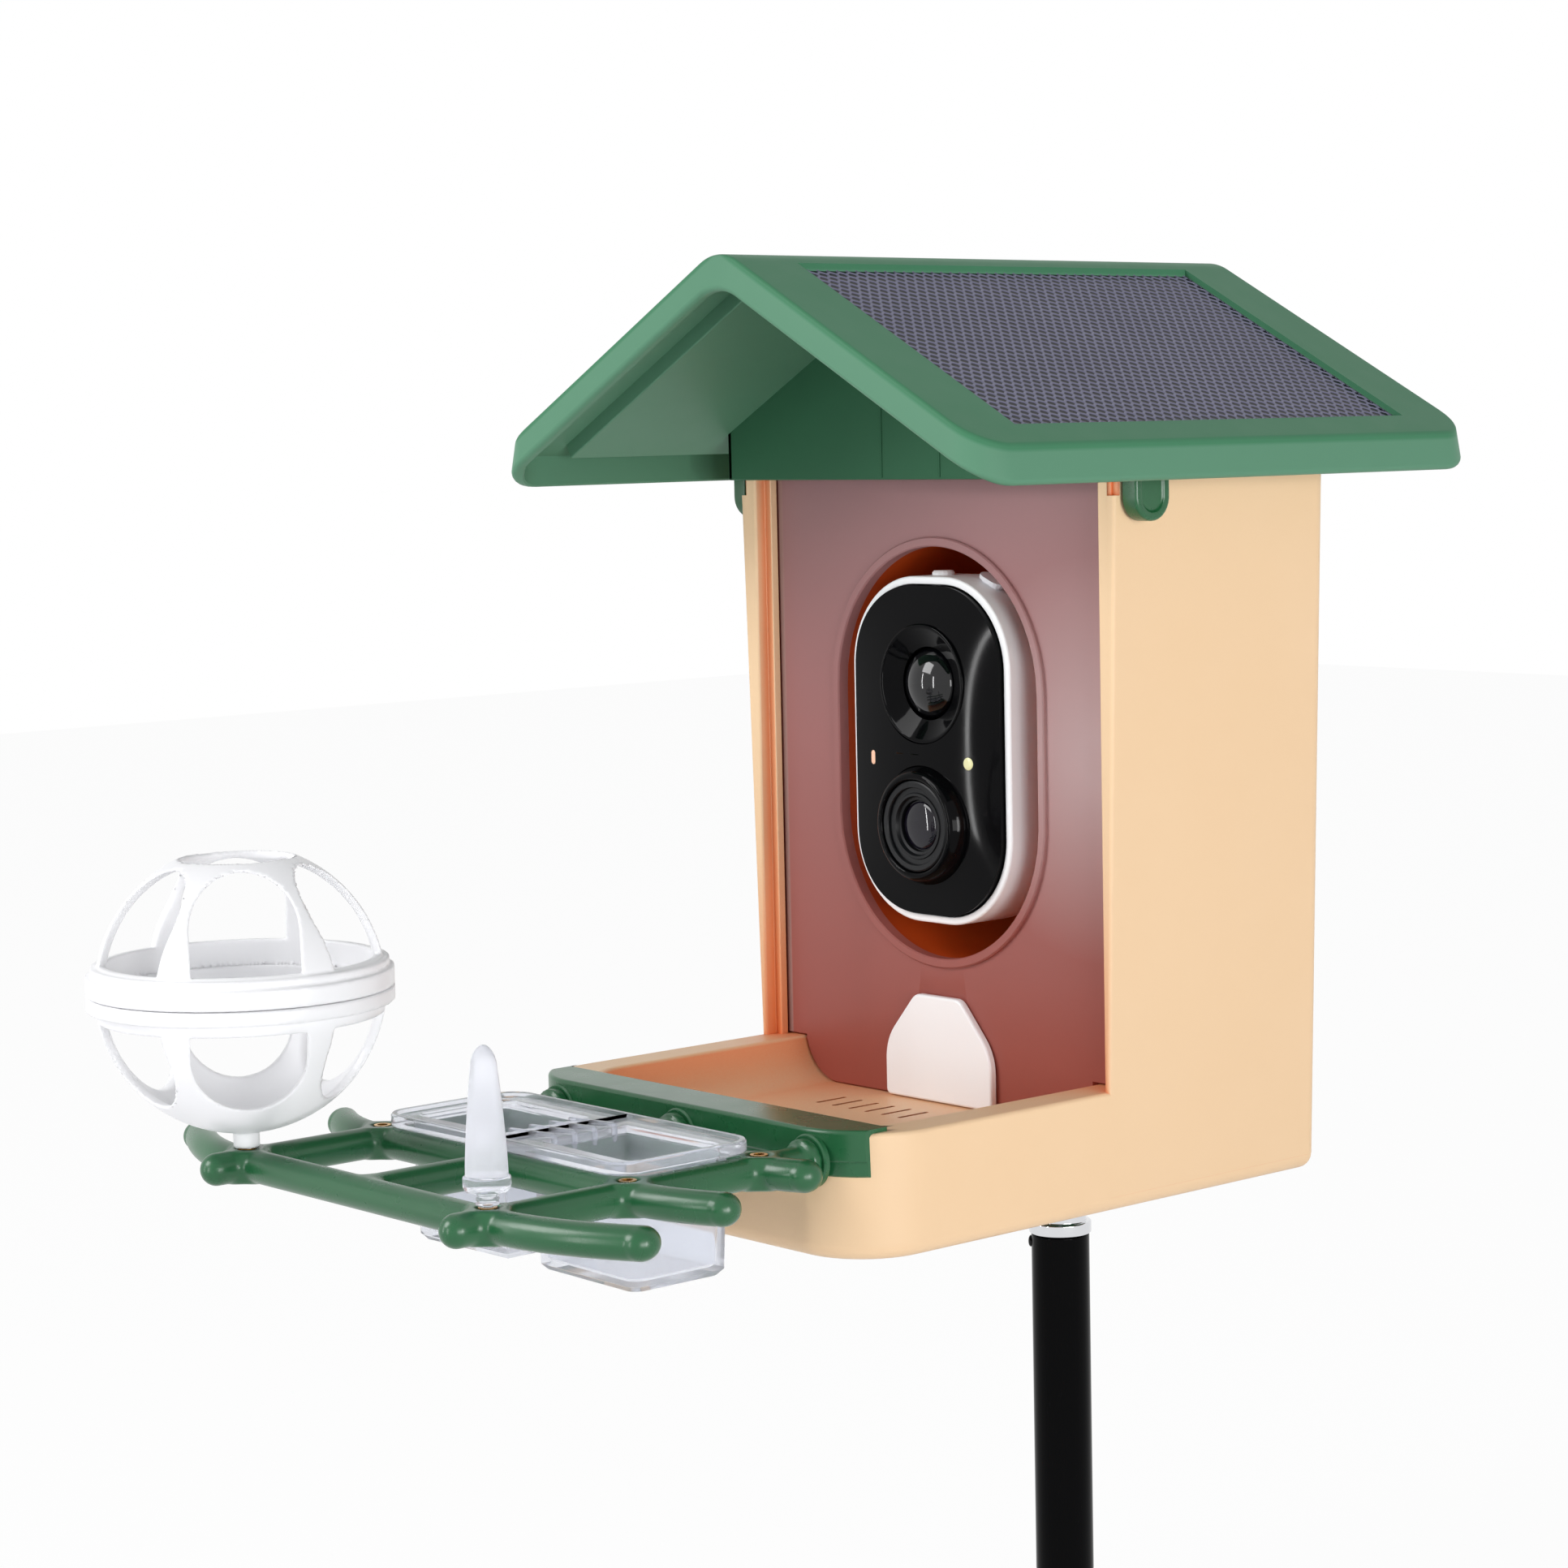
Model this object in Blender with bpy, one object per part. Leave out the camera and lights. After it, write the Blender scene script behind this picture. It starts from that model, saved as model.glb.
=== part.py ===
"""Bird feeder on a pole: housing with tray and camera, hinged solar roof, perch frame with food holders.

Metres, +Z up. The origin is on the pole's axis, at the foot of the pole section. The feeder faces -Y.
Driving dimensions come first, then shape helpers, then one function for each sub-part.
"""

import math

import bmesh
import bpy
from mathutils import Matrix, Vector

# Shared clearances
GAP = 0.0003
OVERRUN = 0.002
FUSE = 0.0004

# Pole section
POLE_DIAMETER = 0.0160
POLE_WALL = 0.0012
POLE_TUBE_LENGTH = 0.0952
SPIGOT_DIAMETER = 0.0120
SPIGOT_OUT = 0.0120
SPIGOT_IN = 0.0220
SPIGOT_CHAMFER = 0.0010
RIVET_DIAMETER = 0.0032
RIVET_HEAD = 0.0007
RIVET_DROP = 0.0024
RIVET_TURN = math.radians(221)
COLLAR_DIAMETER = 0.0172
COLLAR_HEIGHT = 0.0034
COLLAR_RING_DIAMETER = 0.0146
COLLAR_RING_HEIGHT = 0.0036
COLLAR_EDGE = 0.0005
COLLAR_PLUG_LENGTH = 0.0100
STUD_DIAMETER = 0.0064
STUD_LENGTH = 0.0120
STUD_SEAT = 0.0080
THREAD_PITCH = 0.0013
THREAD_DEPTH = 0.0005

# Pole adapter under the housing
ADAPTER_BOSS_DIAMETER = 0.0190
ADAPTER_BOSS_HEIGHT = 0.0150
ADAPTER_TAPER = 0.0020
ADAPTER_FLANGE_DIAMETER = 0.0520
ADAPTER_FLANGE = 0.0036
ADAPTER_INSERT_DIAMETER = 0.0104
ADAPTER_INSERT_LENGTH = 0.0125
ADAPTER_SCREW_CIRCLE = 0.0150
ADAPTER_SCREW_DIAMETER = 0.0030
ADAPTER_SCREW_LENGTH = 0.0095
SCREW_HEAD_DIAMETER = 0.0058
SCREW_HEAD = 0.0020
SCREW_RECESS = 0.0010
SCREW_SLOT = 0.0010

# Housing: side walls, back wall, tray and skirt in one moulding
POLE_SETBACK = 0.0494
BODY_DEPTH = 0.0802
TRAY_REACH = 0.0850
BASE_HALF_WIDTH = 0.0660
WALL_FLARE_SHARE = 0.0275
BODY_HEIGHT = 0.1910
RIM_HEIGHT = 0.0314
WALL = 0.0025
TRAY_CORNER = 0.0210
BACK_CORNER = 0.0035
FRONT_EDGE = 0.0012
FOOT_EDGE = 0.0035
RIM_WIDTH_SIDE = 0.0110
RIM_WIDTH_FRONT = 0.0135
BASIN_FLOOR = 0.0195
BASIN_CORNER = 0.0120
BASIN_FILLET = 0.0115
BASIN_BATTER = 0.0016
FLOOR_SLAB = 0.0025
RIB = 0.0016
RIB_FOOT = 0.0040
POST_HALF_CLEAR = 0.0650
POST_DEPTH = 0.0118
RAIL_FRONT = 0.0036
RAIL_DEPTH = 0.0023
RAIL_REACH = 0.0025
BOSS_DIAMETER = 0.0400
DRAIN_LENGTH = 0.0108
DRAIN_WIDTH = 0.0013
DRAIN_PITCH = 0.0064
DRAIN_FRONT = 0.0168
DRAIN_COUNT = 9
CATCH_HEIGHT = 0.0042
CATCH_DEPTH = 0.0026

# Clear front panel and seed gate
PANEL_SETBACK = 0.0062
PANEL_THICK = 0.0022
PANEL_TOP_DROP = 0.0015
OVAL_HALF_WIDTH = 0.0402
OVAL_BOTTOM = 0.0560
OVAL_TOP = 0.1705
OVAL_RIM = 0.0025
OVAL_RIM_PROUD = 0.0012
GATE_HALF_WIDTH = 0.0203
GATE_HEIGHT = 0.0286
GATE_TOP_HALF = 0.0085
GATE_SHOULDER = 0.0150
GATE_THICK = 0.0022
GATE_NECK_HALF = 0.0115
GATE_NECK_HEIGHT = 0.0065
GATE_TAIL_HALF = 0.0150
GATE_TAIL_HEIGHT = 0.0100
GATE_TAIL_THICK = 0.0014
GATE_TRAVEL = 0.0070
GATE_CORNER = 0.0045

# Hopper floor behind the panel
HOPPER_WALL = 0.0022
HOPPER_SIDE_RISE = 0.0115
HOPPER_BACK_RISE = 0.0200
HOPPER_CHUTE_HALF = 0.0165
HOPPER_FRONT_GAP = 0.0037
HOPPER_LEG_SHARE = 0.75

# Camera bay
BAY_WALL = 0.0020
BAY_MARGIN = 0.0012
BAY_BACK = 0.0024

# Camera unit
CAM_HALF_WIDTH = 0.0298
CAM_HALF_HEIGHT = 0.0460
CAM_CORNER = 0.0242
CAM_RISE = 0.1142
CAM_FRONT = 0.0034
CAM_DEPTH = 0.0290
CAM_WALL = 0.0018
CAM_RIM = 0.0021
CAM_COVER_THICK = 0.0018
CAM_COVER_PROUD = 0.0010
CAM_COVER_DOME = 0.0026
EYE_DIAMETER = 0.0318
EYE_SINK = 0.0050
PIR_RISE = 0.0178
LENS_DROP = 0.0196
PIR_DOME_DIAMETER = 0.0192
PIR_DOME_PROUD = 0.0066
PIR_RECESS = 0.0034
LENS_PROUD = 0.0034
LENS_FRONT_DIAMETER = 0.0286
LENS_BORE_DIAMETER = 0.0246
BARREL_BORE_DIAMETER = 0.0136
BARREL_STEP = 0.0019
GLASS_THICK = 0.0014
STATUS_X = 0.0196
STATUS_DROP = 0.0026
STATUS_HALF_HEIGHT = 0.0020
STATUS_HALF_WIDTH = 0.0009
SPOT_X = 0.0168
SPOT_DROP = 0.0024
SPOT_DIAMETER = 0.0044
LAMP_PROUD = 0.0003
LAMP_LENGTH = 0.0032
BOARD_HALF_WIDTH = 0.0200
BOARD_HALF_HEIGHT = 0.0330
BOARD_THICK = 0.0016
BOARD_DEPTH = 0.0072
BATTERY_HALF_WIDTH = 0.0170
BATTERY_HALF_HEIGHT = 0.0270
BATTERY_THICK = 0.0090
BATTERY_CORNER = 0.0030
BUTTON_X = -0.0030
BUTTON_DIAMETER = 0.0060
BUTTON_PROUD = 0.0012
BUTTON_FLANGE = 0.0008
BUTTON_SEAT = 0.0009
PLUG_TURN = math.radians(24)
PLUG_HALF_LENGTH = 0.0042
PLUG_HALF_WIDTH = 0.0028
PLUG_PROUD = 0.0010
PLUG_STEP = 0.0010
PLUG_LIFT = 0.0006
TOP_FITTING_DEPTH = 0.0086
DOCK_DIAMETER = 0.0260
DOCK_CUP_DIAMETER = 0.0340
DOCK_FLANGE_DIAMETER = 0.0440
DOCK_FLANGE = 0.0030
DOCK_CUP = 0.0060

# Roof
ROOF_HALF_WIDTH = 0.0936
ROOF_PEAK = 0.0507
EAVE_RISE = 0.0035
EAVE_DEPTH = 0.0101
ROOF_FRONT_OVERHANG = 0.0678
ROOF_BACK_OVERHANG = 0.0350
RIDGE_RADIUS = 0.0150
EAVE_RADIUS = 0.0045
EAVE_FOOT_RADIUS = 0.0020
ROOF_PLAN_CORNER = 0.0120
ROOF_LIP = 0.0080
ROOF_LIP_WIDTH = 0.0034
ROOF_SKIN = 0.0024
INNER_RIDGE_RADIUS = 0.0070
POCKET_DEPTH = 0.0064
POCKET_MARGIN = 0.0024
SOLAR_INNER_X = 0.0080
SOLAR_BORDER = 0.0096
SOLAR_FRONT = 0.0471
SOLAR_BACK = 0.0152
SOLAR_RECESS = 0.0017
SOLAR_THICK = 0.0027
COLLAR_WALL = 0.0019
COLLAR_OVERLAP = 0.0053
REAR_WALL_LIFT = 0.0046
GABLE_GROOVE_X = 0.0110
GABLE_GROOVE = 0.0005

# Roof hinge and latches
HINGE_BACK = 0.0062
HINGE_DROP = 0.0064
HINGE_X = 0.0450
KNUCKLE_RADIUS = 0.0036
KNUCKLE_WIDTH = 0.0120
LUG_THICK = 0.0035
PIN_DIAMETER = 0.0026
PIN_HEAD_DIAMETER = 0.0044
PIN_HEAD = 0.0012
LATCH_FRONT = 0.0020
LATCH_WIDTH = 0.0124
LATCH_THICK = 0.0050
LATCH_RISE = 0.0020
LATCH_LENGTH = 0.0180
LATCH_DISH = 0.0014
LATCH_DISH_RADIUS = 0.0048

# Tray bracket
BRACKET_PLATE = 0.0019
BRACKET_PROUD = 0.0008
BRACKET_TOP_PROUD = 0.0010
BRACKET_APRON = 0.0024
BRACKET_DROP = 0.0115
BRACKET_STEP_DROP = 0.0076
BRACKET_STEP = 0.0005
BRACKET_CUT_X = 0.0618

# Perch frame
ROD_DIAMETER = 0.0080
ROD_TOP = 0.0284
ROD_SPACING_X = 0.0490
FRONT_ROW_REACH = 0.1815
REAR_ROW_REACH = 0.1015
ROD_TIP_REACH = 0.0128
SWEEP_OUT = (0.0437, 0.0303, 0.0165)
SWEEP_BACK = (0.0118, 0.0064, 0.0034)
BOSS_RING_DIAMETER = 0.0098
FLARE_DIAMETER = 0.0112
FLARE_LENGTH = 0.0026
ROD_PLUG_DIAMETER = 0.0050
ROD_PLUG_LENGTH = 0.0095
PLUG_CLEARANCE = 0.0003
INSERT_DIAMETER = 0.0044
INSERT_BORE = 0.0027
INSERT_LENGTH = 0.0062

# Clear double cup
CUP_RIM_HALF_LENGTH = 0.0482
CUP_RIM_OVER_FRONT = 0.0015
CUP_RIM_OVER_BACK = 0.0010
CUP_RIM_THICK = 0.0022
CUP_RIM_CORNER = 0.0075
CUP_LIP = 0.0010
CUP_LIP_WIDTH = 0.0016
CUP_DEPTH = 0.0292
CUP_WALL = 0.0017
CUP_CLEARANCE = 0.0012
CUP_CORNER = 0.0030
CUP_TAPER = 0.0006
TOOTH_COUNT = 4
TOOTH_DIAMETER = 0.0016
TOOTH_LENGTH = 0.0036
BRIDGE_RIB = 0.0012
BRIDGE_RIB_RISE = 0.0012

# Fruit spike
SPIKE_TIP = 0.0364
SPIKE_BLADE_HALF_WIDTH = 0.0045
SPIKE_BLADE_HALF_DEPTH = 0.0032
SPIKE_TIP_SHARE = 0.42
SPIKE_COLLAR_DIAMETER = 0.0110
SPIKE_COLLAR = 0.0035
SPIKE_NECK_DIAMETER = 0.0056
SPIKE_NECK = 0.0034
HOLDER_PIN_DIAMETER = 0.0021
HOLDER_PIN_LENGTH = 0.0045

# Ball feeder
BALL_RADIUS = 0.0350
BALL_WALL = 0.0020
BALL_CENTRE_RISE = 0.0392
BALL_STUB_DIAMETER = 0.0064
BALL_HOLE_RADIUS = 0.0138
BALL_FLANGE_RADIUS = 0.0371
BALL_FLANGE_LOW = 0.0036
BALL_FLANGE_HIGH = 0.0068
BALL_STEP_RADIUS = 0.0359
BALL_STEP = 0.0022
BALL_WINDOWS = 6
BALL_LOW_RIB = 0.0070
BALL_HIGH_RIB = 0.0086
BALL_LOW_WINDOW_FOOT = 0.0256
BALL_HIGH_WINDOW_TOP = 0.0302
BALL_SPIGOT_RADIUS = 0.0326
BALL_SPIGOT = 0.0026

# Places that follow from the sizes above
SPIGOT_TOP = SPIGOT_OUT + SPIGOT_IN
POLE_FOOT = SPIGOT_OUT
POLE_TOP = POLE_FOOT + POLE_TUBE_LENGTH
COLLAR_FOOT = POLE_TOP + GAP
COLLAR_TOP = COLLAR_FOOT + COLLAR_HEIGHT + COLLAR_RING_HEIGHT
ADAPTER_FOOT = COLLAR_TOP + GAP
ADAPTER_FLANGE_FOOT = ADAPTER_FOOT + ADAPTER_BOSS_HEIGHT
ADAPTER_TOP = ADAPTER_FLANGE_FOOT + ADAPTER_FLANGE
BASE = ADAPTER_FLANGE_FOOT + GAP
BOSS_FOOT = ADAPTER_TOP + GAP
WALL_FRONT = -POLE_SETBACK
WALL_BACK = WALL_FRONT + BODY_DEPTH
TRAY_FRONT = WALL_FRONT - TRAY_REACH
RIM_Z = BASE + RIM_HEIGHT
BODY_TOP = BASE + BODY_HEIGHT
FLOOR_Z = BASE + BASIN_FLOOR
SLAB_FOOT = FLOOR_Z - FLOOR_SLAB
PANEL_FRONT = WALL_FRONT + PANEL_SETBACK
PANEL_BACK = PANEL_FRONT + PANEL_THICK
CAM_Z = BASE + CAM_RISE
CAM_Y = WALL_FRONT + CAM_FRONT
CAM_BACK = CAM_Y + CAM_DEPTH
EYE_Y = CAM_Y - CAM_COVER_PROUD - CAM_COVER_DOME
EAVE_Z = BODY_TOP + EAVE_RISE
RIDGE_Z = EAVE_Z + ROOF_PEAK
EAVE_FOOT_Z = EAVE_Z - EAVE_DEPTH
ROOF_FRONT = WALL_FRONT - ROOF_FRONT_OVERHANG
ROOF_BACK = WALL_BACK + ROOF_BACK_OVERHANG
SOLAR_OUTER_X = ROOF_HALF_WIDTH - SOLAR_BORDER
LATCH_TOP = BODY_TOP + LATCH_RISE
LATCH_FOOT = LATCH_TOP - LATCH_LENGTH
SLOPE = math.atan2(RIDGE_Z - EAVE_Z, ROOF_HALF_WIDTH)
COLLAR_Z = BODY_TOP - COLLAR_OVERLAP
HINGE_Y = WALL_BACK + HINGE_BACK
HINGE_Z = BODY_TOP - HINGE_DROP
ROD_RADIUS = ROD_DIAMETER / 2
ROD_Z = BASE + ROD_TOP - ROD_RADIUS
ROD_TOP_Z = BASE + ROD_TOP
FRONT_ROW_Y = WALL_FRONT - FRONT_ROW_REACH
REAR_ROW_Y = WALL_FRONT - REAR_ROW_REACH
ROW_YS = [FRONT_ROW_Y, (FRONT_ROW_Y + REAR_ROW_Y) / 2, REAR_ROW_Y]
BRACKET_FRONT = TRAY_FRONT - BRACKET_PROUD
BRACKET_TOP = RIM_Z + BRACKET_TOP_PROUD
BALL_Z = ROD_TOP_Z + BALL_CENTRE_RISE


def clear_scene():
    """Removes whatever the scene holds."""
    for item in list(bpy.data.objects):
        bpy.data.objects.remove(item, do_unlink=True)


def material(name, colour, roughness, metallic=0.0, transmission=0.0):
    """A Principled material in one plain colour."""
    if name in bpy.data.materials:
        return bpy.data.materials[name]
    made = bpy.data.materials.new(name)
    made.use_nodes = True
    shader = made.node_tree.nodes["Principled BSDF"]
    shader.inputs["Base Color"].default_value = (*colour, 1.0)
    shader.inputs["Roughness"].default_value = roughness
    shader.inputs["Metallic"].default_value = metallic
    shader.inputs["Transmission Weight"].default_value = transmission
    made.diffuse_color = (*colour, 1.0)
    return made


def cream():
    return material("cream_plastic", (0.91, 0.66, 0.41), 0.45)


def green():
    return material("green_plastic", (0.06, 0.24, 0.10), 0.35)


def smoky():
    return material("smoky_clear_panel", (0.28, 0.16, 0.15), 0.35, 0.0, 0.6)


def white():
    return material("white_plastic", (0.90, 0.90, 0.92), 0.35)


def clear():
    return material("clear_acrylic", (0.85, 0.90, 0.95), 0.08, 0.0, 0.9)


def gloss_black():
    return material("gloss_black", (0.01, 0.01, 0.012), 0.08)


def black():
    return material("black_plastic", (0.02, 0.02, 0.02), 0.4)


def chrome():
    return material("chromed_steel", (0.80, 0.80, 0.82), 0.12, 1.0)


def steel():
    return material("zinc_steel", (0.60, 0.60, 0.62), 0.3, 1.0)


def brass():
    return material("brass", (0.75, 0.52, 0.20), 0.25, 1.0)


def glass():
    return material("coated_glass", (0.02, 0.02, 0.03), 0.03)


def solar():
    return material("solar_cells", (0.02, 0.02, 0.04), 0.3)


def board():
    return material("circuit_board", (0.02, 0.15, 0.08), 0.5)


def grey():
    return material("grey_film", (0.35, 0.36, 0.38), 0.5)


def add_object(name, bm, finish=None):
    """Makes an object of a bmesh, with its faces turned outwards and its round sides smooth."""
    bmesh.ops.recalc_face_normals(bm, faces=bm.faces)
    mesh = bpy.data.meshes.new(name)
    bm.to_mesh(mesh)
    bm.free()
    mesh.shade_smooth()
    mesh.set_sharp_from_angle(angle=math.radians(35))
    item = bpy.data.objects.new(name, mesh)
    bpy.context.scene.collection.objects.link(item)
    if finish:
        mesh.materials.append(finish)
    else:
        item.hide_render = True
        item.display_type = "WIRE"
    return item


def skin(name, rings, finish=None):
    """A closed solid through rings of points, the same number in each, with a flat face on each end."""
    bm = bmesh.new()
    loops = [[bm.verts.new(p) for p in ring] for ring in rings]
    count = len(rings[0])
    for low, high in zip(loops, loops[1:]):
        for i in range(count):
            j = (i + 1) % count
            bm.faces.new((low[i], low[j], high[j], high[i]))
    bm.faces.new(list(reversed(loops[0])))
    bm.faces.new(loops[-1])
    return add_object(name, bm, finish)


def prism(name, outline, axis, low, high, finish=None):
    """An outline drawn in the plane across an axis and carried along it from low to high."""
    place = {"X": lambda a, b, t: (t, a, b), "Y": lambda a, b, t: (a, t, b), "Z": lambda a, b, t: (a, b, t)}
    place = place[axis]
    return skin(name, [[place(a, b, t) for a, b in outline] for t in (low, high)], finish)


def box(name, low, high, finish=None):
    """A plain block between two corners."""
    (x0, y0, z0), (x1, y1, z1) = low, high
    return prism(name, [(x0, y0), (x1, y0), (x1, y1), (x0, y1)], "Z", z0, z1, finish)


def turned(name, profile, centre, axis="Z", steps=24, finish=None):
    """A solid turned round an axis. The profile is (radius, height) pairs; radius 0 closes an end."""
    bm = bmesh.new()
    flat_start = profile[0][0] == 0 and profile[0][1] == profile[1][1]
    flat_end = profile[-1][0] == 0 and profile[-1][1] == profile[-2][1]
    looped = profile[0][0] > 0 and profile[-1][0] > 0
    profile = profile[int(flat_start):len(profile) - int(flat_end)]
    spin = {"Z": Matrix.Identity(3), "Y": Matrix.Rotation(math.radians(90), 3, "X"),
            "X": Matrix.Rotation(math.radians(90), 3, "Y")}[axis]
    rings = []
    for radius, height in profile:
        turn = [0.0] if radius == 0 else [2 * math.pi * i / steps for i in range(steps)]
        rings.append([bm.verts.new(spin @ Vector((radius * math.cos(a), radius * math.sin(a), height))
                                   + Vector(centre)) for a in turn])
    pairs = list(zip(rings, rings[1:] + rings[:1])) if looped else list(zip(rings, rings[1:]))
    for low, high in pairs:
        for i in range(steps):
            j = (i + 1) % steps
            corners = [low[i % len(low)], low[j % len(low)], high[j % len(high)], high[i % len(high)]]
            unique = list(dict.fromkeys(corners))
            if len(unique) > 2:
                bm.faces.new(unique)
    for flat, ring in ((flat_start, rings[0]), (flat_end, rings[-1])):
        if flat:
            bm.faces.new(ring)
    return add_object(name, bm, finish)


def rod(name, path, radius, sides=12, finish=None):
    """A round bar along a path that lies flat, with a rounded end at each tip."""
    points = [Vector(p) for p in path]
    start = (points[0] - points[1]).normalized()
    end = (points[-1] - points[-2]).normalized()
    bends = [math.radians(a) for a in (60, 30)]
    stations = [(points[0] + start * radius * math.sin(a), radius * math.cos(a), -start) for a in bends]
    for i, p in enumerate(points):
        before = points[max(i - 1, 0)]
        after = points[min(i + 1, len(points) - 1)]
        stations.append((p, radius, (after - before).normalized()))
    stations += [(points[-1] + end * radius * math.sin(a), radius * math.cos(a), end)
                 for a in reversed(bends)]
    up = Vector((0, 0, 1))
    bm = bmesh.new()
    loops = []
    for centre, size, along in stations:
        side = along.cross(up).normalized()
        loops.append([bm.verts.new(centre + size * (side * math.cos(t) + up * math.sin(t)))
                      for t in (2 * math.pi * (k + 0.5) / sides for k in range(sides))])
    for low, high in zip(loops, loops[1:]):
        for i in range(sides):
            j = (i + 1) % sides
            bm.faces.new((low[i], low[j], high[j], high[i]))
    for loop, tip in ((loops[0], points[0] + start * radius), (loops[-1], points[-1] + end * radius)):
        apex = bm.verts.new(tip)
        for i in range(sides):
            bm.faces.new((loop[i], loop[(i + 1) % sides], apex))
    return add_object(name, bm, finish)


def combine(item, other, operation):
    """Adds a live Boolean to an object; the other object becomes a hidden helper."""
    change = item.modifiers.new(other.name, "BOOLEAN")
    change.operation = operation
    change.solver = "EXACT"
    change.object = other
    other.hide_render = True
    other.display_type = "WIRE"
    return item


def cut(item, *others):
    for other in others:
        combine(item, other, "DIFFERENCE")
    return item


def join(item, *others):
    for other in others:
        combine(item, other, "UNION")
    return item


def rounded(corners, radii, steps=5):
    """An outline with each corner replaced by an arc of its own radius; a radius of zero leaves it sharp."""
    outline = []
    count = len(corners)
    for i, radius in enumerate(radii):
        here = Vector(corners[i])
        before = Vector(corners[i - 1]) - here
        after = Vector(corners[(i + 1) % count]) - here
        half = before.angle(after) / 2
        if radius == 0 or half > math.radians(89):
            outline.append(tuple(here))
            continue
        reach = min(radius / math.tan(half), before.length * 0.49, after.length * 0.49)
        size = reach * math.tan(half)
        centre = here + (before.normalized() + after.normalized()).normalized() * (size / math.sin(half))
        first = here + before.normalized() * reach - centre
        last = here + after.normalized() * reach - centre
        turn = first.angle_signed(last)
        for k in range(steps + 1):
            outline.append(tuple(centre + Matrix.Rotation(-turn * k / steps, 2) @ first))
    return outline


def rounded_box(half_width, front, back, front_radius, back_radius, steps=5):
    """A plan outline, symmetrical about X = 0, with rounded corners."""
    corners = [(-half_width, front), (half_width, front), (half_width, back), (-half_width, back)]
    return rounded(corners, [front_radius, front_radius, back_radius, back_radius], steps)


def oval(half_width, half_height, radius, centre, steps=6):
    """An upright rounded outline round a centre, as (across, up) pairs."""
    cx, cz = centre
    corners = [(cx - half_width, cz - half_height), (cx + half_width, cz - half_height),
               (cx + half_width, cz + half_height), (cx - half_width, cz + half_height)]
    return rounded(corners, [radius] * 4, steps)


def half_width_at(z):
    """Half the housing's outer width at a height: the side walls lean out as they rise."""
    return BASE_HALF_WIDTH + WALL_FLARE_SHARE * (z - BASE)


def pole_spigot():
    """Reduced end that the next pole section slips over; its flat foot is the frame's origin."""
    radius = SPIGOT_DIAMETER / 2
    profile = [(0, 0), (radius - SPIGOT_CHAMFER, 0), (radius, SPIGOT_CHAMFER), (radius, SPIGOT_TOP),
               (0, SPIGOT_TOP)]
    return turned("pole_spigot", profile, (0, 0, 0), finish=steel())


def pole_tube():
    radius = POLE_DIAMETER / 2
    bore = radius - POLE_WALL
    hem = SPIGOT_DIAMETER / 2 + GAP
    necked = POLE_FOOT + SPIGOT_IN + GAP
    profile = [(hem, POLE_FOOT), (radius, POLE_FOOT), (radius, POLE_TOP), (bore, POLE_TOP), (bore, necked),
               (hem, necked)]
    return turned("pole_tube", profile, (0, 0, 0), finish=gloss_black())


def pole_rivet():
    """Small rivet that keeps the collar's plug in the pole."""
    z = POLE_TOP - RIVET_DROP
    radius = RIVET_DIAMETER / 2
    start = POLE_DIAMETER / 2 + GAP
    profile = [(0, start), (radius, start), (radius * 0.8, start + RIVET_HEAD * 0.7), (0, start + RIVET_HEAD)]
    item = turned("pole_rivet", profile, (0, 0, 0), axis="X", steps=12, finish=black())
    item.rotation_euler = (0, 0, RIVET_TURN)
    item.location = (0, 0, z)
    return item


def pole_collar():
    """Turned cap: a wide ring over a narrower one, with a plug that fills the pole's mouth."""
    low = COLLAR_DIAMETER / 2
    high = COLLAR_RING_DIAMETER / 2
    plug = POLE_DIAMETER / 2 - POLE_WALL - GAP
    seat = STUD_DIAMETER / 2 + GAP
    step = COLLAR_FOOT + COLLAR_HEIGHT
    profile = [(0, COLLAR_FOOT - COLLAR_PLUG_LENGTH), (plug, COLLAR_FOOT - COLLAR_PLUG_LENGTH),
               (plug, COLLAR_FOOT),
               (low - COLLAR_EDGE, COLLAR_FOOT), (low, COLLAR_FOOT + COLLAR_EDGE), (low, step - COLLAR_EDGE),
               (low - COLLAR_EDGE, step), (high, step), (high, COLLAR_TOP - COLLAR_EDGE),
               (high - COLLAR_EDGE, COLLAR_TOP), (seat, COLLAR_TOP), (seat, COLLAR_TOP - STUD_SEAT),
               (0, COLLAR_TOP - STUD_SEAT)]
    return turned("pole_collar", profile, (0, 0, 0), finish=chrome())


def threaded(radius, low, high):
    """Profile points up a threaded length, one crest to each pitch."""
    turns = max(1, round((high - low) / THREAD_PITCH))
    pitch = (high - low) / turns
    points = []
    for i in range(turns):
        points += [(radius - THREAD_DEPTH, low + pitch * i), (radius, low + pitch * (i + 0.5))]
    return points + [(radius - THREAD_DEPTH, high)]


def pole_stud():
    """Threaded stud that stands up from the collar into the adapter's insert."""
    foot = COLLAR_TOP - STUD_SEAT + GAP
    top = COLLAR_TOP + STUD_LENGTH
    profile = [(0, foot)] + threaded(STUD_DIAMETER / 2, foot, top) + [(0, top)]
    return turned("pole_stud", profile, (0, 0, 0), steps=12, finish=steel())


def screw_places():
    """Where the adapter's four screws stand."""
    reach = ADAPTER_SCREW_CIRCLE
    return [(reach * math.cos(a), reach * math.sin(a)) for a in (math.radians(45 + 90 * i) for i in range(4))]


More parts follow.
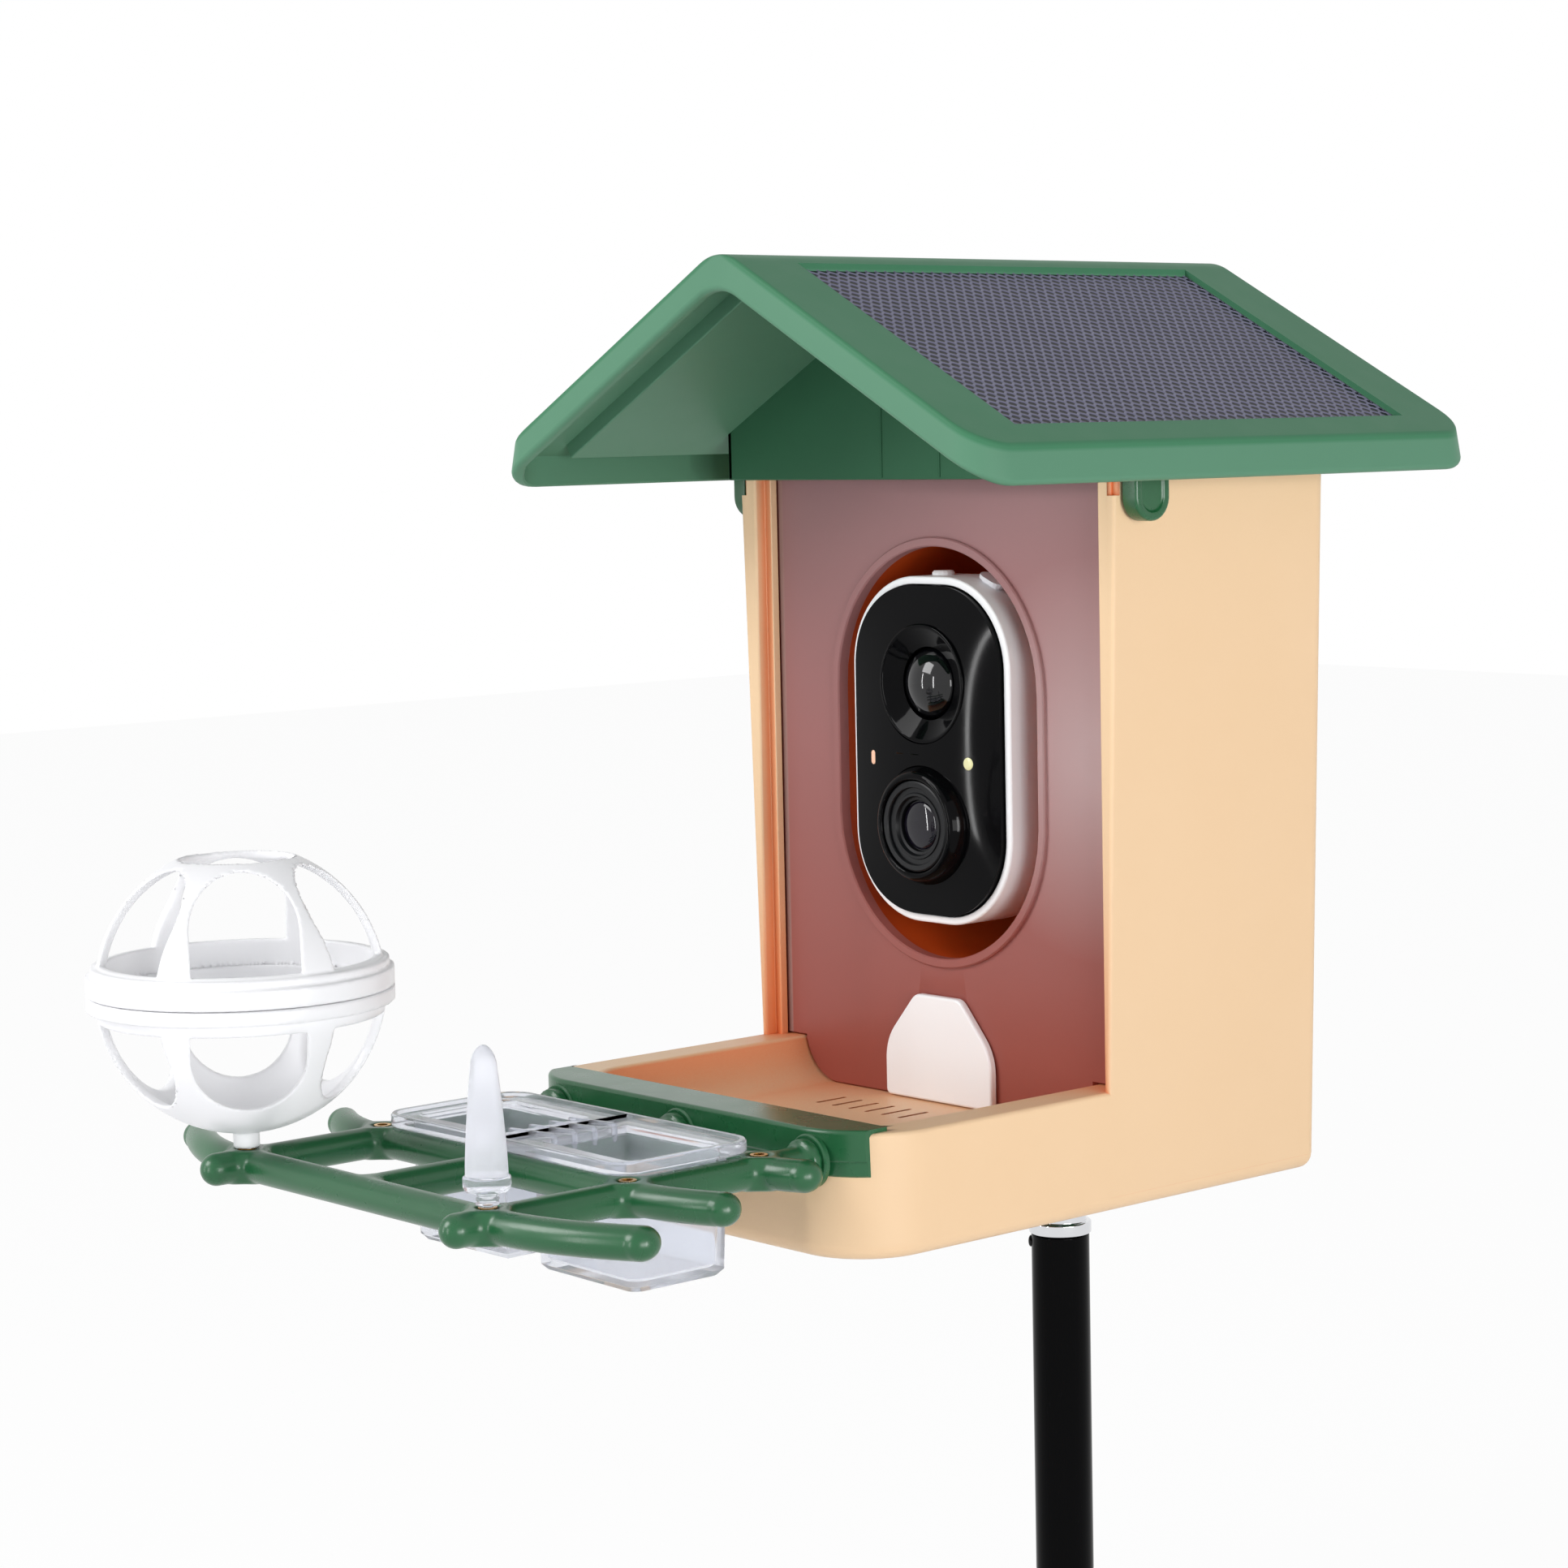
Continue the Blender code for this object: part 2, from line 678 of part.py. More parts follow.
def mount_adapter():
    """Flange and tapered boss that screw to the housing's underside and turn on the pole's stud."""
    boss = ADAPTER_BOSS_DIAMETER / 2
    flange = ADAPTER_FLANGE_DIAMETER / 2
    bore = ADAPTER_INSERT_DIAMETER / 2 + GAP
    shelf = ADAPTER_FOOT + ADAPTER_INSERT_LENGTH + GAP
    profile = [(bore, ADAPTER_FOOT), (boss - ADAPTER_TAPER, ADAPTER_FOOT), (boss, ADAPTER_FLANGE_FOOT),
               (flange, ADAPTER_FLANGE_FOOT), (flange, ADAPTER_TOP), (bore - ADAPTER_TAPER, ADAPTER_TOP),
               (bore - ADAPTER_TAPER, shelf), (bore, shelf)]
    item = turned("mount_adapter", profile, (0, 0, 0), finish=green())
    hole = ADAPTER_SCREW_DIAMETER / 2 + GAP
    for i, (x, y) in enumerate(screw_places()):
        depth = [(0, ADAPTER_FLANGE_FOOT - OVERRUN), (hole, ADAPTER_FLANGE_FOOT - OVERRUN),
                 (hole, ADAPTER_TOP + OVERRUN), (0, ADAPTER_TOP + OVERRUN)]
        cut(item, turned(f"cut_adapter_hole_{i + 1}", depth, (x, y, 0), steps=12))
    return item


def adapter_insert():
    radius = ADAPTER_INSERT_DIAMETER / 2
    bore = STUD_DIAMETER / 2 + GAP
    top = ADAPTER_FOOT + ADAPTER_INSERT_LENGTH
    profile = [(bore, ADAPTER_FOOT), (radius, ADAPTER_FOOT), (radius, top), (bore, top)]
    return turned("adapter_insert", profile, (0, 0, 0), steps=20, finish=brass())


def adapter_screw(index, place):
    """Pan-head screw with a cross recess, up through the flange into the housing's boss."""
    x, y = place
    seat = ADAPTER_FLANGE_FOOT - GAP
    head = SCREW_HEAD_DIAMETER / 2
    shank = ADAPTER_SCREW_DIAMETER / 2
    profile = [(0, seat - SCREW_HEAD), (head * 0.7, seat - SCREW_HEAD), (head, seat - SCREW_HEAD / 2),
               (head, seat),
               (shank, seat), (shank, seat + ADAPTER_SCREW_LENGTH), (0, seat + ADAPTER_SCREW_LENGTH)]
    item = turned(f"adapter_screw_{index}", profile, (x, y, 0), steps=12, finish=steel())
    low = seat - SCREW_HEAD - OVERRUN
    high = seat - SCREW_HEAD + SCREW_RECESS
    arm = head * 0.62
    half = SCREW_SLOT / 2
    for tag, (a, b) in (("a", (arm, half)), ("b", (half, arm))):
        cut(item, box(f"cut_screw_{index}{tag}", (x - a, y - b, low), (x + a, y + b, high)))
    return item


def basin_ring(z, inset):
    """Plan outline of the tray's basin at a height, drawn in from its top edge."""
    half = half_width_at(RIM_Z) - RIM_WIDTH_SIDE - inset
    front = TRAY_FRONT + RIM_WIDTH_FRONT + inset
    corner = max(BASIN_CORNER - inset * 0.3, FRONT_EDGE)
    return [(x, y, z) for x, y in rounded_box(half, front, WALL_FRONT + POST_DEPTH, corner, 0)]


def basin_profile():
    """Heights and insets down the basin's wall: a slight batter, then a quarter-round into the floor."""
    drop = RIM_Z - FLOOR_Z - BASIN_FILLET
    rows = [(RIM_Z + OVERRUN, 0.0), (RIM_Z, 0.0), (RIM_Z - max(drop, GAP), BASIN_BATTER)]
    for i in range(1, 5):
        a = math.radians(90 * i / 4)
        rows.append((FLOOR_Z + BASIN_FILLET * (1 - math.sin(a)),
                     BASIN_BATTER + BASIN_FILLET * (1 - math.cos(a))))
    return rows


def housing_shell():
    """Side walls, back wall, seed tray and skirt, moulded in one; the underside is open and ribbed."""
    def plan(z, front, front_radius, inset=0.0):
        ring = rounded_box(half_width_at(z) - inset, front + inset, WALL_BACK - inset, front_radius,
                           BACK_CORNER)
        return [(x, y, z) for x, y in ring]

    item = skin("housing_shell", [plan(BASE, TRAY_FRONT, TRAY_CORNER, FOOT_EDGE * 0.55),
                                  plan(BASE + FOOT_EDGE * 0.35, TRAY_FRONT, TRAY_CORNER, FOOT_EDGE * 0.12),
                                  plan(BASE + FOOT_EDGE, TRAY_FRONT, TRAY_CORNER),
                                  plan(BODY_TOP, TRAY_FRONT, TRAY_CORNER)], cream())
    wide = half_width_at(BODY_TOP) + OVERRUN
    near = TRAY_FRONT - OVERRUN
    right = [(wide, near), (wide, WALL_FRONT), (POST_HALF_CLEAR, WALL_FRONT),
             (POST_HALF_CLEAR, WALL_FRONT + POST_DEPTH)]
    above = [(-x, y) for x, y in right] + list(reversed(right))
    cut(item, prism("cut_above_tray", above, "Z", RIM_Z, BODY_TOP + OVERRUN))
    lug_parts(item)
    front_room(item)
    under_room(item)
    cut(item, skin("cut_basin", [basin_ring(z, inset) for z, inset in basin_profile()]))
    side_details(item)
    return item


def lug_parts(item):
    """Two pairs of hinge lugs on the back wall, each pair bored for its pin."""
    inner = KNUCKLE_WIDTH / 2 + GAP
    outer = inner + LUG_THICK
    foot = HINGE_Z - KNUCKLE_RADIUS * 2.6
    start = WALL_BACK - WALL / 2
    outline = [(start, foot), (HINGE_Y, HINGE_Z - KNUCKLE_RADIUS)]
    outline += [(HINGE_Y + KNUCKLE_RADIUS * math.cos(a), HINGE_Z + KNUCKLE_RADIUS * math.sin(a))
                for a in (math.radians(-60 + 30 * i) for i in range(7))]
    outline += [(start, HINGE_Z + KNUCKLE_RADIUS * 0.8)]
    for side in (-1, 1):
        for tag, near in (("in", -1), ("out", 1)):
            ends = sorted((side * HINGE_X + near * inner, side * HINGE_X + near * outer))
            name = f"lug_{'right' if side > 0 else 'left'}_{tag}"
            join(item, prism("add_" + name, outline, "X", ends[0], ends[1]))
    bore = PIN_DIAMETER / 2 + GAP
    reach = HINGE_X + outer + OVERRUN
    for side in (-1, 1):
        ends = sorted((side * (reach - 2 * outer - 2 * OVERRUN), side * reach))
        profile = [(0, ends[0]), (bore, ends[0]), (bore, ends[1]), (0, ends[1])]
        name = "cut_hinge_bore_" + ("right" if side > 0 else "left")
        cut(item, turned(name, profile, (0, HINGE_Y, HINGE_Z), axis="X", steps=12))


def front_room(item):
    """Hollows the housing: straight-sided posts in front, walls of even thickness behind."""
    front = WALL_FRONT + POST_DEPTH - FUSE
    rings = [[(x, y, z) for x, y in rounded_box(half_width_at(z) - WALL, front, WALL_BACK - WALL, 0,
                                                BACK_CORNER)]
             for z in (FLOOR_Z - FUSE, BODY_TOP + OVERRUN)]
    cut(item, skin("cut_hopper", rings))
    for side in (-1, 1):
        for tag, start in (("front", WALL_FRONT + RAIL_FRONT), ("rear", PANEL_BACK + GAP)):
            xs = sorted((side * (POST_HALF_CLEAR - RAIL_REACH), side * (POST_HALF_CLEAR + FUSE)))
            name = f"add_rail_{tag}_{'right' if side > 0 else 'left'}"
            join(item, box(name, (xs[0], start, RIM_Z - FUSE), (xs[1], start + RAIL_DEPTH, BODY_TOP)))


def under_room(item):
    """Opens the underside below the floor, and leaves ribs and the boss that takes the pole adapter."""
    foot = BASE - OVERRUN
    def plan(z, inset):
        ring = rounded_box(half_width_at(BASE) - inset, TRAY_FRONT + inset, WALL_BACK - inset,
                           TRAY_CORNER - inset, BACK_CORNER)
        return [(x, y, z) for x, y in ring]

    inset = FOOT_EDGE * 0.55 + WALL
    cut(item, skin("cut_underside", [plan(foot, inset), plan(SLAB_FOOT, inset)]))
    width = RIB / 2
    half = half_width_at(BASE) - inset + FUSE
    low = BASE + RIB_FOOT
    for i, x in enumerate((-half / 2, 0, half / 2)):
        join(item, box(f"add_rib_long_{i + 1}", (x - width, TRAY_FRONT + inset - FUSE, low),
                       (x + width, WALL_BACK - inset + FUSE, SLAB_FOOT + FUSE)))
    for i, y in enumerate((TRAY_FRONT + TRAY_REACH / 2, WALL_FRONT, 0)):
        join(item, box(f"add_rib_cross_{i + 1}", (-half, y - width, low),
                       (half, y + width, SLAB_FOOT + FUSE)))
    radius = BOSS_DIAMETER / 2
    flange = ADAPTER_FLANGE_DIAMETER / 2 + GAP
    cut(item, turned("cut_adapter_room", [(0, foot), (flange, foot), (flange, BOSS_FOOT), (0, BOSS_FOOT)],
                     (0, 0, 0), steps=32))
    join(item, turned("add_boss", [(0, BOSS_FOOT), (radius, BOSS_FOOT), (radius, SLAB_FOOT + FUSE),
                                   (0, SLAB_FOOT + FUSE)], (0, 0, 0), steps=32))
    stud = STUD_DIAMETER / 2 + GAP * 2
    stud_top = COLLAR_TOP + STUD_LENGTH + GAP * 2
    if stud_top > BOSS_FOOT:
        cut(item, turned("cut_stud_room", [(0, BOSS_FOOT - OVERRUN), (stud, BOSS_FOOT - OVERRUN),
                                           (stud, stud_top), (0, stud_top)], (0, 0, 0), steps=12))
    hole = ADAPTER_SCREW_DIAMETER / 2 + GAP
    top = ADAPTER_FLANGE_FOOT + ADAPTER_SCREW_LENGTH + GAP
    for i, (x, y) in enumerate(screw_places()):
        profile = [(0, BOSS_FOOT - OVERRUN), (hole, BOSS_FOOT - OVERRUN), (hole, top), (0, top)]
        cut(item, turned(f"cut_boss_hole_{i + 1}", profile, (x, y, 0), steps=12))


def drain_slots():
    """Centres of the drain slots in front of the gate."""
    first = -DRAIN_PITCH * (DRAIN_COUNT - 1) / 2
    return [first + DRAIN_PITCH * i for i in range(DRAIN_COUNT)]


def corner_arc(y, end):
    """The right half of a line that follows the tray's rounded front edge through a given Y, out to an X."""
    radius = TRAY_CORNER + TRAY_FRONT - y
    centre = half_width_at(RIM_Z) - TRAY_CORNER
    lean = math.asin(min(1.0, (end - centre) / radius))
    turns = [lean * i / 5 for i in range(6)]
    return [(centre + radius * math.sin(a), TRAY_FRONT + TRAY_CORNER - radius * math.cos(a)) for a in turns]


def band(name, front, end, back, low, high, finish=None):
    """A plate from a line along the tray's rounded front edge back to a straight line."""
    arc = corner_arc(front, end)
    outline = [(-x, y) for x, y in reversed(arc)] + arc + [(end, back), (-end, back)]
    return prism(name, outline, "Z", low, high, finish)


def side_details(item):
    """Drain slots, the seat for the tray bracket, the sockets for the perch plugs and the latch catches."""
    half = DRAIN_WIDTH / 2
    for i, x in enumerate(drain_slots()):
        front = WALL_FRONT - DRAIN_FRONT
        cut(item, box(f"cut_drain_{i + 1}", (x - half, front, SLAB_FOOT - OVERRUN),
                      (x + half, front + DRAIN_LENGTH, FLOOR_Z + OVERRUN)))
    seat_back = TRAY_FRONT + RIM_WIDTH_FRONT + OVERRUN
    plate_foot = BRACKET_TOP - BRACKET_PLATE - GAP
    cut(item, band("cut_bracket_plate", TRAY_FRONT - OVERRUN, BRACKET_CUT_X + GAP, seat_back, plate_foot,
                   RIM_Z + OVERRUN))
    apron_foot = BRACKET_TOP - BRACKET_DROP - GAP
    apron_back = apron_depth() + GAP
    cut(item, apron("cut_bracket_apron", TRAY_FRONT - OVERRUN, apron_back, apron_foot, RIM_Z + OVERRUN,
                    BRACKET_CUT_X + GAP))
    bore = ROD_PLUG_DIAMETER / 2 + PLUG_CLEARANCE
    deep = BRACKET_FRONT + ROD_PLUG_LENGTH + PLUG_CLEARANCE
    for i, x in enumerate((-ROD_SPACING_X, 0, ROD_SPACING_X)):
        profile = [(0, -deep), (bore, -deep), (bore, -(TRAY_FRONT - OVERRUN)), (0, -(TRAY_FRONT - OVERRUN))]
        cut(item, turned(f"cut_plug_socket_{i + 1}", profile, (x, 0, ROD_Z), axis="Y", steps=12))
    for side in (-1, 1):
        name = "cut_catch_" + ("right" if side > 0 else "left")
        edge = half_width_at(COLLAR_Z)
        xs = sorted((side * (edge - CATCH_DEPTH), side * (edge + OVERRUN)))
        low = (xs[0], WALL_FRONT - OVERRUN, COLLAR_Z - CATCH_HEIGHT)
        high = (xs[1], WALL_FRONT + LATCH_FRONT, COLLAR_Z)
        cut(item, box(name, low, high))


def apron_depth():
    """Where the bracket's apron ends behind the tray's front face."""
    return BRACKET_FRONT + BRACKET_APRON


def apron(name, front, back, low, high, end, finish=None):
    """A curved wall that follows the tray's front edge between two lines."""
    outer = corner_arc(front, end)
    inner = corner_arc(back, end)
    outline = [(-x, y) for x, y in reversed(outer)] + outer
    outline += list(reversed(inner)) + [(-x, y) for x, y in inner]
    return prism(name, outline, "Z", low, high, finish)


def hopper_floor():
    """Sloping tray behind the panel that runs the seed down to the gate; it clears the camera bay."""
    front = PANEL_BACK + HOPPER_FRONT_GAP
    back = WALL_BACK - WALL - GAP
    low = FLOOR_Z + GAP
    half = half_width_at(low) - WALL - GAP
    def row(y, trim):
        lift = HOPPER_BACK_RISE * (y - front) / (back - front)
        rise = lift + HOPPER_SIDE_RISE
        tops = [(trim - half, rise), (-HOPPER_CHUTE_HALF, lift), (HOPPER_CHUTE_HALF, lift),
                (half - trim, rise)]
        upper = [(x, y, low + HOPPER_WALL + z) for x, z in tops]
        lower = [(x, y, low + z) for x, z in reversed(tops)]
        return upper + lower

    item = skin("hopper_floor", [row(front, 0), row(back - BACK_CORNER, 0), row(back, BACK_CORNER)], cream())
    reach = half * HOPPER_LEG_SHARE
    lift = HOPPER_SIDE_RISE * (reach - HOPPER_CHUTE_HALF) / (half - HOPPER_CHUTE_HALF) + HOPPER_WALL / 2
    outline = [(front, low), (back, low), (back, low + HOPPER_BACK_RISE + lift), (front, low + lift)]
    for i, x in enumerate((-reach, reach)):
        join(item, prism(f"add_hopper_leg_{i + 1}", outline, "X", x - RIB / 2, x + RIB / 2))
    return item


def camera_bay():
    """Oval tunnel behind the panel's opening, closed at the back, that keeps the seed off the camera."""
    half = OVAL_HALF_WIDTH + BAY_MARGIN
    centre = (0, BASE + (OVAL_TOP + OVAL_BOTTOM) / 2)
    half_height = (OVAL_TOP - OVAL_BOTTOM) / 2 + BAY_MARGIN
    front = PANEL_BACK + GAP
    back = WALL_BACK - WALL - GAP
    item = prism("camera_bay", oval(half, half_height, half, centre, 8), "Y", front, back, cream())
    inner = half - BAY_WALL
    return cut(item, prism("cut_bay", oval(inner, half_height - BAY_WALL, inner, centre, 8), "Y",
                           front - OVERRUN, back - BAY_BACK))


def panel_outline():
    """Front view of the clear panel: ears that stand on the tray's rim, then the basin's own curve."""
    half = POST_HALF_CLEAR - GAP
    lift = GAP
    edge = half_width_at(RIM_Z) - RIM_WIDTH_SIDE
    rows = [(edge - inset - GAP * 2, z + lift) for z, inset in basin_profile()[1:]]
    right = [(half, BODY_TOP - PANEL_TOP_DROP), (half, RIM_Z + lift)] + rows
    return [(-x, z) for x, z in right] + list(reversed(right))


def front_panel():
    """Smoky clear front with a rimmed oval opening for the camera and a slot for the gate's neck."""
    item = prism("front_panel", panel_outline(), "Y", PANEL_FRONT, PANEL_BACK, smoky())
    centre = (0, BASE + (OVAL_TOP + OVAL_BOTTOM) / 2)
    half_height = (OVAL_TOP - OVAL_BOTTOM) / 2
    rim = oval(OVAL_HALF_WIDTH, half_height, OVAL_HALF_WIDTH, centre, 8)
    join(item, prism("add_oval_rim", rim, "Y", PANEL_FRONT - OVAL_RIM_PROUD, PANEL_BACK - FUSE))
    inner = OVAL_HALF_WIDTH - OVAL_RIM
    hole = oval(inner, half_height - OVAL_RIM, inner, centre, 8)
    cut(item, prism("cut_oval", hole, "Y", PANEL_FRONT - OVERRUN, PANEL_BACK + OVERRUN))
    slot = GATE_NECK_HALF + GAP
    top = FLOOR_Z + GAP + GATE_NECK_HEIGHT + GATE_TRAVEL + GAP * 2
    corners = [(-slot, FLOOR_Z - OVERRUN), (slot, FLOOR_Z - OVERRUN), (slot, top), (-slot, top)]
    return cut(item, prism("cut_gate_slot", rounded(corners, [0, 0, GAP, GAP]), "Y",
                           PANEL_FRONT - OVERRUN, PANEL_BACK + OVERRUN))


def seed_gate():
    """White tongue that slides up in front of the panel; its neck and tail hold it through the slot."""
    foot = FLOOR_Z + GAP
    half = GATE_HALF_WIDTH
    top = foot + GATE_HEIGHT
    shoulder = foot + GATE_SHOULDER
    corners = [(-half, foot), (half, foot), (half, shoulder), (GATE_TOP_HALF, top), (-GATE_TOP_HALF, top),
               (-half, shoulder)]
    radii = [FRONT_EDGE, FRONT_EDGE, half * 0.8, GATE_CORNER, GATE_CORNER, half * 0.8]
    back = PANEL_FRONT - GAP
    item = prism("seed_gate", rounded(corners, radii, 6), "Y", back - GATE_THICK, back, white())
    neck = (GATE_NECK_HALF, foot + GATE_NECK_HEIGHT)
    tail_front = PANEL_BACK + GAP
    tail_back = tail_front + GATE_TAIL_THICK
    join(item, box("add_gate_neck", (-neck[0], back - FUSE, foot), (neck[0], tail_front + FUSE, neck[1])))
    tail = foot + GATE_TAIL_HEIGHT
    return join(item, box("add_gate_tail", (-GATE_TAIL_HALF, tail_front, foot),
                          (GATE_TAIL_HALF, tail_back, tail)))


def camera_ring(y, half_width, half_height, radius):
    return [(x, y, z) for x, z in oval(half_width, half_height, radius, (0, CAM_Z), 7)]


def camera_rings(inset):
    """Sections of the camera's body from its rim to its rounded back, drawn in by an even wall."""
    shares = ((0.0, 0.0), (0.18, 0.0), (0.35, 0.02), (0.62, 0.12), (0.84, 0.34), (1.0, 0.66))
    rings = []
    for depth_share, draw_share in shares:
        draw = CAM_CORNER * 0.42 * draw_share + inset
        y = CAM_Y + CAM_DEPTH * depth_share - inset * depth_share
        rings.append(camera_ring(y, CAM_HALF_WIDTH - draw, CAM_HALF_HEIGHT - draw, CAM_CORNER - draw))
    return rings


def camera_shell():
    """White rear shell with its front rim; the top is pierced for the button and the plug."""
    item = skin("camera_shell", camera_rings(0), white())
    room = camera_rings(CAM_WALL)
    mouth = [(x, CAM_Y - OVERRUN, z) for x, _, z in room[0]]
    cut(item, skin("cut_camera_room", [mouth] + room[1:]))
    seat = CAM_RIM - FUSE
    rings = [camera_ring(y, CAM_HALF_WIDTH - seat, CAM_HALF_HEIGHT - seat, CAM_CORNER - seat)
             for y in (CAM_Y - OVERRUN, CAM_Y + CAM_COVER_THICK)]
    cut(item, skin("cut_cover_seat", rings))
    y = CAM_Y + TOP_FITTING_DEPTH
    low = CAM_Z + CAM_HALF_HEIGHT - CAM_WALL * 2
    high = CAM_Z + CAM_HALF_HEIGHT + OVERRUN
    hole = BUTTON_DIAMETER / 2 + GAP
    cut(item, turned("cut_button_hole", [(0, low), (hole, low), (hole, high), (0, high)], (BUTTON_X, y, 0),
                     steps=16))
    return cut(item, plug_solid("cut_plug_hole", GAP - PLUG_STEP, -CAM_WALL * 2, OVERRUN))


def plug_solid(name, grow, low, high, finish=None):
    """An oval block on the camera's upper right corner, square to its curve, between two heights off it."""
    outline = oval(PLUG_HALF_LENGTH + grow, PLUG_HALF_WIDTH + grow, PLUG_HALF_WIDTH + grow, (0, 0), 4)
    turn = Matrix.Rotation(PLUG_TURN, 3, "Y")
    centre = Vector((CAM_HALF_WIDTH - CAM_CORNER, CAM_Y + TOP_FITTING_DEPTH,
                     CAM_Z + CAM_HALF_HEIGHT - CAM_CORNER))
    rings = [[turn @ Vector((x, y, CAM_CORNER + h)) + centre for x, y in outline] for h in (low, high)]
    return skin(name, rings, finish)


def dome_at(x, z):
    """How far forward the black cover swells at a point, as a Y value."""
    across = min(1.0, abs(x) / CAM_HALF_WIDTH)
    up = min(1.0, abs(z - CAM_Z) / CAM_HALF_HEIGHT)
    swell = (1 - across ** 2.2) * (1 - up ** 2.6)
    return CAM_Y - CAM_COVER_PROUD - CAM_COVER_DOME * swell


def camera_cover():
    """Black domed front, pierced for the two round eyes and the two small lamps."""
    seat = CAM_RIM + GAP
    shares = (1.0, 0.985, 0.82, 0.6, 0.35)
    back = CAM_Y + CAM_COVER_THICK - GAP
    outline = oval(CAM_HALF_WIDTH - seat, CAM_HALF_HEIGHT - seat, CAM_CORNER - seat, (0, 0), 7)
    rings = [[(x, back, CAM_Z + z) for x, z in outline], [(x, CAM_Y, CAM_Z + z) for x, z in outline]]
    for share in shares[1:]:
        rings.append([(x * share, dome_at(x * share, CAM_Z + z * share), CAM_Z + z * share)
                      for x, z in outline])
    item = skin("camera_cover", rings, gloss_black())
    eye = EYE_DIAMETER / 2
    for tag, z in (("pir", CAM_Z + PIR_RISE), ("lens", CAM_Z - LENS_DROP)):
        profile = [(0, -back - OVERRUN), (eye, -back - OVERRUN), (eye, -EYE_Y + OVERRUN * 2),
                   (0, -EYE_Y + OVERRUN * 2)]
        cut(item, turned(f"cut_cover_{tag}", profile, (0, 0, z), axis="Y", steps=32))
    for tag, x, z, half, tall in lamp_places():
        hole = oval(half + GAP, tall + GAP, half + GAP, (x, z), 4)
        cut(item, prism(f"cut_cover_{tag}", hole, "Y", EYE_Y - OVERRUN, back + OVERRUN))
    return item


def lamp_places():
    """Name, place and half sizes of the two small lamps on the camera's front."""
    spot = SPOT_DIAMETER / 2
    return (("status", -STATUS_X, CAM_Z - STATUS_DROP, STATUS_HALF_WIDTH, STATUS_HALF_HEIGHT),
            ("spot", SPOT_X, CAM_Z - SPOT_DROP, spot, spot))


def front_turned(name, profile, z, steps, finish):
    """A turned piece on the camera's front: the profile's heights run forward from the rim's plane."""
    return turned(name, [(r, -CAM_Y + h) for r, h in profile], (0, 0, z), "Y", steps, finish)


def pir_bezel():
    """Black dished ring round the motion sensor's dome."""
    eye = EYE_DIAMETER / 2 - GAP
    dome = PIR_DOME_DIAMETER / 2 + GAP
    face = CAM_COVER_PROUD + CAM_COVER_DOME * 0.92
    profile = [(dome, -EYE_SINK), (eye, -EYE_SINK), (eye, face - COLLAR_EDGE), (eye - COLLAR_EDGE, face),
               (eye - COLLAR_EDGE * 4, face), (dome, face - PIR_RECESS)]
    return front_turned("pir_bezel", profile, CAM_Z + PIR_RISE, 32, gloss_black())


def pir_lens():
    """Domed lens of the motion sensor."""
    radius = PIR_DOME_DIAMETER / 2
    base = CAM_COVER_PROUD - PIR_RECESS
    profile = [(0, -EYE_SINK + COLLAR_EDGE), (radius, -EYE_SINK + COLLAR_EDGE)]
    for i in range(7):
        a = math.radians(90 * i / 6)
        profile.append((radius * math.cos(a) if i < 6 else 0, base + PIR_DOME_PROUD * math.sin(a)))
    return front_turned("pir_lens", profile, CAM_Z + PIR_RISE, 24, glass())


def lens_housing():
    """Raised black bezel that swells out of the cover round the camera's lens."""
    eye = EYE_DIAMETER / 2 - GAP
    bore = LENS_BORE_DIAMETER / 2
    front = LENS_FRONT_DIAMETER / 2
    face = CAM_COVER_PROUD + CAM_COVER_DOME
    profile = [(bore, -EYE_SINK), (eye, -EYE_SINK), (eye, face * 0.8),
               (front + COLLAR_EDGE, face + LENS_PROUD * 0.7),
               (front - COLLAR_EDGE * 2, face + LENS_PROUD), (bore, face + LENS_PROUD)]
    return front_turned("lens_housing", profile, CAM_Z - LENS_DROP, 32, gloss_black())


def lens_barrel():
    """Stepped rings inside the bezel, down to the front glass; its back seats on the board."""
    outer = LENS_BORE_DIAMETER / 2 - GAP
    bore = BARREL_BORE_DIAMETER / 2
    face = CAM_COVER_PROUD + CAM_COVER_DOME + LENS_PROUD
    step = (outer - bore) / 3
    seat = face - BARREL_STEP - GLASS_THICK - GAP
    back = -(BOARD_DEPTH - GAP)
    profile = [(0, back), (outer, back), (outer, face - COLLAR_EDGE), (outer - step, face - COLLAR_EDGE),
               (outer - step, face - BARREL_STEP * 0.6), (outer - step * 2, face - BARREL_STEP * 0.6),
               (outer - step * 2, face - BARREL_STEP), (bore, face - BARREL_STEP), (bore, seat), (0, seat)]
    return front_turned("lens_barrel", profile, CAM_Z - LENS_DROP, 28, black())


def lens_glass():
    radius = BARREL_BORE_DIAMETER / 2 - GAP
    face = CAM_COVER_PROUD + CAM_COVER_DOME + LENS_PROUD - BARREL_STEP
    profile = [(0, face - GLASS_THICK), (radius, face - GLASS_THICK), (radius, face - COLLAR_EDGE),
               (radius * 0.6, face), (0, face + COLLAR_EDGE / 2)]
    return front_turned("lens_glass", profile, CAM_Z - LENS_DROP, 20, glass())


def camera_lamp(name, place, finish):
    _, x, z, half, tall = place
    front = dome_at(x, z) - LAMP_PROUD
    return prism(name, oval(half, tall, half, (x, z), 4), "Y", front, front + LAMP_LENGTH, finish)


def camera_board():
    """Circuit board behind the eyes."""
    y = CAM_Y + BOARD_DEPTH
    return prism("camera_board", oval(BOARD_HALF_WIDTH, BOARD_HALF_HEIGHT, CAM_WALL, (0, CAM_Z), 3), "Y", y,
                 y + BOARD_THICK, board())


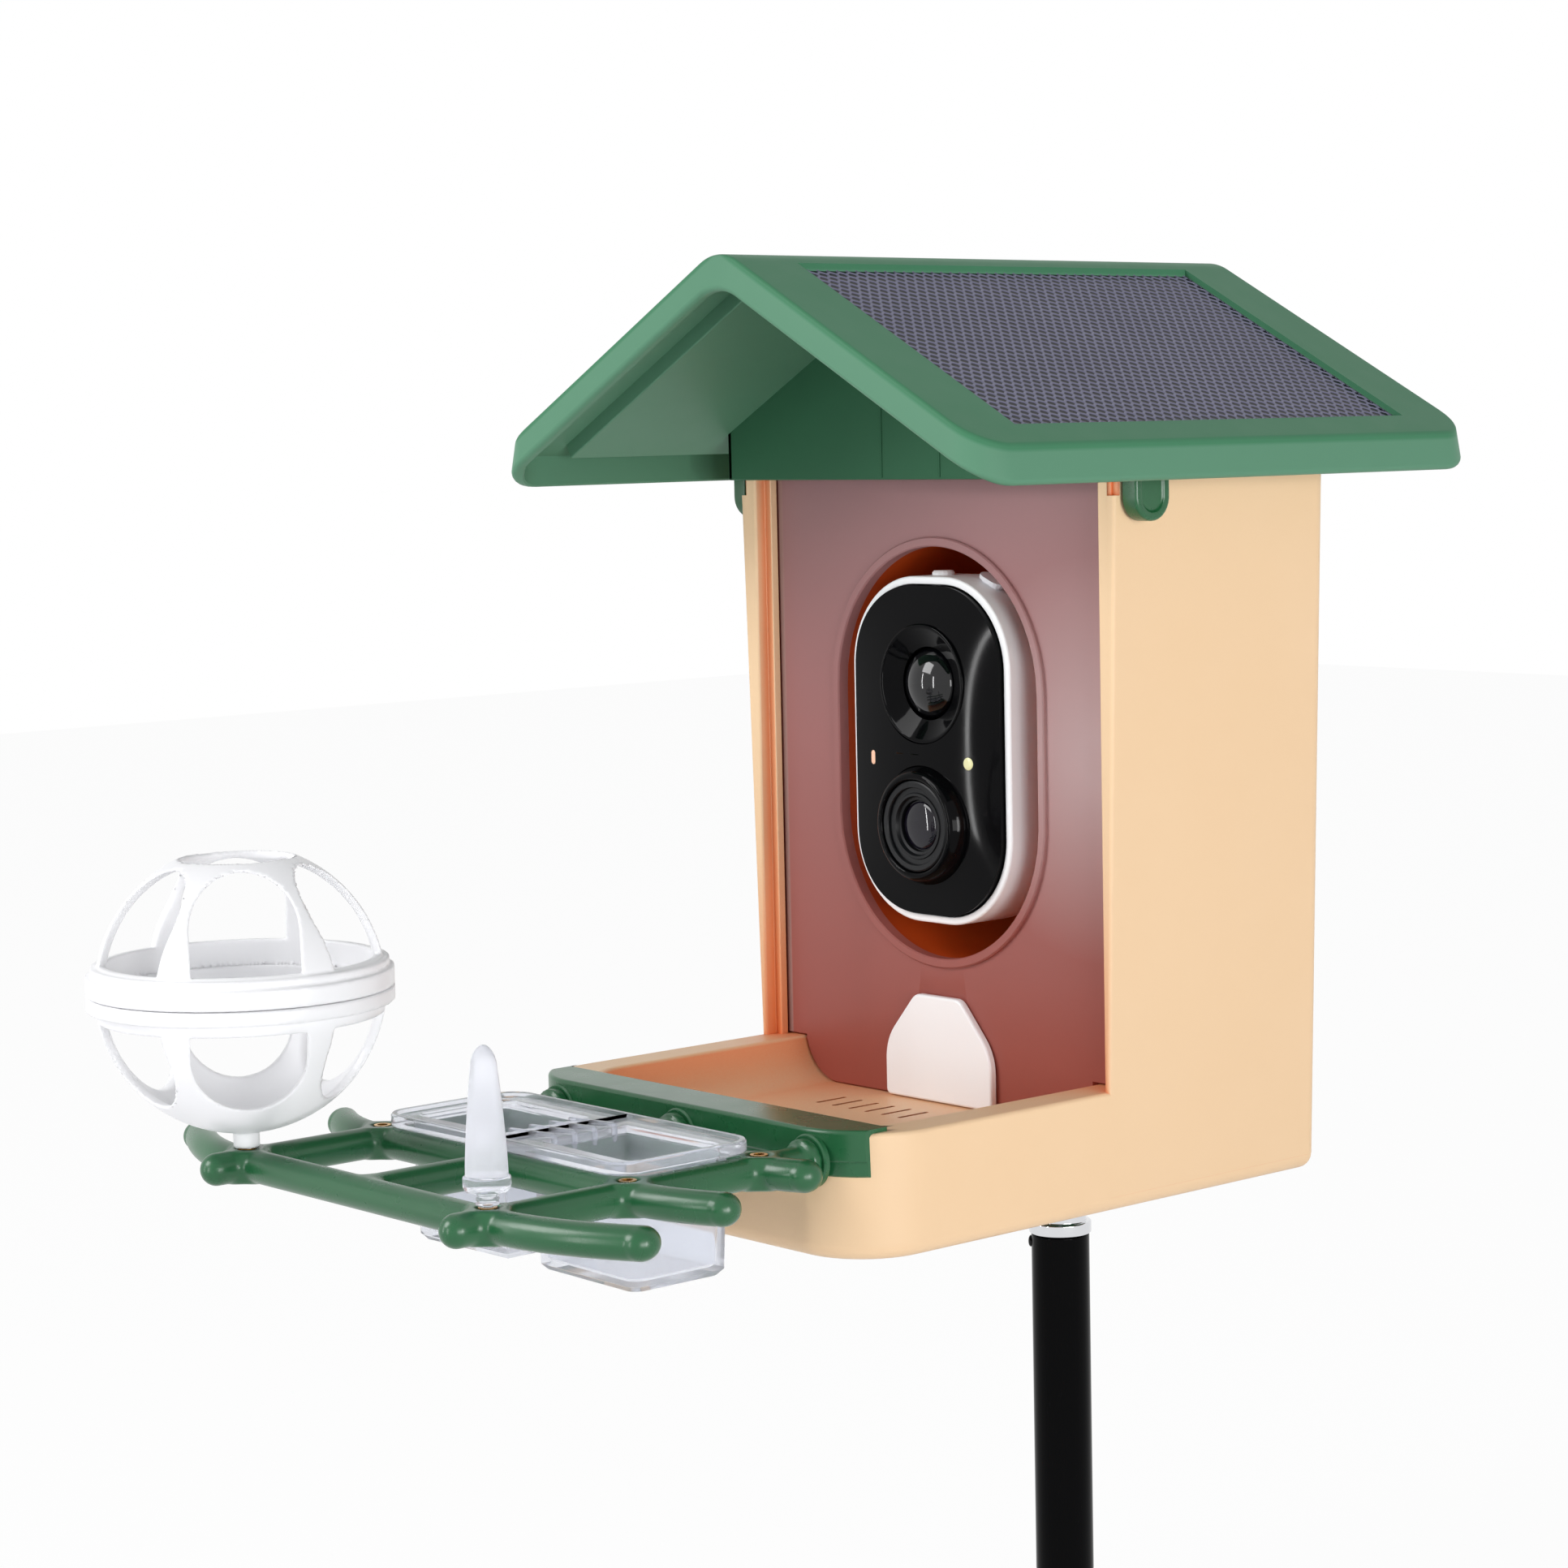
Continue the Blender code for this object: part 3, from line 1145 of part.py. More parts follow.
def camera_battery():
    """Flat battery in the back of the shell, its face against the board."""
    y = CAM_Y + BOARD_DEPTH + BOARD_THICK + GAP
    outline = oval(BATTERY_HALF_WIDTH, BATTERY_HALF_HEIGHT, BATTERY_CORNER, (0, CAM_Z), 3)
    return prism("camera_battery", outline, "Y", y, y + BATTERY_THICK, grey())


def power_button():
    """Round button on the camera's top, kept in by a flange under the shell."""
    y = CAM_Y + TOP_FITTING_DEPTH
    top = CAM_Z + CAM_HALF_HEIGHT + BUTTON_PROUD
    under = CAM_Z + CAM_HALF_HEIGHT - CAM_WALL - BUTTON_SEAT
    radius = BUTTON_DIAMETER / 2
    profile = [(0, under - BUTTON_FLANGE), (radius + BUTTON_FLANGE, under - BUTTON_FLANGE),
               (radius + BUTTON_FLANGE, under),
               (radius, under), (radius, top - COLLAR_EDGE), (radius - COLLAR_EDGE, top), (0, top)]
    return turned("power_button", profile, (BUTTON_X, y, 0), steps=16, finish=white())


def port_plug():
    """Soft plug over the charging socket: a thin cap with a stem through the shell."""
    item = plug_solid("port_plug", 0, PLUG_LIFT, PLUG_LIFT + PLUG_PROUD, white())
    return join(item, plug_solid("add_plug_stem", -PLUG_STEP, -CAM_WALL, PLUG_LIFT + FUSE))


def camera_dock():
    """Post on the bay's back wall that the camera pushes on to."""
    radius = DOCK_DIAMETER / 2
    cup = DOCK_CUP_DIAMETER / 2
    flange = DOCK_FLANGE_DIAMETER / 2
    back = -(WALL_BACK - WALL - GAP - BAY_BACK - GAP)
    front = -(CAM_BACK + GAP)
    profile = [(0, back), (flange, back), (flange, back + DOCK_FLANGE), (radius, back + DOCK_FLANGE),
               (radius, front - DOCK_CUP), (cup, front - DOCK_CUP * 0.6), (cup, front), (0, front)]
    return turned("camera_dock", profile, (0, 0, CAM_Z), "Y", 24, black())


def slope_point(x, depth, side=1):
    """A point under the roof's outer slope: how far out along X, and how deep square to the slope."""
    z = RIDGE_Z - math.tan(SLOPE) * x
    return (side * (x - depth * math.sin(SLOPE)), z - depth * math.cos(SLOPE))


def slope_slab(name, x_low, x_high, depth_low, depth_high, front, back, side, finish=None):
    """A slab that lies along one slope between two depths, its ends square to the slope."""
    corners = [slope_point(x_low, depth_low, side), slope_point(x_high, depth_low, side),
               slope_point(x_high, depth_high, side), slope_point(x_low, depth_high, side)]
    return prism(name, corners, "Y", front, back, finish)


def roof_plan(name, inset, low, high):
    """Upright block of the roof's plan, with rounded corners."""
    corner = ROOF_PLAN_CORNER - inset
    outline = rounded_box(ROOF_HALF_WIDTH - inset, ROOF_FRONT + inset, ROOF_BACK - inset, corner, corner, 6)
    return skin(name, [[(x, y, z) for x, y in outline] for z in (low, high)])


def roof_section():
    """Cross-section of the roof's rim: rounded ridge, sloping sides, upright eaves."""
    half = ROOF_HALF_WIDTH
    lip = ROOF_LIP / math.cos(SLOPE)
    inner = half - ROOF_LIP_WIDTH
    foot_inner = max(RIDGE_Z - lip - math.tan(SLOPE) * inner, EAVE_FOOT_Z + EAVE_FOOT_RADIUS)
    corners = [(0, RIDGE_Z), (-half, EAVE_Z), (-half, EAVE_FOOT_Z), (-inner, EAVE_FOOT_Z),
               (-inner, foot_inner),
               (0, RIDGE_Z - lip), (inner, foot_inner), (inner, EAVE_FOOT_Z), (half, EAVE_FOOT_Z),
               (half, EAVE_Z)]
    radii = [RIDGE_RADIUS, EAVE_RADIUS, EAVE_FOOT_RADIUS, 0, 0, INNER_RIDGE_RADIUS, 0, 0, EAVE_FOOT_RADIUS,
             EAVE_RADIUS]
    return rounded(corners, radii, 6)


def roof_shell():
    """Saddle roof with rounded rim, a pocket in each slope for a solar panel, and a collar over the walls."""
    front = ROOF_FRONT - OVERRUN
    back = ROOF_BACK + OVERRUN
    item = prism("roof_shell", roof_section(), "Y", front, back, green())
    combine(item, roof_plan("keep_roof_plan", 0, EAVE_FOOT_Z - OVERRUN, RIDGE_Z + OVERRUN), "INTERSECT")
    skin_depth = ROOF_SKIN / math.cos(SLOPE)
    half = ROOF_HALF_WIDTH + OVERRUN
    under = [(0, RIDGE_Z - skin_depth), (-half, RIDGE_Z - skin_depth - math.tan(SLOPE) * half),
             (-half, EAVE_FOOT_Z - OVERRUN), (half, EAVE_FOOT_Z - OVERRUN),
             (half, RIDGE_Z - skin_depth - math.tan(SLOPE) * half)]
    hollow = prism("cut_roof_hollow", rounded(under, [INNER_RIDGE_RADIUS, 0, 0, 0, 0], 6), "Y", front, back)
    combine(hollow, roof_plan("keep_hollow_plan", ROOF_LIP_WIDTH, EAVE_FOOT_Z - OVERRUN * 2,
                              RIDGE_Z + OVERRUN), "INTERSECT")
    cut(item, hollow)
    for side, tag in ((1, "right"), (-1, "left")):
        join(item, slope_slab(f"add_pocket_{tag}", SOLAR_INNER_X - POCKET_MARGIN,
                              SOLAR_OUTER_X + POCKET_MARGIN, ROOF_SKIN - FUSE, POCKET_DEPTH,
                              solar_front() - POCKET_MARGIN, solar_back() + POCKET_MARGIN, side))
    collar_walls(item)
    hinge_knuckles(item)
    for side, tag in ((1, "right"), (-1, "left")):
        cut(item, slope_slab(f"cut_solar_{tag}", SOLAR_INNER_X, SOLAR_OUTER_X, -OVERRUN,
                             SOLAR_RECESS + SOLAR_THICK + GAP,
                             solar_front(), solar_back(), side))
    return item


def solar_front():
    return WALL_FRONT - SOLAR_FRONT


def solar_back():
    return WALL_BACK + SOLAR_BACK


def collar_outline(half, foot):
    """Front view of the wall under the roof: square at its foot, and up into the two slopes and the ridge."""
    peak = RIDGE_Z - ROOF_SKIN * 0.5 / math.cos(SLOPE)
    shoulder = peak - math.tan(SLOPE) * half
    corners = [(-half, foot), (half, foot), (half, shoulder), (0, peak), (-half, shoulder)]
    return rounded(corners, [0, 0, 0, RIDGE_RADIUS, 0], 6)


def collar_walls(item):
    """Gable wall in front, side walls outside the housing and a rear wall over the hinge."""
    half = half_width_at(BODY_TOP) + GAP + COLLAR_WALL
    front = WALL_FRONT - GAP - COLLAR_WALL
    back = WALL_BACK + GAP + COLLAR_WALL
    join(item, prism("add_gable", collar_outline(half, COLLAR_Z), "Y", front, WALL_FRONT - GAP))
    join(item, prism("add_rear_wall", collar_outline(half, HINGE_Z + REAR_WALL_LIFT), "Y", WALL_BACK + GAP,
                     back))
    roof_under = RIDGE_Z - ROOF_SKIN * 0.5 / math.cos(SLOPE) - math.tan(SLOPE) * half
    window = (WALL_FRONT + LATCH_FRONT - GAP, WALL_FRONT + LATCH_FRONT + LATCH_WIDTH + GAP)
    for side, tag in ((1, "right"), (-1, "left")):
        xs = sorted((side * (half - COLLAR_WALL), side * half))
        join(item, box(f"add_collar_{tag}", (xs[0], front, COLLAR_Z), (xs[1], back, roof_under)))
        out = sorted((side * (half - COLLAR_WALL - OVERRUN), side * (half + OVERRUN)))
        cut(item, box(f"cut_latch_window_{tag}", (out[0], window[0], COLLAR_Z - OVERRUN),
                      (out[1], window[1], LATCH_TOP + GAP)))
    for x in (-GABLE_GROOVE_X, GABLE_GROOVE_X):
        tag = "right" if x > 0 else "left"
        low = (x - GABLE_GROOVE / 2, front - OVERRUN, COLLAR_Z - OVERRUN)
        high = (x + GABLE_GROOVE / 2, front + GABLE_GROOVE, RIDGE_Z - RIDGE_RADIUS)
        cut(item, box(f"cut_gable_groove_{tag}", low, high))


def hinge_knuckles(item):
    """Two knuckles behind the rear wall, between the housing's lugs."""
    radius = KNUCKLE_RADIUS
    half = KNUCKLE_WIDTH / 2
    rise = HINGE_Z + REAR_WALL_LIFT + radius
    start = WALL_BACK + GAP + COLLAR_WALL - FUSE
    outline = [(start, rise), (start, HINGE_Z + REAR_WALL_LIFT)]
    outline += [(HINGE_Y + radius * math.cos(a), HINGE_Z + radius * math.sin(a))
                for a in (math.radians(165 + 25 * i) for i in range(10))]
    bore = PIN_DIAMETER / 2 + GAP
    for side, tag in ((1, "right"), (-1, "left")):
        centre = side * HINGE_X
        join(item, prism(f"add_knuckle_{tag}", outline, "X", centre - half, centre + half))
        ends = (centre - half - OVERRUN / 2, centre + half + OVERRUN / 2)
        profile = [(0, ends[0]), (bore, ends[0]), (bore, ends[1]), (0, ends[1])]
        cut(item, turned(f"cut_knuckle_bore_{tag}", profile, (0, HINGE_Y, HINGE_Z), "X", 12))


def hinge_pin(side):
    """Plain pin with one head, through a pair of lugs and the knuckle between them."""
    tag = "right" if side > 0 else "left"
    reach = KNUCKLE_WIDTH / 2 + GAP + LUG_THICK
    centre = side * HINGE_X
    head = PIN_HEAD_DIAMETER / 2
    radius = PIN_DIAMETER / 2
    end = reach + GAP
    profile = [(0, -reach), (radius, -reach), (radius, end), (head, end), (head, end + PIN_HEAD),
               (0, end + PIN_HEAD)]
    item = turned(f"hinge_pin_{tag}", [(r, side * h) for r, h in profile], (0, 0, 0), "X", 12, steel())
    item.location = (centre, HINGE_Y, HINGE_Z)
    return item


def solar_panel(side):
    """Solar panel in its pocket, a little below the roof's face."""
    tag = "right" if side > 0 else "left"
    return slope_slab(f"solar_panel_{tag}", SOLAR_INNER_X + GAP, SOLAR_OUTER_X - GAP, SOLAR_RECESS,
                      SOLAR_RECESS + SOLAR_THICK, solar_front() + GAP, solar_back() - GAP, side, solar())


def latch_frame():
    """Places of a latch: its inner face and its front."""
    inner = half_width_at(LATCH_TOP) + GAP
    return inner, WALL_FRONT + LATCH_FRONT


def roof_latch(side):
    """Tongue that hangs from the roof's collar; a thumb pulls its dished face outwards to let the roof go."""
    tag = "right" if side > 0 else "left"
    inner, front = latch_frame()
    half = LATCH_WIDTH / 2
    middle = front + half
    foot = LATCH_FOOT
    top = LATCH_TOP
    corners = [(middle - half, foot), (middle + half, foot), (middle + half, top), (middle - half, top)]
    outline = rounded(corners, [half, half, 0, 0], 8)
    xs = sorted((side * inner, side * (inner + LATCH_THICK)))
    item = prism(f"roof_latch_{tag}", outline, "X", xs[0], xs[1], green())
    face = side * (inner + LATCH_THICK)
    dish_z = foot + LATCH_DISH_RADIUS + FRONT_EDGE
    deep = LATCH_DISH_RADIUS
    ball = bmesh.new()
    place = Matrix.Translation((face, middle, dish_z + deep * 0.3))
    shape = Matrix.Diagonal((LATCH_DISH, deep, deep * 1.3, 1))
    bmesh.ops.create_uvsphere(ball, u_segments=12, v_segments=8, radius=1.0, matrix=place @ shape)
    return cut(item, add_object(f"cut_latch_dish_{tag}", ball))


def tray_bracket():
    """Green band clipped over the tray's front edge, with three holes for the perch plugs."""
    back = TRAY_FRONT + RIM_WIDTH_FRONT - GAP
    foot = BRACKET_TOP - BRACKET_DROP
    plate = BRACKET_TOP - BRACKET_PLATE
    item = band("tray_bracket", BRACKET_FRONT, BRACKET_CUT_X, back, plate, BRACKET_TOP, green())
    step = BRACKET_TOP - BRACKET_STEP_DROP
    join(item, apron("add_apron_high", BRACKET_FRONT, apron_depth(), step, BRACKET_TOP - BRACKET_PLATE / 2,
                     BRACKET_CUT_X))
    join(item, apron("add_apron_low", BRACKET_FRONT + BRACKET_STEP, apron_depth(), foot, step + FUSE,
                     BRACKET_CUT_X))
    bore = ROD_PLUG_DIAMETER / 2 + PLUG_CLEARANCE
    for i, x in enumerate((-ROD_SPACING_X, 0, ROD_SPACING_X)):
        low = -(apron_depth() + OVERRUN)
        high = -(BRACKET_FRONT - OVERRUN)
        cut(item, turned(f"cut_bracket_hole_{i + 1}", [(0, low), (bore, low), (bore, high), (0, high)],
                         (x, 0, ROD_Z), "Y", 12))
    return item


def swept_path(y, out, back):
    """Straight between the outer lines, then back towards the housing along a parabola at each end."""
    reach = out - ROD_RADIUS
    shares = (0.0, 0.3, 0.6, 0.8, 1.0)
    right = [(ROD_SPACING_X + reach * s, y + back * s * s, ROD_Z) for s in shares]
    return [(-x, yy, z) for x, yy, z in reversed(right)] + right


def perch_frame():
    """Grid of round rods in one moulding: three rows across, three bars that plug into the tray bracket."""
    rods = [rod(f"add_row_{i + 1}", swept_path(y, SWEEP_OUT[i], SWEEP_BACK[i]), ROD_RADIUS)
            for i, y in enumerate(ROW_YS)]
    end = BRACKET_FRONT - GAP - ROD_RADIUS - FUSE
    tip = FRONT_ROW_Y - ROD_TIP_REACH + ROD_RADIUS
    starts = (("left", -ROD_SPACING_X, tip), ("middle", 0, FRONT_ROW_Y), ("right", ROD_SPACING_X, tip))
    bars = [rod(f"add_bar_{tag}", [(x, start, ROD_Z), (x, end, ROD_Z)], ROD_RADIUS)
            for tag, x, start in starts]
    item = rods[0]
    item.name = "perch_frame"
    item.data.name = "perch_frame"
    item.data.materials.append(green())
    item.hide_render = False
    item.display_type = "TEXTURED"
    join(item, *rods[1:], *bars)
    flare = FLARE_DIAMETER / 2
    plug = ROD_PLUG_DIAMETER / 2
    stop = BRACKET_FRONT - GAP
    for i, x in enumerate((-ROD_SPACING_X, 0, ROD_SPACING_X)):
        deep = BRACKET_FRONT + ROD_PLUG_LENGTH
        profile = [(0, -deep), (plug, -deep), (plug, -stop), (flare, -stop), (flare, -(stop - FLARE_LENGTH)),
                   (ROD_RADIUS * 0.7, -(stop - FLARE_LENGTH * 2)), (0, -(stop - FLARE_LENGTH * 2))]
        join(item, turned(f"add_plug_{i + 1}", profile, (x, 0, ROD_Z), "Y", 18))
    ring = BOSS_RING_DIAMETER / 2
    foot = ROD_Z - ROD_RADIUS * 0.9
    room = INSERT_DIAMETER / 2 + GAP
    for i, (x, y) in enumerate(insert_places()):
        profile = [(0, foot), (ring * 0.85, foot), (ring, foot + COLLAR_EDGE * 2),
                   (ring, ROD_TOP_Z - COLLAR_EDGE * 2),
                   (ring * 0.8, ROD_TOP_Z), (0, ROD_TOP_Z)]
        join(item, turned(f"add_ring_{i + 1}", profile, (x, y, 0), steps=18))
        deep = ROD_TOP_Z - INSERT_LENGTH - GAP
        hole = [(0, deep), (room, deep), (room, ROD_TOP_Z + OVERRUN), (0, ROD_TOP_Z + OVERRUN)]
        cut(item, turned(f"cut_insert_{i + 1}", hole, (x, y, 0), steps=12))
    return item


def insert_places():
    """The six crossings of the outer bars with the rows, front row first."""
    return [(side * ROD_SPACING_X, y) for y in ROW_YS for side in (-1, 1)]


def perch_insert(index, place):
    """Threaded brass insert that takes a holder's pin."""
    radius = INSERT_DIAMETER / 2
    bore = INSERT_BORE / 2
    low = ROD_TOP_Z - INSERT_LENGTH
    profile = [(bore, low), (radius, low), (radius, ROD_TOP_Z), (bore, ROD_TOP_Z)]
    return turned(f"perch_insert_{index}", profile, (*place, 0), steps=12, finish=brass())


def cup_places():
    """Outer walls of the two cups: X from and to, with the bar of the frame between them."""
    inner = ROD_RADIUS + CUP_CLEARANCE
    outer = ROD_SPACING_X - ROD_RADIUS - CUP_CLEARANCE / 2
    return ((-outer, -inner), (inner, outer))


def double_cup():
    """Two clear square cups under one flanged rim, hung between the rods, with teeth along the bridge."""
    front = ROW_YS[1] - CUP_RIM_OVER_FRONT
    back = ROW_YS[2] + CUP_RIM_OVER_BACK
    foot = ROD_TOP_Z + GAP
    top = foot + CUP_RIM_THICK
    half = CUP_RIM_HALF_LENGTH
    item = prism("double_cup", rounded_box(half, front, back, CUP_RIM_CORNER, CUP_RIM_CORNER, 5), "Z", foot,
                 top, clear())
    lip = rounded_box(half, front, back, CUP_RIM_CORNER, CUP_RIM_CORNER, 5)
    inner = rounded_box(half - CUP_LIP_WIDTH, front + CUP_LIP_WIDTH, back - CUP_LIP_WIDTH,
                        CUP_RIM_CORNER - CUP_LIP_WIDTH,
                        CUP_RIM_CORNER - CUP_LIP_WIDTH, 5)
    ring = prism("add_cup_lip", lip, "Z", top - FUSE, top + CUP_LIP)
    cut(ring, prism("cut_cup_lip", inner, "Z", top - OVERRUN, top + CUP_LIP + OVERRUN))
    join(item, ring)
    y_low = ROW_YS[1] + ROD_RADIUS + CUP_CLEARANCE / 2
    y_high = ROW_YS[2] - ROD_RADIUS - CUP_CLEARANCE / 2
    for tag, (x_low, x_high) in zip(("left", "right"), cup_places()):
        def plan(z, inset, corner):
            corners = [(x_low + inset, y_low + inset), (x_high - inset, y_low + inset),
                       (x_high - inset, y_high - inset), (x_low + inset, y_high - inset)]
            return [(x, y, z) for x, y in rounded(corners, [corner] * 4, 3)]

        join(item, skin(f"add_cup_{tag}",
                        [plan(foot - CUP_DEPTH, CUP_TAPER, CUP_CORNER), plan(top - FUSE, 0, CUP_CORNER)]))
        cut(item, skin(f"cut_cup_{tag}",
                       [plan(foot - CUP_DEPTH + CUP_WALL, CUP_TAPER + CUP_WALL, CUP_CORNER - CUP_WALL * 0.5),
                                          plan(top + OVERRUN, CUP_WALL, CUP_CORNER - CUP_WALL * 0.5)]))
    pitch = (y_high - y_low) / (TOOTH_COUNT + 1)
    radius = TOOTH_DIAMETER / 2
    for i in range(TOOTH_COUNT):
        y = y_low + pitch * (i + 1)
        x = cup_places()[1][0] + CUP_WALL + radius * 0.4
        profile = [(0, top - TOOTH_LENGTH), (radius * 0.7, top - TOOTH_LENGTH),
                   (radius, top - TOOTH_LENGTH * 0.7),
                   (radius, top + BRIDGE_RIB_RISE * 0.5), (0, top + BRIDGE_RIB_RISE * 0.5)]
        join(item, turned(f"add_tooth_{i + 1}", profile, (x, y, 0), steps=8))
        rib = (cup_places()[0][1] - CUP_WALL, cup_places()[1][0] + CUP_WALL)
        lean = pitch * 0.45
        half_rib = BRIDGE_RIB / 2
        outline = [(rib[0], y - half_rib - lean), (rib[1], y - half_rib), (rib[1], y + half_rib),
                   (rib[0], y + half_rib - lean)]
        join(item, prism(f"add_bridge_rib_{i + 1}", outline, "Z", top - FUSE, top + BRIDGE_RIB_RISE))
    return item


def fruit_spike():
    """Clear spike on a ribbed neck and collar, screwed into the front right insert."""
    x, y = ROD_SPACING_X, FRONT_ROW_Y
    base = ROD_TOP_Z + GAP
    collar_low = base + SPIKE_NECK
    collar_top = collar_low + SPIKE_COLLAR
    tip = base + SPIKE_TIP
    neck = SPIKE_NECK_DIAMETER / 2
    collar = SPIKE_COLLAR_DIAMETER / 2
    pin = HOLDER_PIN_DIAMETER / 2
    profile = [(0, base - HOLDER_PIN_LENGTH), (pin, base - HOLDER_PIN_LENGTH), (pin, base)]
    profile += threaded(neck, base, collar_low)
    profile += [(collar - COLLAR_EDGE * 2, collar_low), (collar, collar_low + COLLAR_EDGE * 2),
                (collar, collar_top - COLLAR_EDGE), (collar - COLLAR_EDGE, collar_top), (0, collar_top)]
    item = turned("fruit_spike", profile, (0, 0, 0), steps=20, finish=clear())
    rows = []
    shares = ((0.0, 1.0), (0.25, 0.92), (0.55, 0.76), (0.85, 0.55), (0.95, SPIKE_TIP_SHARE),
              (1.0, SPIKE_TIP_SHARE * 0.5))
    for rise_share, width_share in shares:
        z = collar_top - FUSE + (tip - collar_top + FUSE) * rise_share
        a, b = SPIKE_BLADE_HALF_WIDTH * width_share, SPIKE_BLADE_HALF_DEPTH * width_share
        rows.append([(a * math.cos(t), b * math.sin(t), z)
                     for t in (2 * math.pi * k / 16 for k in range(16))])
    join(item, skin("add_blade", rows))
    item.location = (x, y, 0)
    item.modifiers[0].object.location = (x, y, 0)
    item.modifiers[0].object.rotation_euler = (0, 0, math.radians(40))
    item.rotation_euler = (0, 0, math.radians(40))
    return item


def sphere_arc(radius, low, high, count):
    """Profile points on a circle about the ball's centre between two heights."""
    start, end = math.asin(low / radius), math.asin(high / radius)
    turns = [start + (end - start) * i / (count - 1) for i in range(count)]
    return [(radius * math.cos(a), BALL_Z + radius * math.sin(a)) for a in turns]


def window(name, low, high, half, arch_up):
    """Six arched cutters, spaced evenly round the ball, as one helper each."""
    cutters = []
    inner = BALL_HOLE_RADIUS * 0.55
    outer = BALL_RADIUS + OVERRUN * 3
    corners = [(-half, low), (half, low), (half, high), (-half, high)]
    radii = [0, 0, half * 0.96, half * 0.96] if arch_up else [half * 0.96, half * 0.96, 0, 0]
    outline = rounded(corners, radii, 4)
    for i in range(BALL_WINDOWS):
        turn = Matrix.Rotation(2 * math.pi * i / BALL_WINDOWS, 3, "Z")
        rings = [[turn @ Vector((a, r, z)) + Vector((-ROD_SPACING_X, FRONT_ROW_Y, 0)) for a, z in outline]
                 for r in (inner, outer)]
        cutters.append(skin(f"{name}_{i + 1}", rings))
    return cutters


def ball_base():
    """Lower bowl of the ball feeder: six ribs, a flange round its mouth and a threaded stub."""
    inner = BALL_RADIUS - BALL_WALL
    stub = BALL_STUB_DIAMETER / 2
    base = ROD_TOP_Z + GAP
    pin = HOLDER_PIN_DIAMETER / 2
    foot = -math.sqrt(BALL_RADIUS ** 2 - stub ** 2)
    rim = -BALL_FLANGE_LOW
    profile = [(0, base - HOLDER_PIN_LENGTH), (pin, base - HOLDER_PIN_LENGTH), (pin, base), (stub, base)]
    profile += sphere_arc(BALL_RADIUS, foot, rim - BALL_FLANGE_LOW * 0.3, 9)
    profile += [(BALL_FLANGE_RADIUS, BALL_Z + rim), (BALL_FLANGE_RADIUS, BALL_Z - GAP / 2),
                (inner, BALL_Z - GAP / 2)]
    profile += list(reversed(sphere_arc(inner, -inner * 0.995, rim, 9))) + [(0, BALL_Z - inner)]
    item = turned("ball_base", profile, (-ROD_SPACING_X, FRONT_ROW_Y, 0), steps=36, finish=white())
    half = (2 * math.pi * BALL_RADIUS / BALL_WINDOWS - BALL_LOW_RIB) / 2 * 0.92
    return cut(item, *window("cut_low_window", BALL_Z - BALL_LOW_WINDOW_FOOT, BALL_Z - BALL_FLANGE_LOW * 1.8,
                             half, False))


def ball_dome():
    """Upper dome of the ball feeder: a round mouth, six ribs and a stepped flange that keys on the bowl."""
    inner = BALL_RADIUS - BALL_WALL
    low = BALL_Z + GAP / 2
    top = math.sqrt(BALL_RADIUS ** 2 - BALL_HOLE_RADIUS ** 2)
    inner_top = math.sqrt(inner ** 2 - (BALL_HOLE_RADIUS - GAP) ** 2)
    spigot = BALL_SPIGOT_RADIUS - GAP
    profile = [(spigot, low - BALL_SPIGOT), (inner - GAP, low - BALL_SPIGOT), (inner - GAP, low),
               (BALL_FLANGE_RADIUS, low),
               (BALL_FLANGE_RADIUS, low + BALL_FLANGE_HIGH - BALL_STEP),
               (BALL_STEP_RADIUS, low + BALL_FLANGE_HIGH - BALL_STEP),
               (BALL_STEP_RADIUS - GAP, low + BALL_FLANGE_HIGH)]
    profile += sphere_arc(BALL_RADIUS, BALL_FLANGE_HIGH, top, 9)
    profile += list(reversed(sphere_arc(inner, BALL_FLANGE_HIGH * 0.6, inner_top, 9)))
    profile += [(spigot - BALL_WALL * 0.4, low), (spigot - BALL_WALL * 0.4, low - BALL_SPIGOT)]
    item = turned("ball_dome", profile, (-ROD_SPACING_X, FRONT_ROW_Y, 0), steps=36, finish=white())
    half = (2 * math.pi * BALL_RADIUS / BALL_WINDOWS - BALL_HIGH_RIB) / 2 * 0.92
    return cut(item, *window("cut_high_window", BALL_Z + BALL_FLANGE_HIGH * 1.1,
                             BALL_Z + BALL_HIGH_WINDOW_TOP, half, True))


def build():
    clear_scene()
    pole_spigot()
    pole_tube()
    pole_rivet()
    pole_collar()
    pole_stud()
    mount_adapter()
    adapter_insert()
    for i, place in enumerate(screw_places()):
        adapter_screw(i + 1, place)
    housing_shell()
    hopper_floor()
    camera_bay()
    front_panel()
    seed_gate()
    camera_dock()
    camera_shell()
    camera_cover()
    pir_bezel()
    pir_lens()
    lens_housing()
    lens_barrel()
    lens_glass()
    camera_lamp("status_light", lamp_places()[0], white())
    camera_lamp("spot_light", lamp_places()[1], white())
    camera_board()
    camera_battery()
    power_button()
    port_plug()
    roof_shell()
    for side in (1, -1):
        solar_panel(side)
        roof_latch(side)
        hinge_pin(side)
    tray_bracket()
    perch_frame()
    for i, place in enumerate(insert_places()):
        perch_insert(i + 1, place)
    double_cup()
    fruit_spike()
    ball_base()
    ball_dome()


build()
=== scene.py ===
# %% [markdown]
# # A bird feeder with a camera, dressed for its portrait
#
# The CAD model already says where every piece is and how it moves. This lesson gives each visible piece
# its real surface. Most pieces are grids of points worked out with numpy, because a grid shows how a
# shape follows from a few sizes. Every piece then rides on a body of the CAD model, so it moves as the
# real one does.

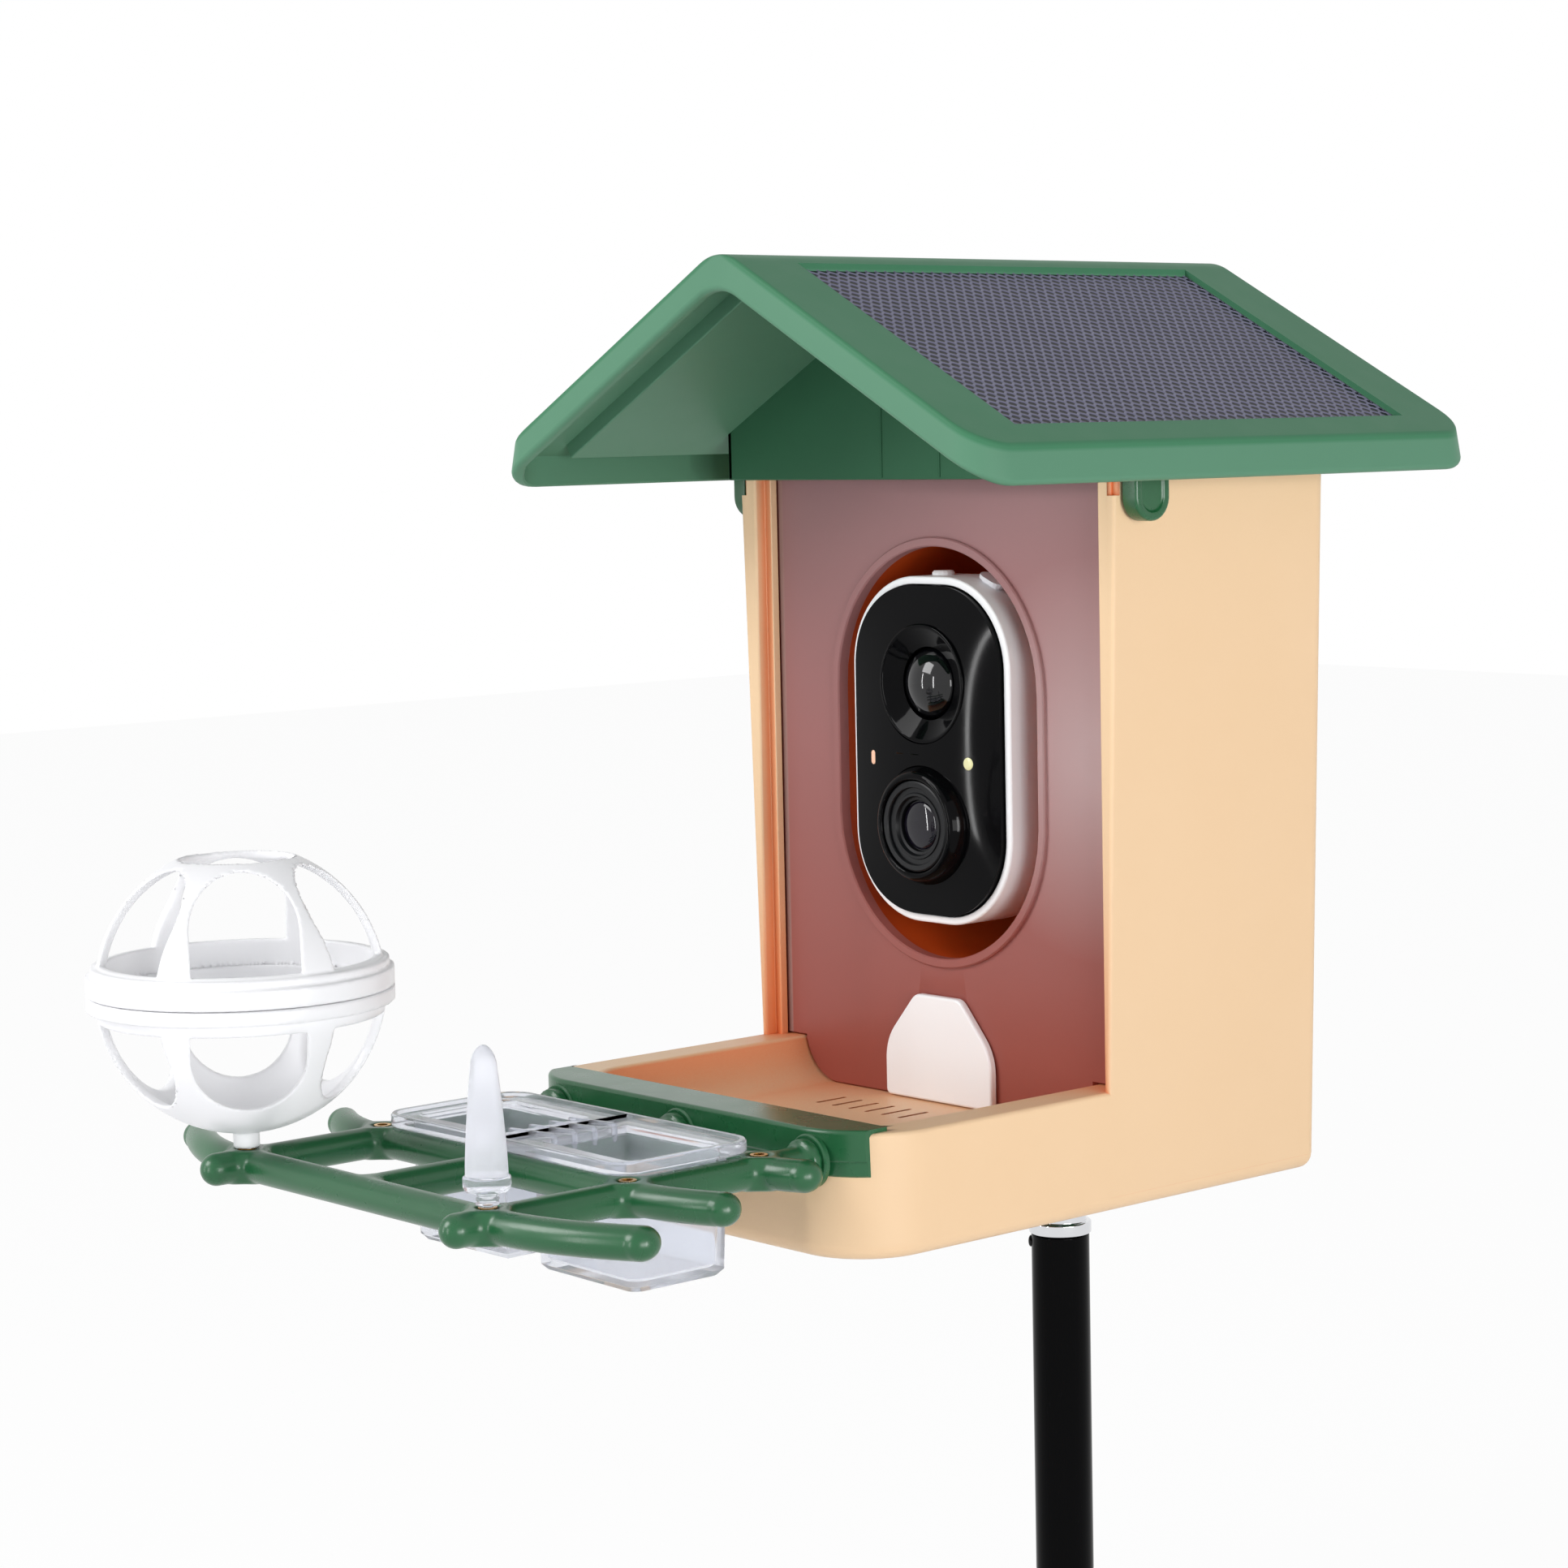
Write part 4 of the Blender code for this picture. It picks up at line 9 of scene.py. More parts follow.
# %% Load the frame
import math

import bmesh
import bpy
import numpy as np
from mathutils import Matrix, Vector


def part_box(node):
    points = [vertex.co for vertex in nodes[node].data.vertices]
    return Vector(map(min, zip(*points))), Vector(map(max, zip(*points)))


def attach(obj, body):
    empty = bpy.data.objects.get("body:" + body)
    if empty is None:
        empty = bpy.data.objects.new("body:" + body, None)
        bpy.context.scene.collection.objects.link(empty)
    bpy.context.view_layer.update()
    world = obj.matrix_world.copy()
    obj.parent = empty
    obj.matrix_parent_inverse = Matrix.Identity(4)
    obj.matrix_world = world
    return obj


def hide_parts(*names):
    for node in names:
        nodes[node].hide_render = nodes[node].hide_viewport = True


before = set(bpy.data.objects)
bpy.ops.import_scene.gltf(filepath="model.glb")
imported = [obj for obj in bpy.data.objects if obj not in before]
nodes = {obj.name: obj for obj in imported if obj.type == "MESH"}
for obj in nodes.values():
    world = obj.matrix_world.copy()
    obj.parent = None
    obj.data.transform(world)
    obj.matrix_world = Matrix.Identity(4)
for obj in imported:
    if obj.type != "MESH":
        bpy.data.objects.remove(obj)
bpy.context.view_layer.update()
MM = 0.001
print("nodes in the frame:", len(nodes))

# %% [markdown]
# ## Driving sizes
#
# Sizes that the frame can tell are read from its boxes. The others are the same real sizes that the CAD
# model was drawn with, in metres.

# %% Sizes of the housing, the roof and the perch
housing_low, housing_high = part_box("housing_shell")
tube_low, tube_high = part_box("pole_tube")
roof_low, roof_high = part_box("roof_shell")
panel_low, panel_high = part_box("front_panel")
gate_low, gate_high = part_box("seed_gate")
camera_low, camera_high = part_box("camera_shell")
insert_low, insert_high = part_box("perch_insert_1")
GAP = 0.3 * MM
BASE, BODY_TOP = housing_low.z, housing_high.z
TRAY_FRONT = housing_low.y
WALL_FRONT = panel_low.y + 1.2 * MM - 6.2 * MM
WALL_BACK = WALL_FRONT + 80.2 * MM
WALL = 2.5 * MM
RIM_Z = BASE + 31.4 * MM
FLOOR_Z = BASE + 19.5 * MM
SLAB_FOOT = FLOOR_Z - 2.5 * MM
HALF_BASE = 66 * MM
FLARE = 0.0275
POST_DEPTH = 11.8 * MM
POST_CLEAR = 65 * MM
BASIN_SIDE = 11 * MM
BASIN_FRONT = 13.5 * MM
PANEL_FRONT = WALL_FRONT + 6.2 * MM
PANEL_BACK = panel_high.y
OVAL_CENTRE_Z = BASE + 113.25 * MM
OVAL_HALF = 40.2 * MM
OVAL_HEIGHT = 57.25 * MM
CAM_Z = (camera_low.z + camera_high.z) / 2
CAM_Y = camera_low.y
ROOF_HALF, ROOF_FRONT, ROOF_BACK = roof_high.x, roof_low.y, roof_high.y
EAVE_Z = BODY_TOP + 3.5 * MM
RIDGE_Z = EAVE_Z + 50.7 * MM
EAVE_FOOT_Z = EAVE_Z - 10.1 * MM
SLOPE = math.atan2(RIDGE_Z - EAVE_Z, ROOF_HALF)
ROD = 4 * MM
ROD_TOP_Z = insert_high.z
ROD_Z = ROD_TOP_Z - ROD
BAR_X = 49 * MM
FRONT_ROW = (insert_low.y + insert_high.y) / 2
ROWS = [FRONT_ROW + 40 * MM * i for i in range(3)]
HINGE_X, HINGE_Y, HINGE_Z = 45 * MM, WALL_BACK + 6.2 * MM, BODY_TOP - 6.4 * MM
KNUCKLE = 3.6 * MM
CATCH_TOP = BODY_TOP - 5.3 * MM
GABLE_FRONT = WALL_FRONT - GAP - 1.9 * MM
half_top = HALF_BASE + FLARE * (BODY_TOP - BASE)
print("walls lean out to", round(half_top / MM, 1), "mm each side of the middle")

# %% [markdown]
# ## Colours and nodes
#
# Hex colours are what a designer picks from a photo, and the shader wants linear light. One function
# turns the first into the second. Another adds a shader node with its values and links.


# %% Colour and node helpers
def linear(code):
    """A hex sRGB colour as linear red, green, blue and a full alpha."""
    value = np.array([int(code[i:i + 2], 16) for i in (1, 3, 5)]) / 255
    light = np.where(value <= 0.04045, value / 12.92, ((value + 0.055) / 1.055) ** 2.4)
    return (*light.tolist(), 1.0)


def add_node(tree, kind, values=None, links=None):
    """Adds a shader node; values go to its sockets or settings, and links join its sockets to others."""
    made = tree.nodes.new(kind)
    for key, value in (values or {}).items():
        if not isinstance(key, int) and key not in made.inputs:
            setattr(made, key, value)
    for key, value in (values or {}).items():
        if isinstance(key, int) or key in made.inputs:
            made.inputs[key].default_value = value
    for key, socket in (links or {}).items():
        tree.links.new(socket, made.inputs[key])
    return made


def new_material(name, colour, roughness, **sockets):
    """A Principled material; the constants are set straight on the shader's own sockets."""
    made = bpy.data.materials.new(name)
    made.use_nodes = True
    tree = made.node_tree
    shader = tree.nodes["Principled BSDF"]
    shader.inputs["Base Color"].default_value = linear(colour)
    shader.inputs["Roughness"].default_value = roughness
    for key, value in sockets.items():
        shader.inputs[key.replace("_", " ")].default_value = value
    return made, tree, shader


print("mid grey in linear light:", round(linear("#808080")[0], 3))

# %% [markdown]
# ## Moulded plastics
#
# Nearly everything here is injection moulded. A mould leaves three marks that the eye reads as plastic: a
# colour that drifts a little where the melt cooled at another pace, a fine spark-eroded grain, and a
# gloss that is never quite even. One recipe gives all three, and each plastic sets its own amounts.


# %% The moulded finish
def moulded(name, colour, drift, roughness, grain=0.35 * MM, depth=0.02 * MM, uneven=0.05, **sockets):
    """Moulded plastic: slow colour drift, a grain of the given width and depth, and slightly uneven gloss."""
    made, tree, shader = new_material(name, colour, roughness, **sockets)
    where = add_node(tree, "ShaderNodeTexCoord").outputs["Object"]
    flow = add_node(tree, "ShaderNodeTexNoise", {"Scale": 1 / (45 * MM), "Detail": 3.0}, {"Vector": where})
    tint = add_node(tree, "ShaderNodeMix", {"data_type": "RGBA", 6: linear(colour), 7: linear(drift)},
                    {0: flow.outputs["Fac"]})
    fine = add_node(tree, "ShaderNodeTexNoise", {"Scale": 1 / grain, "Detail": 2.0}, {"Vector": where})
    haze = add_node(tree, "ShaderNodeTexNoise", {"Scale": 1 / (9 * MM), "Detail": 4.0}, {"Vector": where})
    gloss = add_node(tree, "ShaderNodeMapRange", {"To Min": roughness - uneven, "To Max": roughness + uneven},
                     {"Value": haze.outputs["Fac"]})
    bump = add_node(tree, "ShaderNodeBump", {"Strength": 0.5, "Distance": depth},
                    {"Height": fine.outputs["Fac"]})
    tree.links.new(tint.outputs[2], shader.inputs["Base Color"])
    tree.links.new(gloss.outputs["Result"], shader.inputs["Roughness"])
    tree.links.new(bump.outputs["Normal"], shader.inputs["Normal"])
    return made


# %% [markdown]
# ## Painted light and shade that follow the shape
#
# Cream plastic is painted a deeper orange where it is closed in: painted shade, warm from the light its
# walls throw on each other. The gable is painted deep green shade the same way; both are drawn by how
# closed in a point is. The roof's rim is painted paler, a painted sheen; that is drawn by the depth below the
# slopes.


# %% Painted shade by hollow, painted sheen by depth
def tint_over(finish, colour, share):
    """Mixes a finish's base colour towards another: (1 - share) * before + share * colour."""
    tree = finish.node_tree
    shader = tree.nodes["Principled BSDF"]
    before = shader.inputs["Base Color"].links[0].from_socket
    tint = add_node(tree, "ShaderNodeMix", {"data_type": "RGBA", 7: linear(colour)}, {0: share, 6: before})
    tree.links.new(tint.outputs[2], shader.inputs["Base Color"])


def paint_hollow_shade(finish, shade_colour, reach):
    """Paints shade: turns a finish towards a shade colour where it is closed in: share = (1 - open) ** 0.4.
    """
    tree = finish.node_tree
    near = add_node(tree, "ShaderNodeAmbientOcclusion",
                    {"samples": 4, "only_local": True, "Distance": reach})
    shut = add_node(tree, "ShaderNodeMath", {"operation": "SUBTRACT", 0: 1.0}, {1: near.outputs["AO"]})
    share = add_node(tree, "ShaderNodeMath", {"operation": "POWER", 1: 0.4, "use_clamp": True},
                     {0: shut.outputs[0]})
    tint_over(finish, shade_colour, share.outputs[0])


def paint_rim_sheen(finish, colour):
    """Paints a sheen: turns a finish paler below the slopes, a painted highlight on the rim: depth = (ridge -
    slope * |x|) - z, share from 1.2 to 2 mm.
    """
    tree = finish.node_tree
    where = add_node(tree, "ShaderNodeTexCoord").outputs["Object"]
    axes = add_node(tree, "ShaderNodeSeparateXYZ", {}, {0: where})
    side = add_node(tree, "ShaderNodeMath", {"operation": "ABSOLUTE"}, {0: axes.outputs["X"]})
    plane = add_node(tree, "ShaderNodeMath",
                     {"operation": "MULTIPLY_ADD", 1: -math.tan(SLOPE), 2: RIDGE_Z}, {0: side.outputs[0]})
    deep = add_node(tree, "ShaderNodeMath", {"operation": "SUBTRACT"},
                    {0: plane.outputs[0], 1: axes.outputs["Z"]})
    share = add_node(tree, "ShaderNodeMapRange", {"From Min": 1.2 * MM, "From Max": 2.0 * MM},
                     {"Value": deep.outputs[0]})
    tint_over(finish, colour, share.outputs["Result"])


# %% [markdown]
# ## The plastics of the feeder
#
# Each line below is one plastic. The first colour is the plastic in plain light, the second the tint it
# drifts to, and the number after them is the roughness: about 0.4 for a satin mould, under 0.1 for a
# polished one.

# %% Plastics
# Cream ABS with a fine satin grain and soft highlights, with painted warm shade in its hollows.
CREAM = moulded("cream_abs_satin", "#F3D2AB", "#EFCCA2", 0.42, depth=0.012 * MM, Specular_IOR_Level=0.3)
paint_hollow_shade(CREAM, "#E2681C", 85 * MM)
# The bay behind the clear front is the same cream ABS, drawn in a deep burnt orange: painted shade for the
# deep cavity.
SHADED_BAY = moulded("cream_abs_painted_bay_shade", "#D2561C", "#C24A14", 0.40)
# Roof ABS in leaf green, spark-eroded, so its highlights are faint. The gable's green is a darker copy:
# painted shade for the eaves' shadow, deepened by painted shade in its hollows.
ROOF_GREEN = moulded("leaf_green_abs_grained", "#4A8362", "#457D5C", 0.42, grain=0.45 * MM,
                     Specular_IOR_Level=0.08)
SHADED_GABLE_GREEN = moulded("leaf_green_abs_gable_painted_shade", "#3A694D", "#366449", 0.42, grain=0.45 * MM,
                      Specular_IOR_Level=0.08)
paint_hollow_shade(SHADED_GABLE_GREEN, "#0E3A20", 70 * MM)
# The rim's paler green below the slopes is a painted sheen.
paint_rim_sheen(ROOF_GREEN, "#5F8E73")
# Polished deep green ABS of the perch, the bracket and the latches.
GREEN = moulded("deep_green_abs_polished", "#22603A", "#1D5833", 0.28, depth=0.006 * MM)
# White ABS: the camera's shell, the gate and the ball.
WHITE = moulded("white_abs_satin", "#FDFDFE", "#FAFAFD", 0.32, depth=0.008 * MM)
RUBBER = moulded("white_rubber_matte", "#F0F0F4", "#E8E8EE", 0.55, depth=0.01 * MM)
# Piano black: polished so well that only the reflections show.
PIANO = moulded("piano_black_abs", "#050506", "#08080A", 0.07, depth=0.001 * MM, uneven=0.02,
                Specular_IOR_Level=0.07)
SATIN_BLACK = moulded("satin_black_abs", "#0C0D0F", "#101114", 0.38, Specular_IOR_Level=0.2)
# Powder-coated and lacquered pole steel.
POLE_BLACK = moulded("gloss_black_lacquer", "#040405", "#070708", 0.06, depth=0.001 * MM, uneven=0.02,
                     Specular_IOR_Level=0.05)
# Cheap camera innards that nobody sees unless the shell is taken off.
BOARD = moulded("green_solder_mask", "#0E4A30", "#0B3F2A", 0.35)
WRAP = moulded("blue_shrink_wrap", "#24466E", "#1F3E64", 0.4)
print("materials so far, the CAD model's among them:", len(bpy.data.materials))

# %% [markdown]
# ## Metals and clear plastics
#
# A metal's colour is the colour of its reflection, so it needs little else than fine machining marks.
# Clear acrylic bends light as glass does but less, and its moulded faces are a touch wavy. The IORs here
# are under the real 1.49, so that thin walls stay pale.


# %% Metals and clear finishes
def metal(name, colour, roughness, pitch=0.25 * MM, depth=0.004 * MM):
    """Turned metal: fine rings left by the lathe, drawn as a wave across the height."""
    made, tree, shader = new_material(name, colour, roughness, Metallic=1.0)
    where = add_node(tree, "ShaderNodeTexCoord").outputs["Object"]
    rings = add_node(tree, "ShaderNodeTexWave", {"bands_direction": "Z", "Scale": 1 / (pitch * 20),
                                                 "Distortion": 1.5, "Detail": 2.0}, {"Vector": where})
    stain = add_node(tree, "ShaderNodeTexNoise", {"Scale": 1 / (3 * MM), "Detail": 3.0}, {"Vector": where})
    gloss = add_node(tree, "ShaderNodeMapRange", {"To Min": roughness * 0.8, "To Max": roughness * 1.4},
                     {"Value": stain.outputs["Fac"]})
    bump = add_node(tree, "ShaderNodeBump", {"Strength": 0.3, "Distance": depth},
                    {"Height": rings.outputs["Fac"]})
    tree.links.new(gloss.outputs["Result"], shader.inputs["Roughness"])
    tree.links.new(bump.outputs["Normal"], shader.inputs["Normal"])
    return made


def clear(name, colour, roughness, wave=0.02 * MM, width=6 * MM, **sockets):
    """Clear moulding: light passes, and slow waves in the faces bend it a little."""
    made, tree, shader = new_material(name, colour, roughness, **{"Transmission_Weight": 1.0, **sockets})
    where = add_node(tree, "ShaderNodeTexCoord").outputs["Object"]
    swell = add_node(tree, "ShaderNodeTexNoise", {"Scale": 1 / width, "Detail": 1.0}, {"Vector": where})
    bump = add_node(tree, "ShaderNodeBump", {"Strength": 0.4, "Distance": wave},
                    {"Height": swell.outputs["Fac"]})
    tree.links.new(bump.outputs["Normal"], shader.inputs["Normal"])
    return made


CHROME = metal("chrome_plated_steel", "#DADBDE", 0.10)
ZINC = metal("zinc_plated_steel", "#B9BBC0", 0.28)
BRASS = metal("turned_brass", "#C9963C", 0.25)
ACRYLIC = clear("clear_acrylic", "#F2F4FA", 0.10, IOR=1.16, Transmission_Weight=0.8)
FROST = clear("frosted_clear_acrylic", "#F4F5FA", 0.3, IOR=1.15, Transmission_Weight=0.5)

# %% [markdown]
# ## The smoked front
#
# The plate is tinted and frosted. Painted orange light from the basin colours its foot, a painted highlight
# lies near its right edge, and two thin strips paint the guide rails behind it: a pale painted highlight and
# dark painted shade along the edge. All three follow the plate's own coordinates, so they stay in place
# when it is seen from another side.


# %% Smoked acrylic
def smoked(name):
    """Tint by height with painted basin light at the foot, then a painted highlight that fades with distance,
    then painted rail highlight and edge shade by |x|; frost is a fine bump.
    """
    made, tree, shader = new_material(name, "#94706F", 0.34, IOR=1.45, Transmission_Weight=0.42,
                                      Specular_IOR_Level=0.2)
    where = add_node(tree, "ShaderNodeTexCoord").outputs["Object"]
    axes = add_node(tree, "ShaderNodeSeparateXYZ", {}, {0: where})
    rise = add_node(tree, "ShaderNodeMapRange", {"From Min": FLOOR_Z, "From Max": BODY_TOP},
                    {"Value": axes.outputs["Z"]})
    # Orange towards the foot is painted light from the basin, over the smoke's own mauve.
    colour = add_node(tree, "ShaderNodeMix", {"data_type": "RGBA", 6: linear("#BD6355"),
                                              7: linear("#BD9193")}, {0: rise.outputs["Result"]})
    highlight_distance = add_node(tree, "ShaderNodeVectorMath",
                       {"operation": "DISTANCE", 1: (58 * MM, PANEL_FRONT, CAM_Z)}, {0: where})
    near = add_node(tree, "ShaderNodeMapRange",
                    {"From Min": 6 * MM, "From Max": 52 * MM, "To Min": 0.7, "To Max": 0.0},
                    {"Value": highlight_distance.outputs["Value"]})
    side = add_node(tree, "ShaderNodeMath", {"operation": "ABSOLUTE"}, {0: axes.outputs["X"]})
    rail = add_node(tree, "ShaderNodeMapRange", {"From Min": 60.4 * MM, "From Max": 61.0 * MM},
                    {"Value": side.outputs[0]})
    edge = add_node(tree, "ShaderNodeMapRange", {"From Min": 62.0 * MM, "From Max": 62.6 * MM},
                    {"Value": side.outputs[0]})
    # A painted highlight near the right edge, a pale painted highlight strip, and painted shade along the
    # edge.
    for code, share in (("#EBD2D2", near), ("#C8A09A", rail), ("#7A3426", edge)):
        colour = add_node(tree, "ShaderNodeMix", {"data_type": "RGBA", 7: linear(code)},
                          {0: share.outputs["Result"], 6: colour.outputs[2]})
    frost = add_node(tree, "ShaderNodeTexNoise", {"Scale": 1 / (0.5 * MM), "Detail": 2.0}, {"Vector": where})
    bump = add_node(tree, "ShaderNodeBump", {"Strength": 0.4, "Distance": 0.01 * MM},
                    {"Height": frost.outputs["Fac"]})
    tree.links.new(colour.outputs[2], shader.inputs["Base Color"])
    tree.links.new(bump.outputs["Normal"], shader.inputs["Normal"])
    return made


SMOKE = smoked("smoked_frosted_acrylic")
print("smoked front tinted from", round(FLOOR_Z / MM), "to", round(BODY_TOP / MM), "mm")

# %% [markdown]
# ## The camera's optics
#
# A coated lens is nearly black with a violet sheen, and the motion sensor's dome is darker still. The two
# lights are a peach pipe that glows a little and a clear yellow drop of silicone.

# %% Lens, sensor and lights
LENS_GLASS = moulded("coated_lens_glass", "#0A0A10", "#120C1C", 0.04, depth=0.001 * MM, uneven=0.01,
                     Specular_IOR_Level=0.4)
SENSOR = moulded("black_sensor_dome", "#050507", "#08080C", 0.07, depth=0.001 * MM, uneven=0.02)
PEACH = moulded("peach_light_pipe", "#F0B48C", "#E8A87E", 0.25, Emission_Strength=0.15)
LAMP = moulded("lamp_silicone", "#F4F1C4", "#E6E2A0", 0.15, depth=0.001 * MM)
print("materials so far:", len(bpy.data.materials))

# %% [markdown]
# ## Solar film
#
# The two solar panels are black cells under a laminate, with a fine pale net on top. The cells get this
# finish, and the net is real geometry further down.


# %% Solar cells and their net
def cells(name):
    """Black cells under a laminate: two near-black tints, mixed by a noise of 1.2 mm."""
    made, tree, shader = new_material(name, "#030305", 0.3, Specular_IOR_Level=0.15)
    where = add_node(tree, "ShaderNodeTexCoord").outputs["Object"]
    speckle = add_node(tree, "ShaderNodeTexNoise", {"Scale": 1 / (1.2 * MM), "Detail": 3.0},
                       {"Vector": where})
    tint = add_node(tree, "ShaderNodeMix", {"data_type": "RGBA", 6: linear("#020203"),
                                            7: linear("#09090E")}, {0: speckle.outputs["Fac"]})
    tree.links.new(tint.outputs[2], shader.inputs["Base Color"])
    return made


CELLS = cells("laminated_black_cells")
NET = moulded("lilac_grey_cell_net", "#7C7C92", "#6C6C82", 0.45, grain=0.6 * MM, uneven=0.1,
              Specular_IOR_Level=0.25)
print("materials with the solar film:", len(bpy.data.materials))

# %% [markdown]
# ## Shapes from arrays
#
# An outline is a list of corners, each with its own radius. A loft carries outlines along, and a turned
# piece is a loft whose outlines are circles. Each is one expression on whole arrays.


# %% Outlines
def rounded(corners, radii, steps=8):
    """An outline with arcs for corners. Each arc touches both edges; its points turn evenly between them."""
    corners = np.array(corners, float)
    parts = []
    around = zip(corners, np.roll(corners, 1, 0), np.roll(corners, -1, 0), radii)
    for here, before, after, radius in around:
        if radius == 0:
            parts.append(here[None])
            continue
        a = (before - here) / np.linalg.norm(before - here)
        b = (after - here) / np.linalg.norm(after - here)
        half = math.acos(np.clip(a @ b, -1, 1)) / 2
        centre = here + (a + b) / np.linalg.norm(a + b) * radius / math.sin(half)
        reach = radius / math.tan(half)
        turn = math.pi - 2 * half
        t = np.linspace(0, 1, steps + 1)[:, None]
        first, last = here + a * reach - centre, here + b * reach - centre
        parts.append(centre + (np.sin((1 - t) * turn) * first + np.sin(t * turn) * last) / math.sin(turn))
    return np.vstack(parts)


def oval(half_width, half_height, radius, centre=(0, 0), steps=14):
    """An upright rounded outline round a centre."""
    a, b = centre
    corners = [(a - half_width, b - half_height), (a + half_width, b - half_height),
               (a + half_width, b + half_height), (a - half_width, b + half_height)]
    return rounded(corners, [min(radius, half_width * 0.9999)] * 4, steps)


def place(outline, axis, at):
    """Lifts a flat outline into space across an axis: the axis's own coordinate is the given height."""
    across, up = np.asarray(outline, float).T
    at = np.broadcast_to(np.asarray(at, float), across.shape)
    order = {"X": (at, across, up), "Y": (across, at, up), "Z": (across, up, at)}[axis]
    return np.stack(order, -1)


print("points on a rounded square:", len(rounded([(0, 0), (1, 0), (1, 1), (0, 1)], [0.2] * 4)))

# %% [markdown]
# ## Closed shells
#
# A skin is a list of rings with the same number of points. Neighbours in one ring and the next make
# quads, and a flat face closes each end. Blocks, prisms and turned pieces are all this one loft.


# %% Closed shells
def grid_faces(rows, cols, around=True, along=False):
    """Quads of a grid of points as rows of four indices; it may close on itself either way."""
    i = np.arange(rows if along else rows - 1)[:, None]
    j = np.arange(cols if around else cols - 1)[None, :]
    i2, j2 = (i + 1) % rows, (j + 1) % cols
    quads = np.broadcast_arrays(i * cols + j, i * cols + j2, i2 * cols + j2, i2 * cols + j)
    return np.stack(quads, -1).reshape(-1, 4)


def loft(rings, start=True, end=True, closed=False):
    """A skin through rings of points, one ring after the other, with a flat face on each end asked for."""
    rings = np.asarray(rings, float)
    rows, cols = rings.shape[:2]
    faces = grid_faces(rows, cols, True, closed).tolist()
    if start and not closed:
        faces.append(list(range(cols))[::-1])
    if end and not closed:
        faces.append(list(range((rows - 1) * cols, rows * cols)))
    return rings.reshape(-1, 3), faces


def prism(outline, axis, low, high):
    """An outline carried straight along an axis."""
    return loft([place(outline, axis, low), place(outline, axis, high)])


def block(low, high):
    """A plain block between two corners, to be rounded by a bevel."""
    (x0, y0, z0), (x1, y1, z1) = low, high
    return prism([(x0, y0), (x1, y0), (x1, y1), (x0, y1)], "Z", z0, z1)


def turned(profile, centre, axis="Z", steps=96, closed=False):
    """A profile of radius and height turned round an axis: across = r cos t, up = r sin t."""
    profile = np.asarray(profile, float)
    t = 2 * np.pi * np.arange(steps) / steps
    radius, height = profile[:, :1], profile[:, 1:]
    round_a, round_b = radius * np.cos(t), radius * np.sin(t)
    along = height + 0 * t
    order = {"Z": (round_a, round_b, along), "Y": (round_a, along, round_b), "X": (along, round_a, round_b)}
    rings = np.stack(order[axis], -1) + np.asarray(centre, float)
    return loft(rings, profile[0, 0] > 0, profile[-1, 0] > 0, closed)


def joined(shells):
    """Several shells as one: points in a row, each shell's faces moved on by the points before it."""
    starts = np.cumsum([0] + [len(points) for points, _ in shells]).tolist()
    faces = [[i + start for i in face] for (_, own), start in zip(shells, starts) for face in own]
    return np.concatenate([points for points, _ in shells]), faces


print("faces of a block:", len(block((0, 0, 0), (1, 1, 1))[1]))

# %% [markdown]
# ## From arrays to objects
#
# An array becomes a mesh here, once, with its doubles merged and its faces turned outwards. A bevel
# rounds the sharp edges, because no moulded edge is sharp. Holes that a loft can't leave open are cut
# with a boolean.


# %% Objects
def solid(name, shells, finish, sharp=35):
    """One object of closed shells: doubles merged, normals outwards, round sides smooth."""
    bm = bmesh.new()
    for points, faces in shells if isinstance(shells, list) else [shells]:
        part = bmesh.new()
        verts = [part.verts.new(p) for p in np.asarray(points).tolist()]
        for face in faces:
            part.faces.new([verts[i] for i in face])
        bmesh.ops.remove_doubles(part, verts=part.verts, dist=0.002 * MM)
        bmesh.ops.dissolve_degenerate(part, edges=part.edges, dist=0.001 * MM)
        bmesh.ops.recalc_face_normals(part, faces=part.faces)
        mesh = bpy.data.meshes.new("part")
        part.to_mesh(mesh)
        part.free()
        bm.from_mesh(mesh)
        bpy.data.meshes.remove(mesh)
    mesh = bpy.data.meshes.new(name)
    bm.to_mesh(mesh)
    bm.free()
    mesh.materials.append(finish)
    mesh.shade_smooth()
    mesh.set_sharp_from_angle(angle=math.radians(sharp))
    item = bpy.data.objects.new(name, mesh)
    bpy.context.scene.collection.objects.link(item)
    return item


def from_arrays(name, points, faces, finish, join=0.0):
    """One object straight from arrays: points nearer than the join length merged, normals outwards."""
    mesh = bpy.data.meshes.new(name)
    mesh.from_pydata(points.tolist(), [], faces.tolist())
    mesh.materials.append(finish)
    mesh.shade_smooth()
    bm = bmesh.new()
    bm.from_mesh(mesh)
    if join:
        bmesh.ops.remove_doubles(bm, verts=bm.verts, dist=join)
        bmesh.ops.dissolve_degenerate(bm, edges=bm.edges, dist=join / 2)
    bmesh.ops.recalc_face_normals(bm, faces=bm.faces)
    bm.to_mesh(mesh)
    bm.free()
    item = bpy.data.objects.new(name, mesh)
    bpy.context.scene.collection.objects.link(item)
    return item


def soften(item, width, segments=3, angle=40):
    """Rounds sharp edges with a bevel, then weights the normals by face size so that flats stay flat."""
    if width:
        bevel = item.modifiers.new("edge", "BEVEL")
        bevel.width = width
        bevel.segments = segments
        bevel.limit_method = "ANGLE"
        bevel.angle_limit = math.radians(angle)
        item.data.set_sharp_from_angle(angle=math.pi)
    weights = item.modifiers.new("normals", "WEIGHTED_NORMAL")
    weights.keep_sharp = not width
    return item


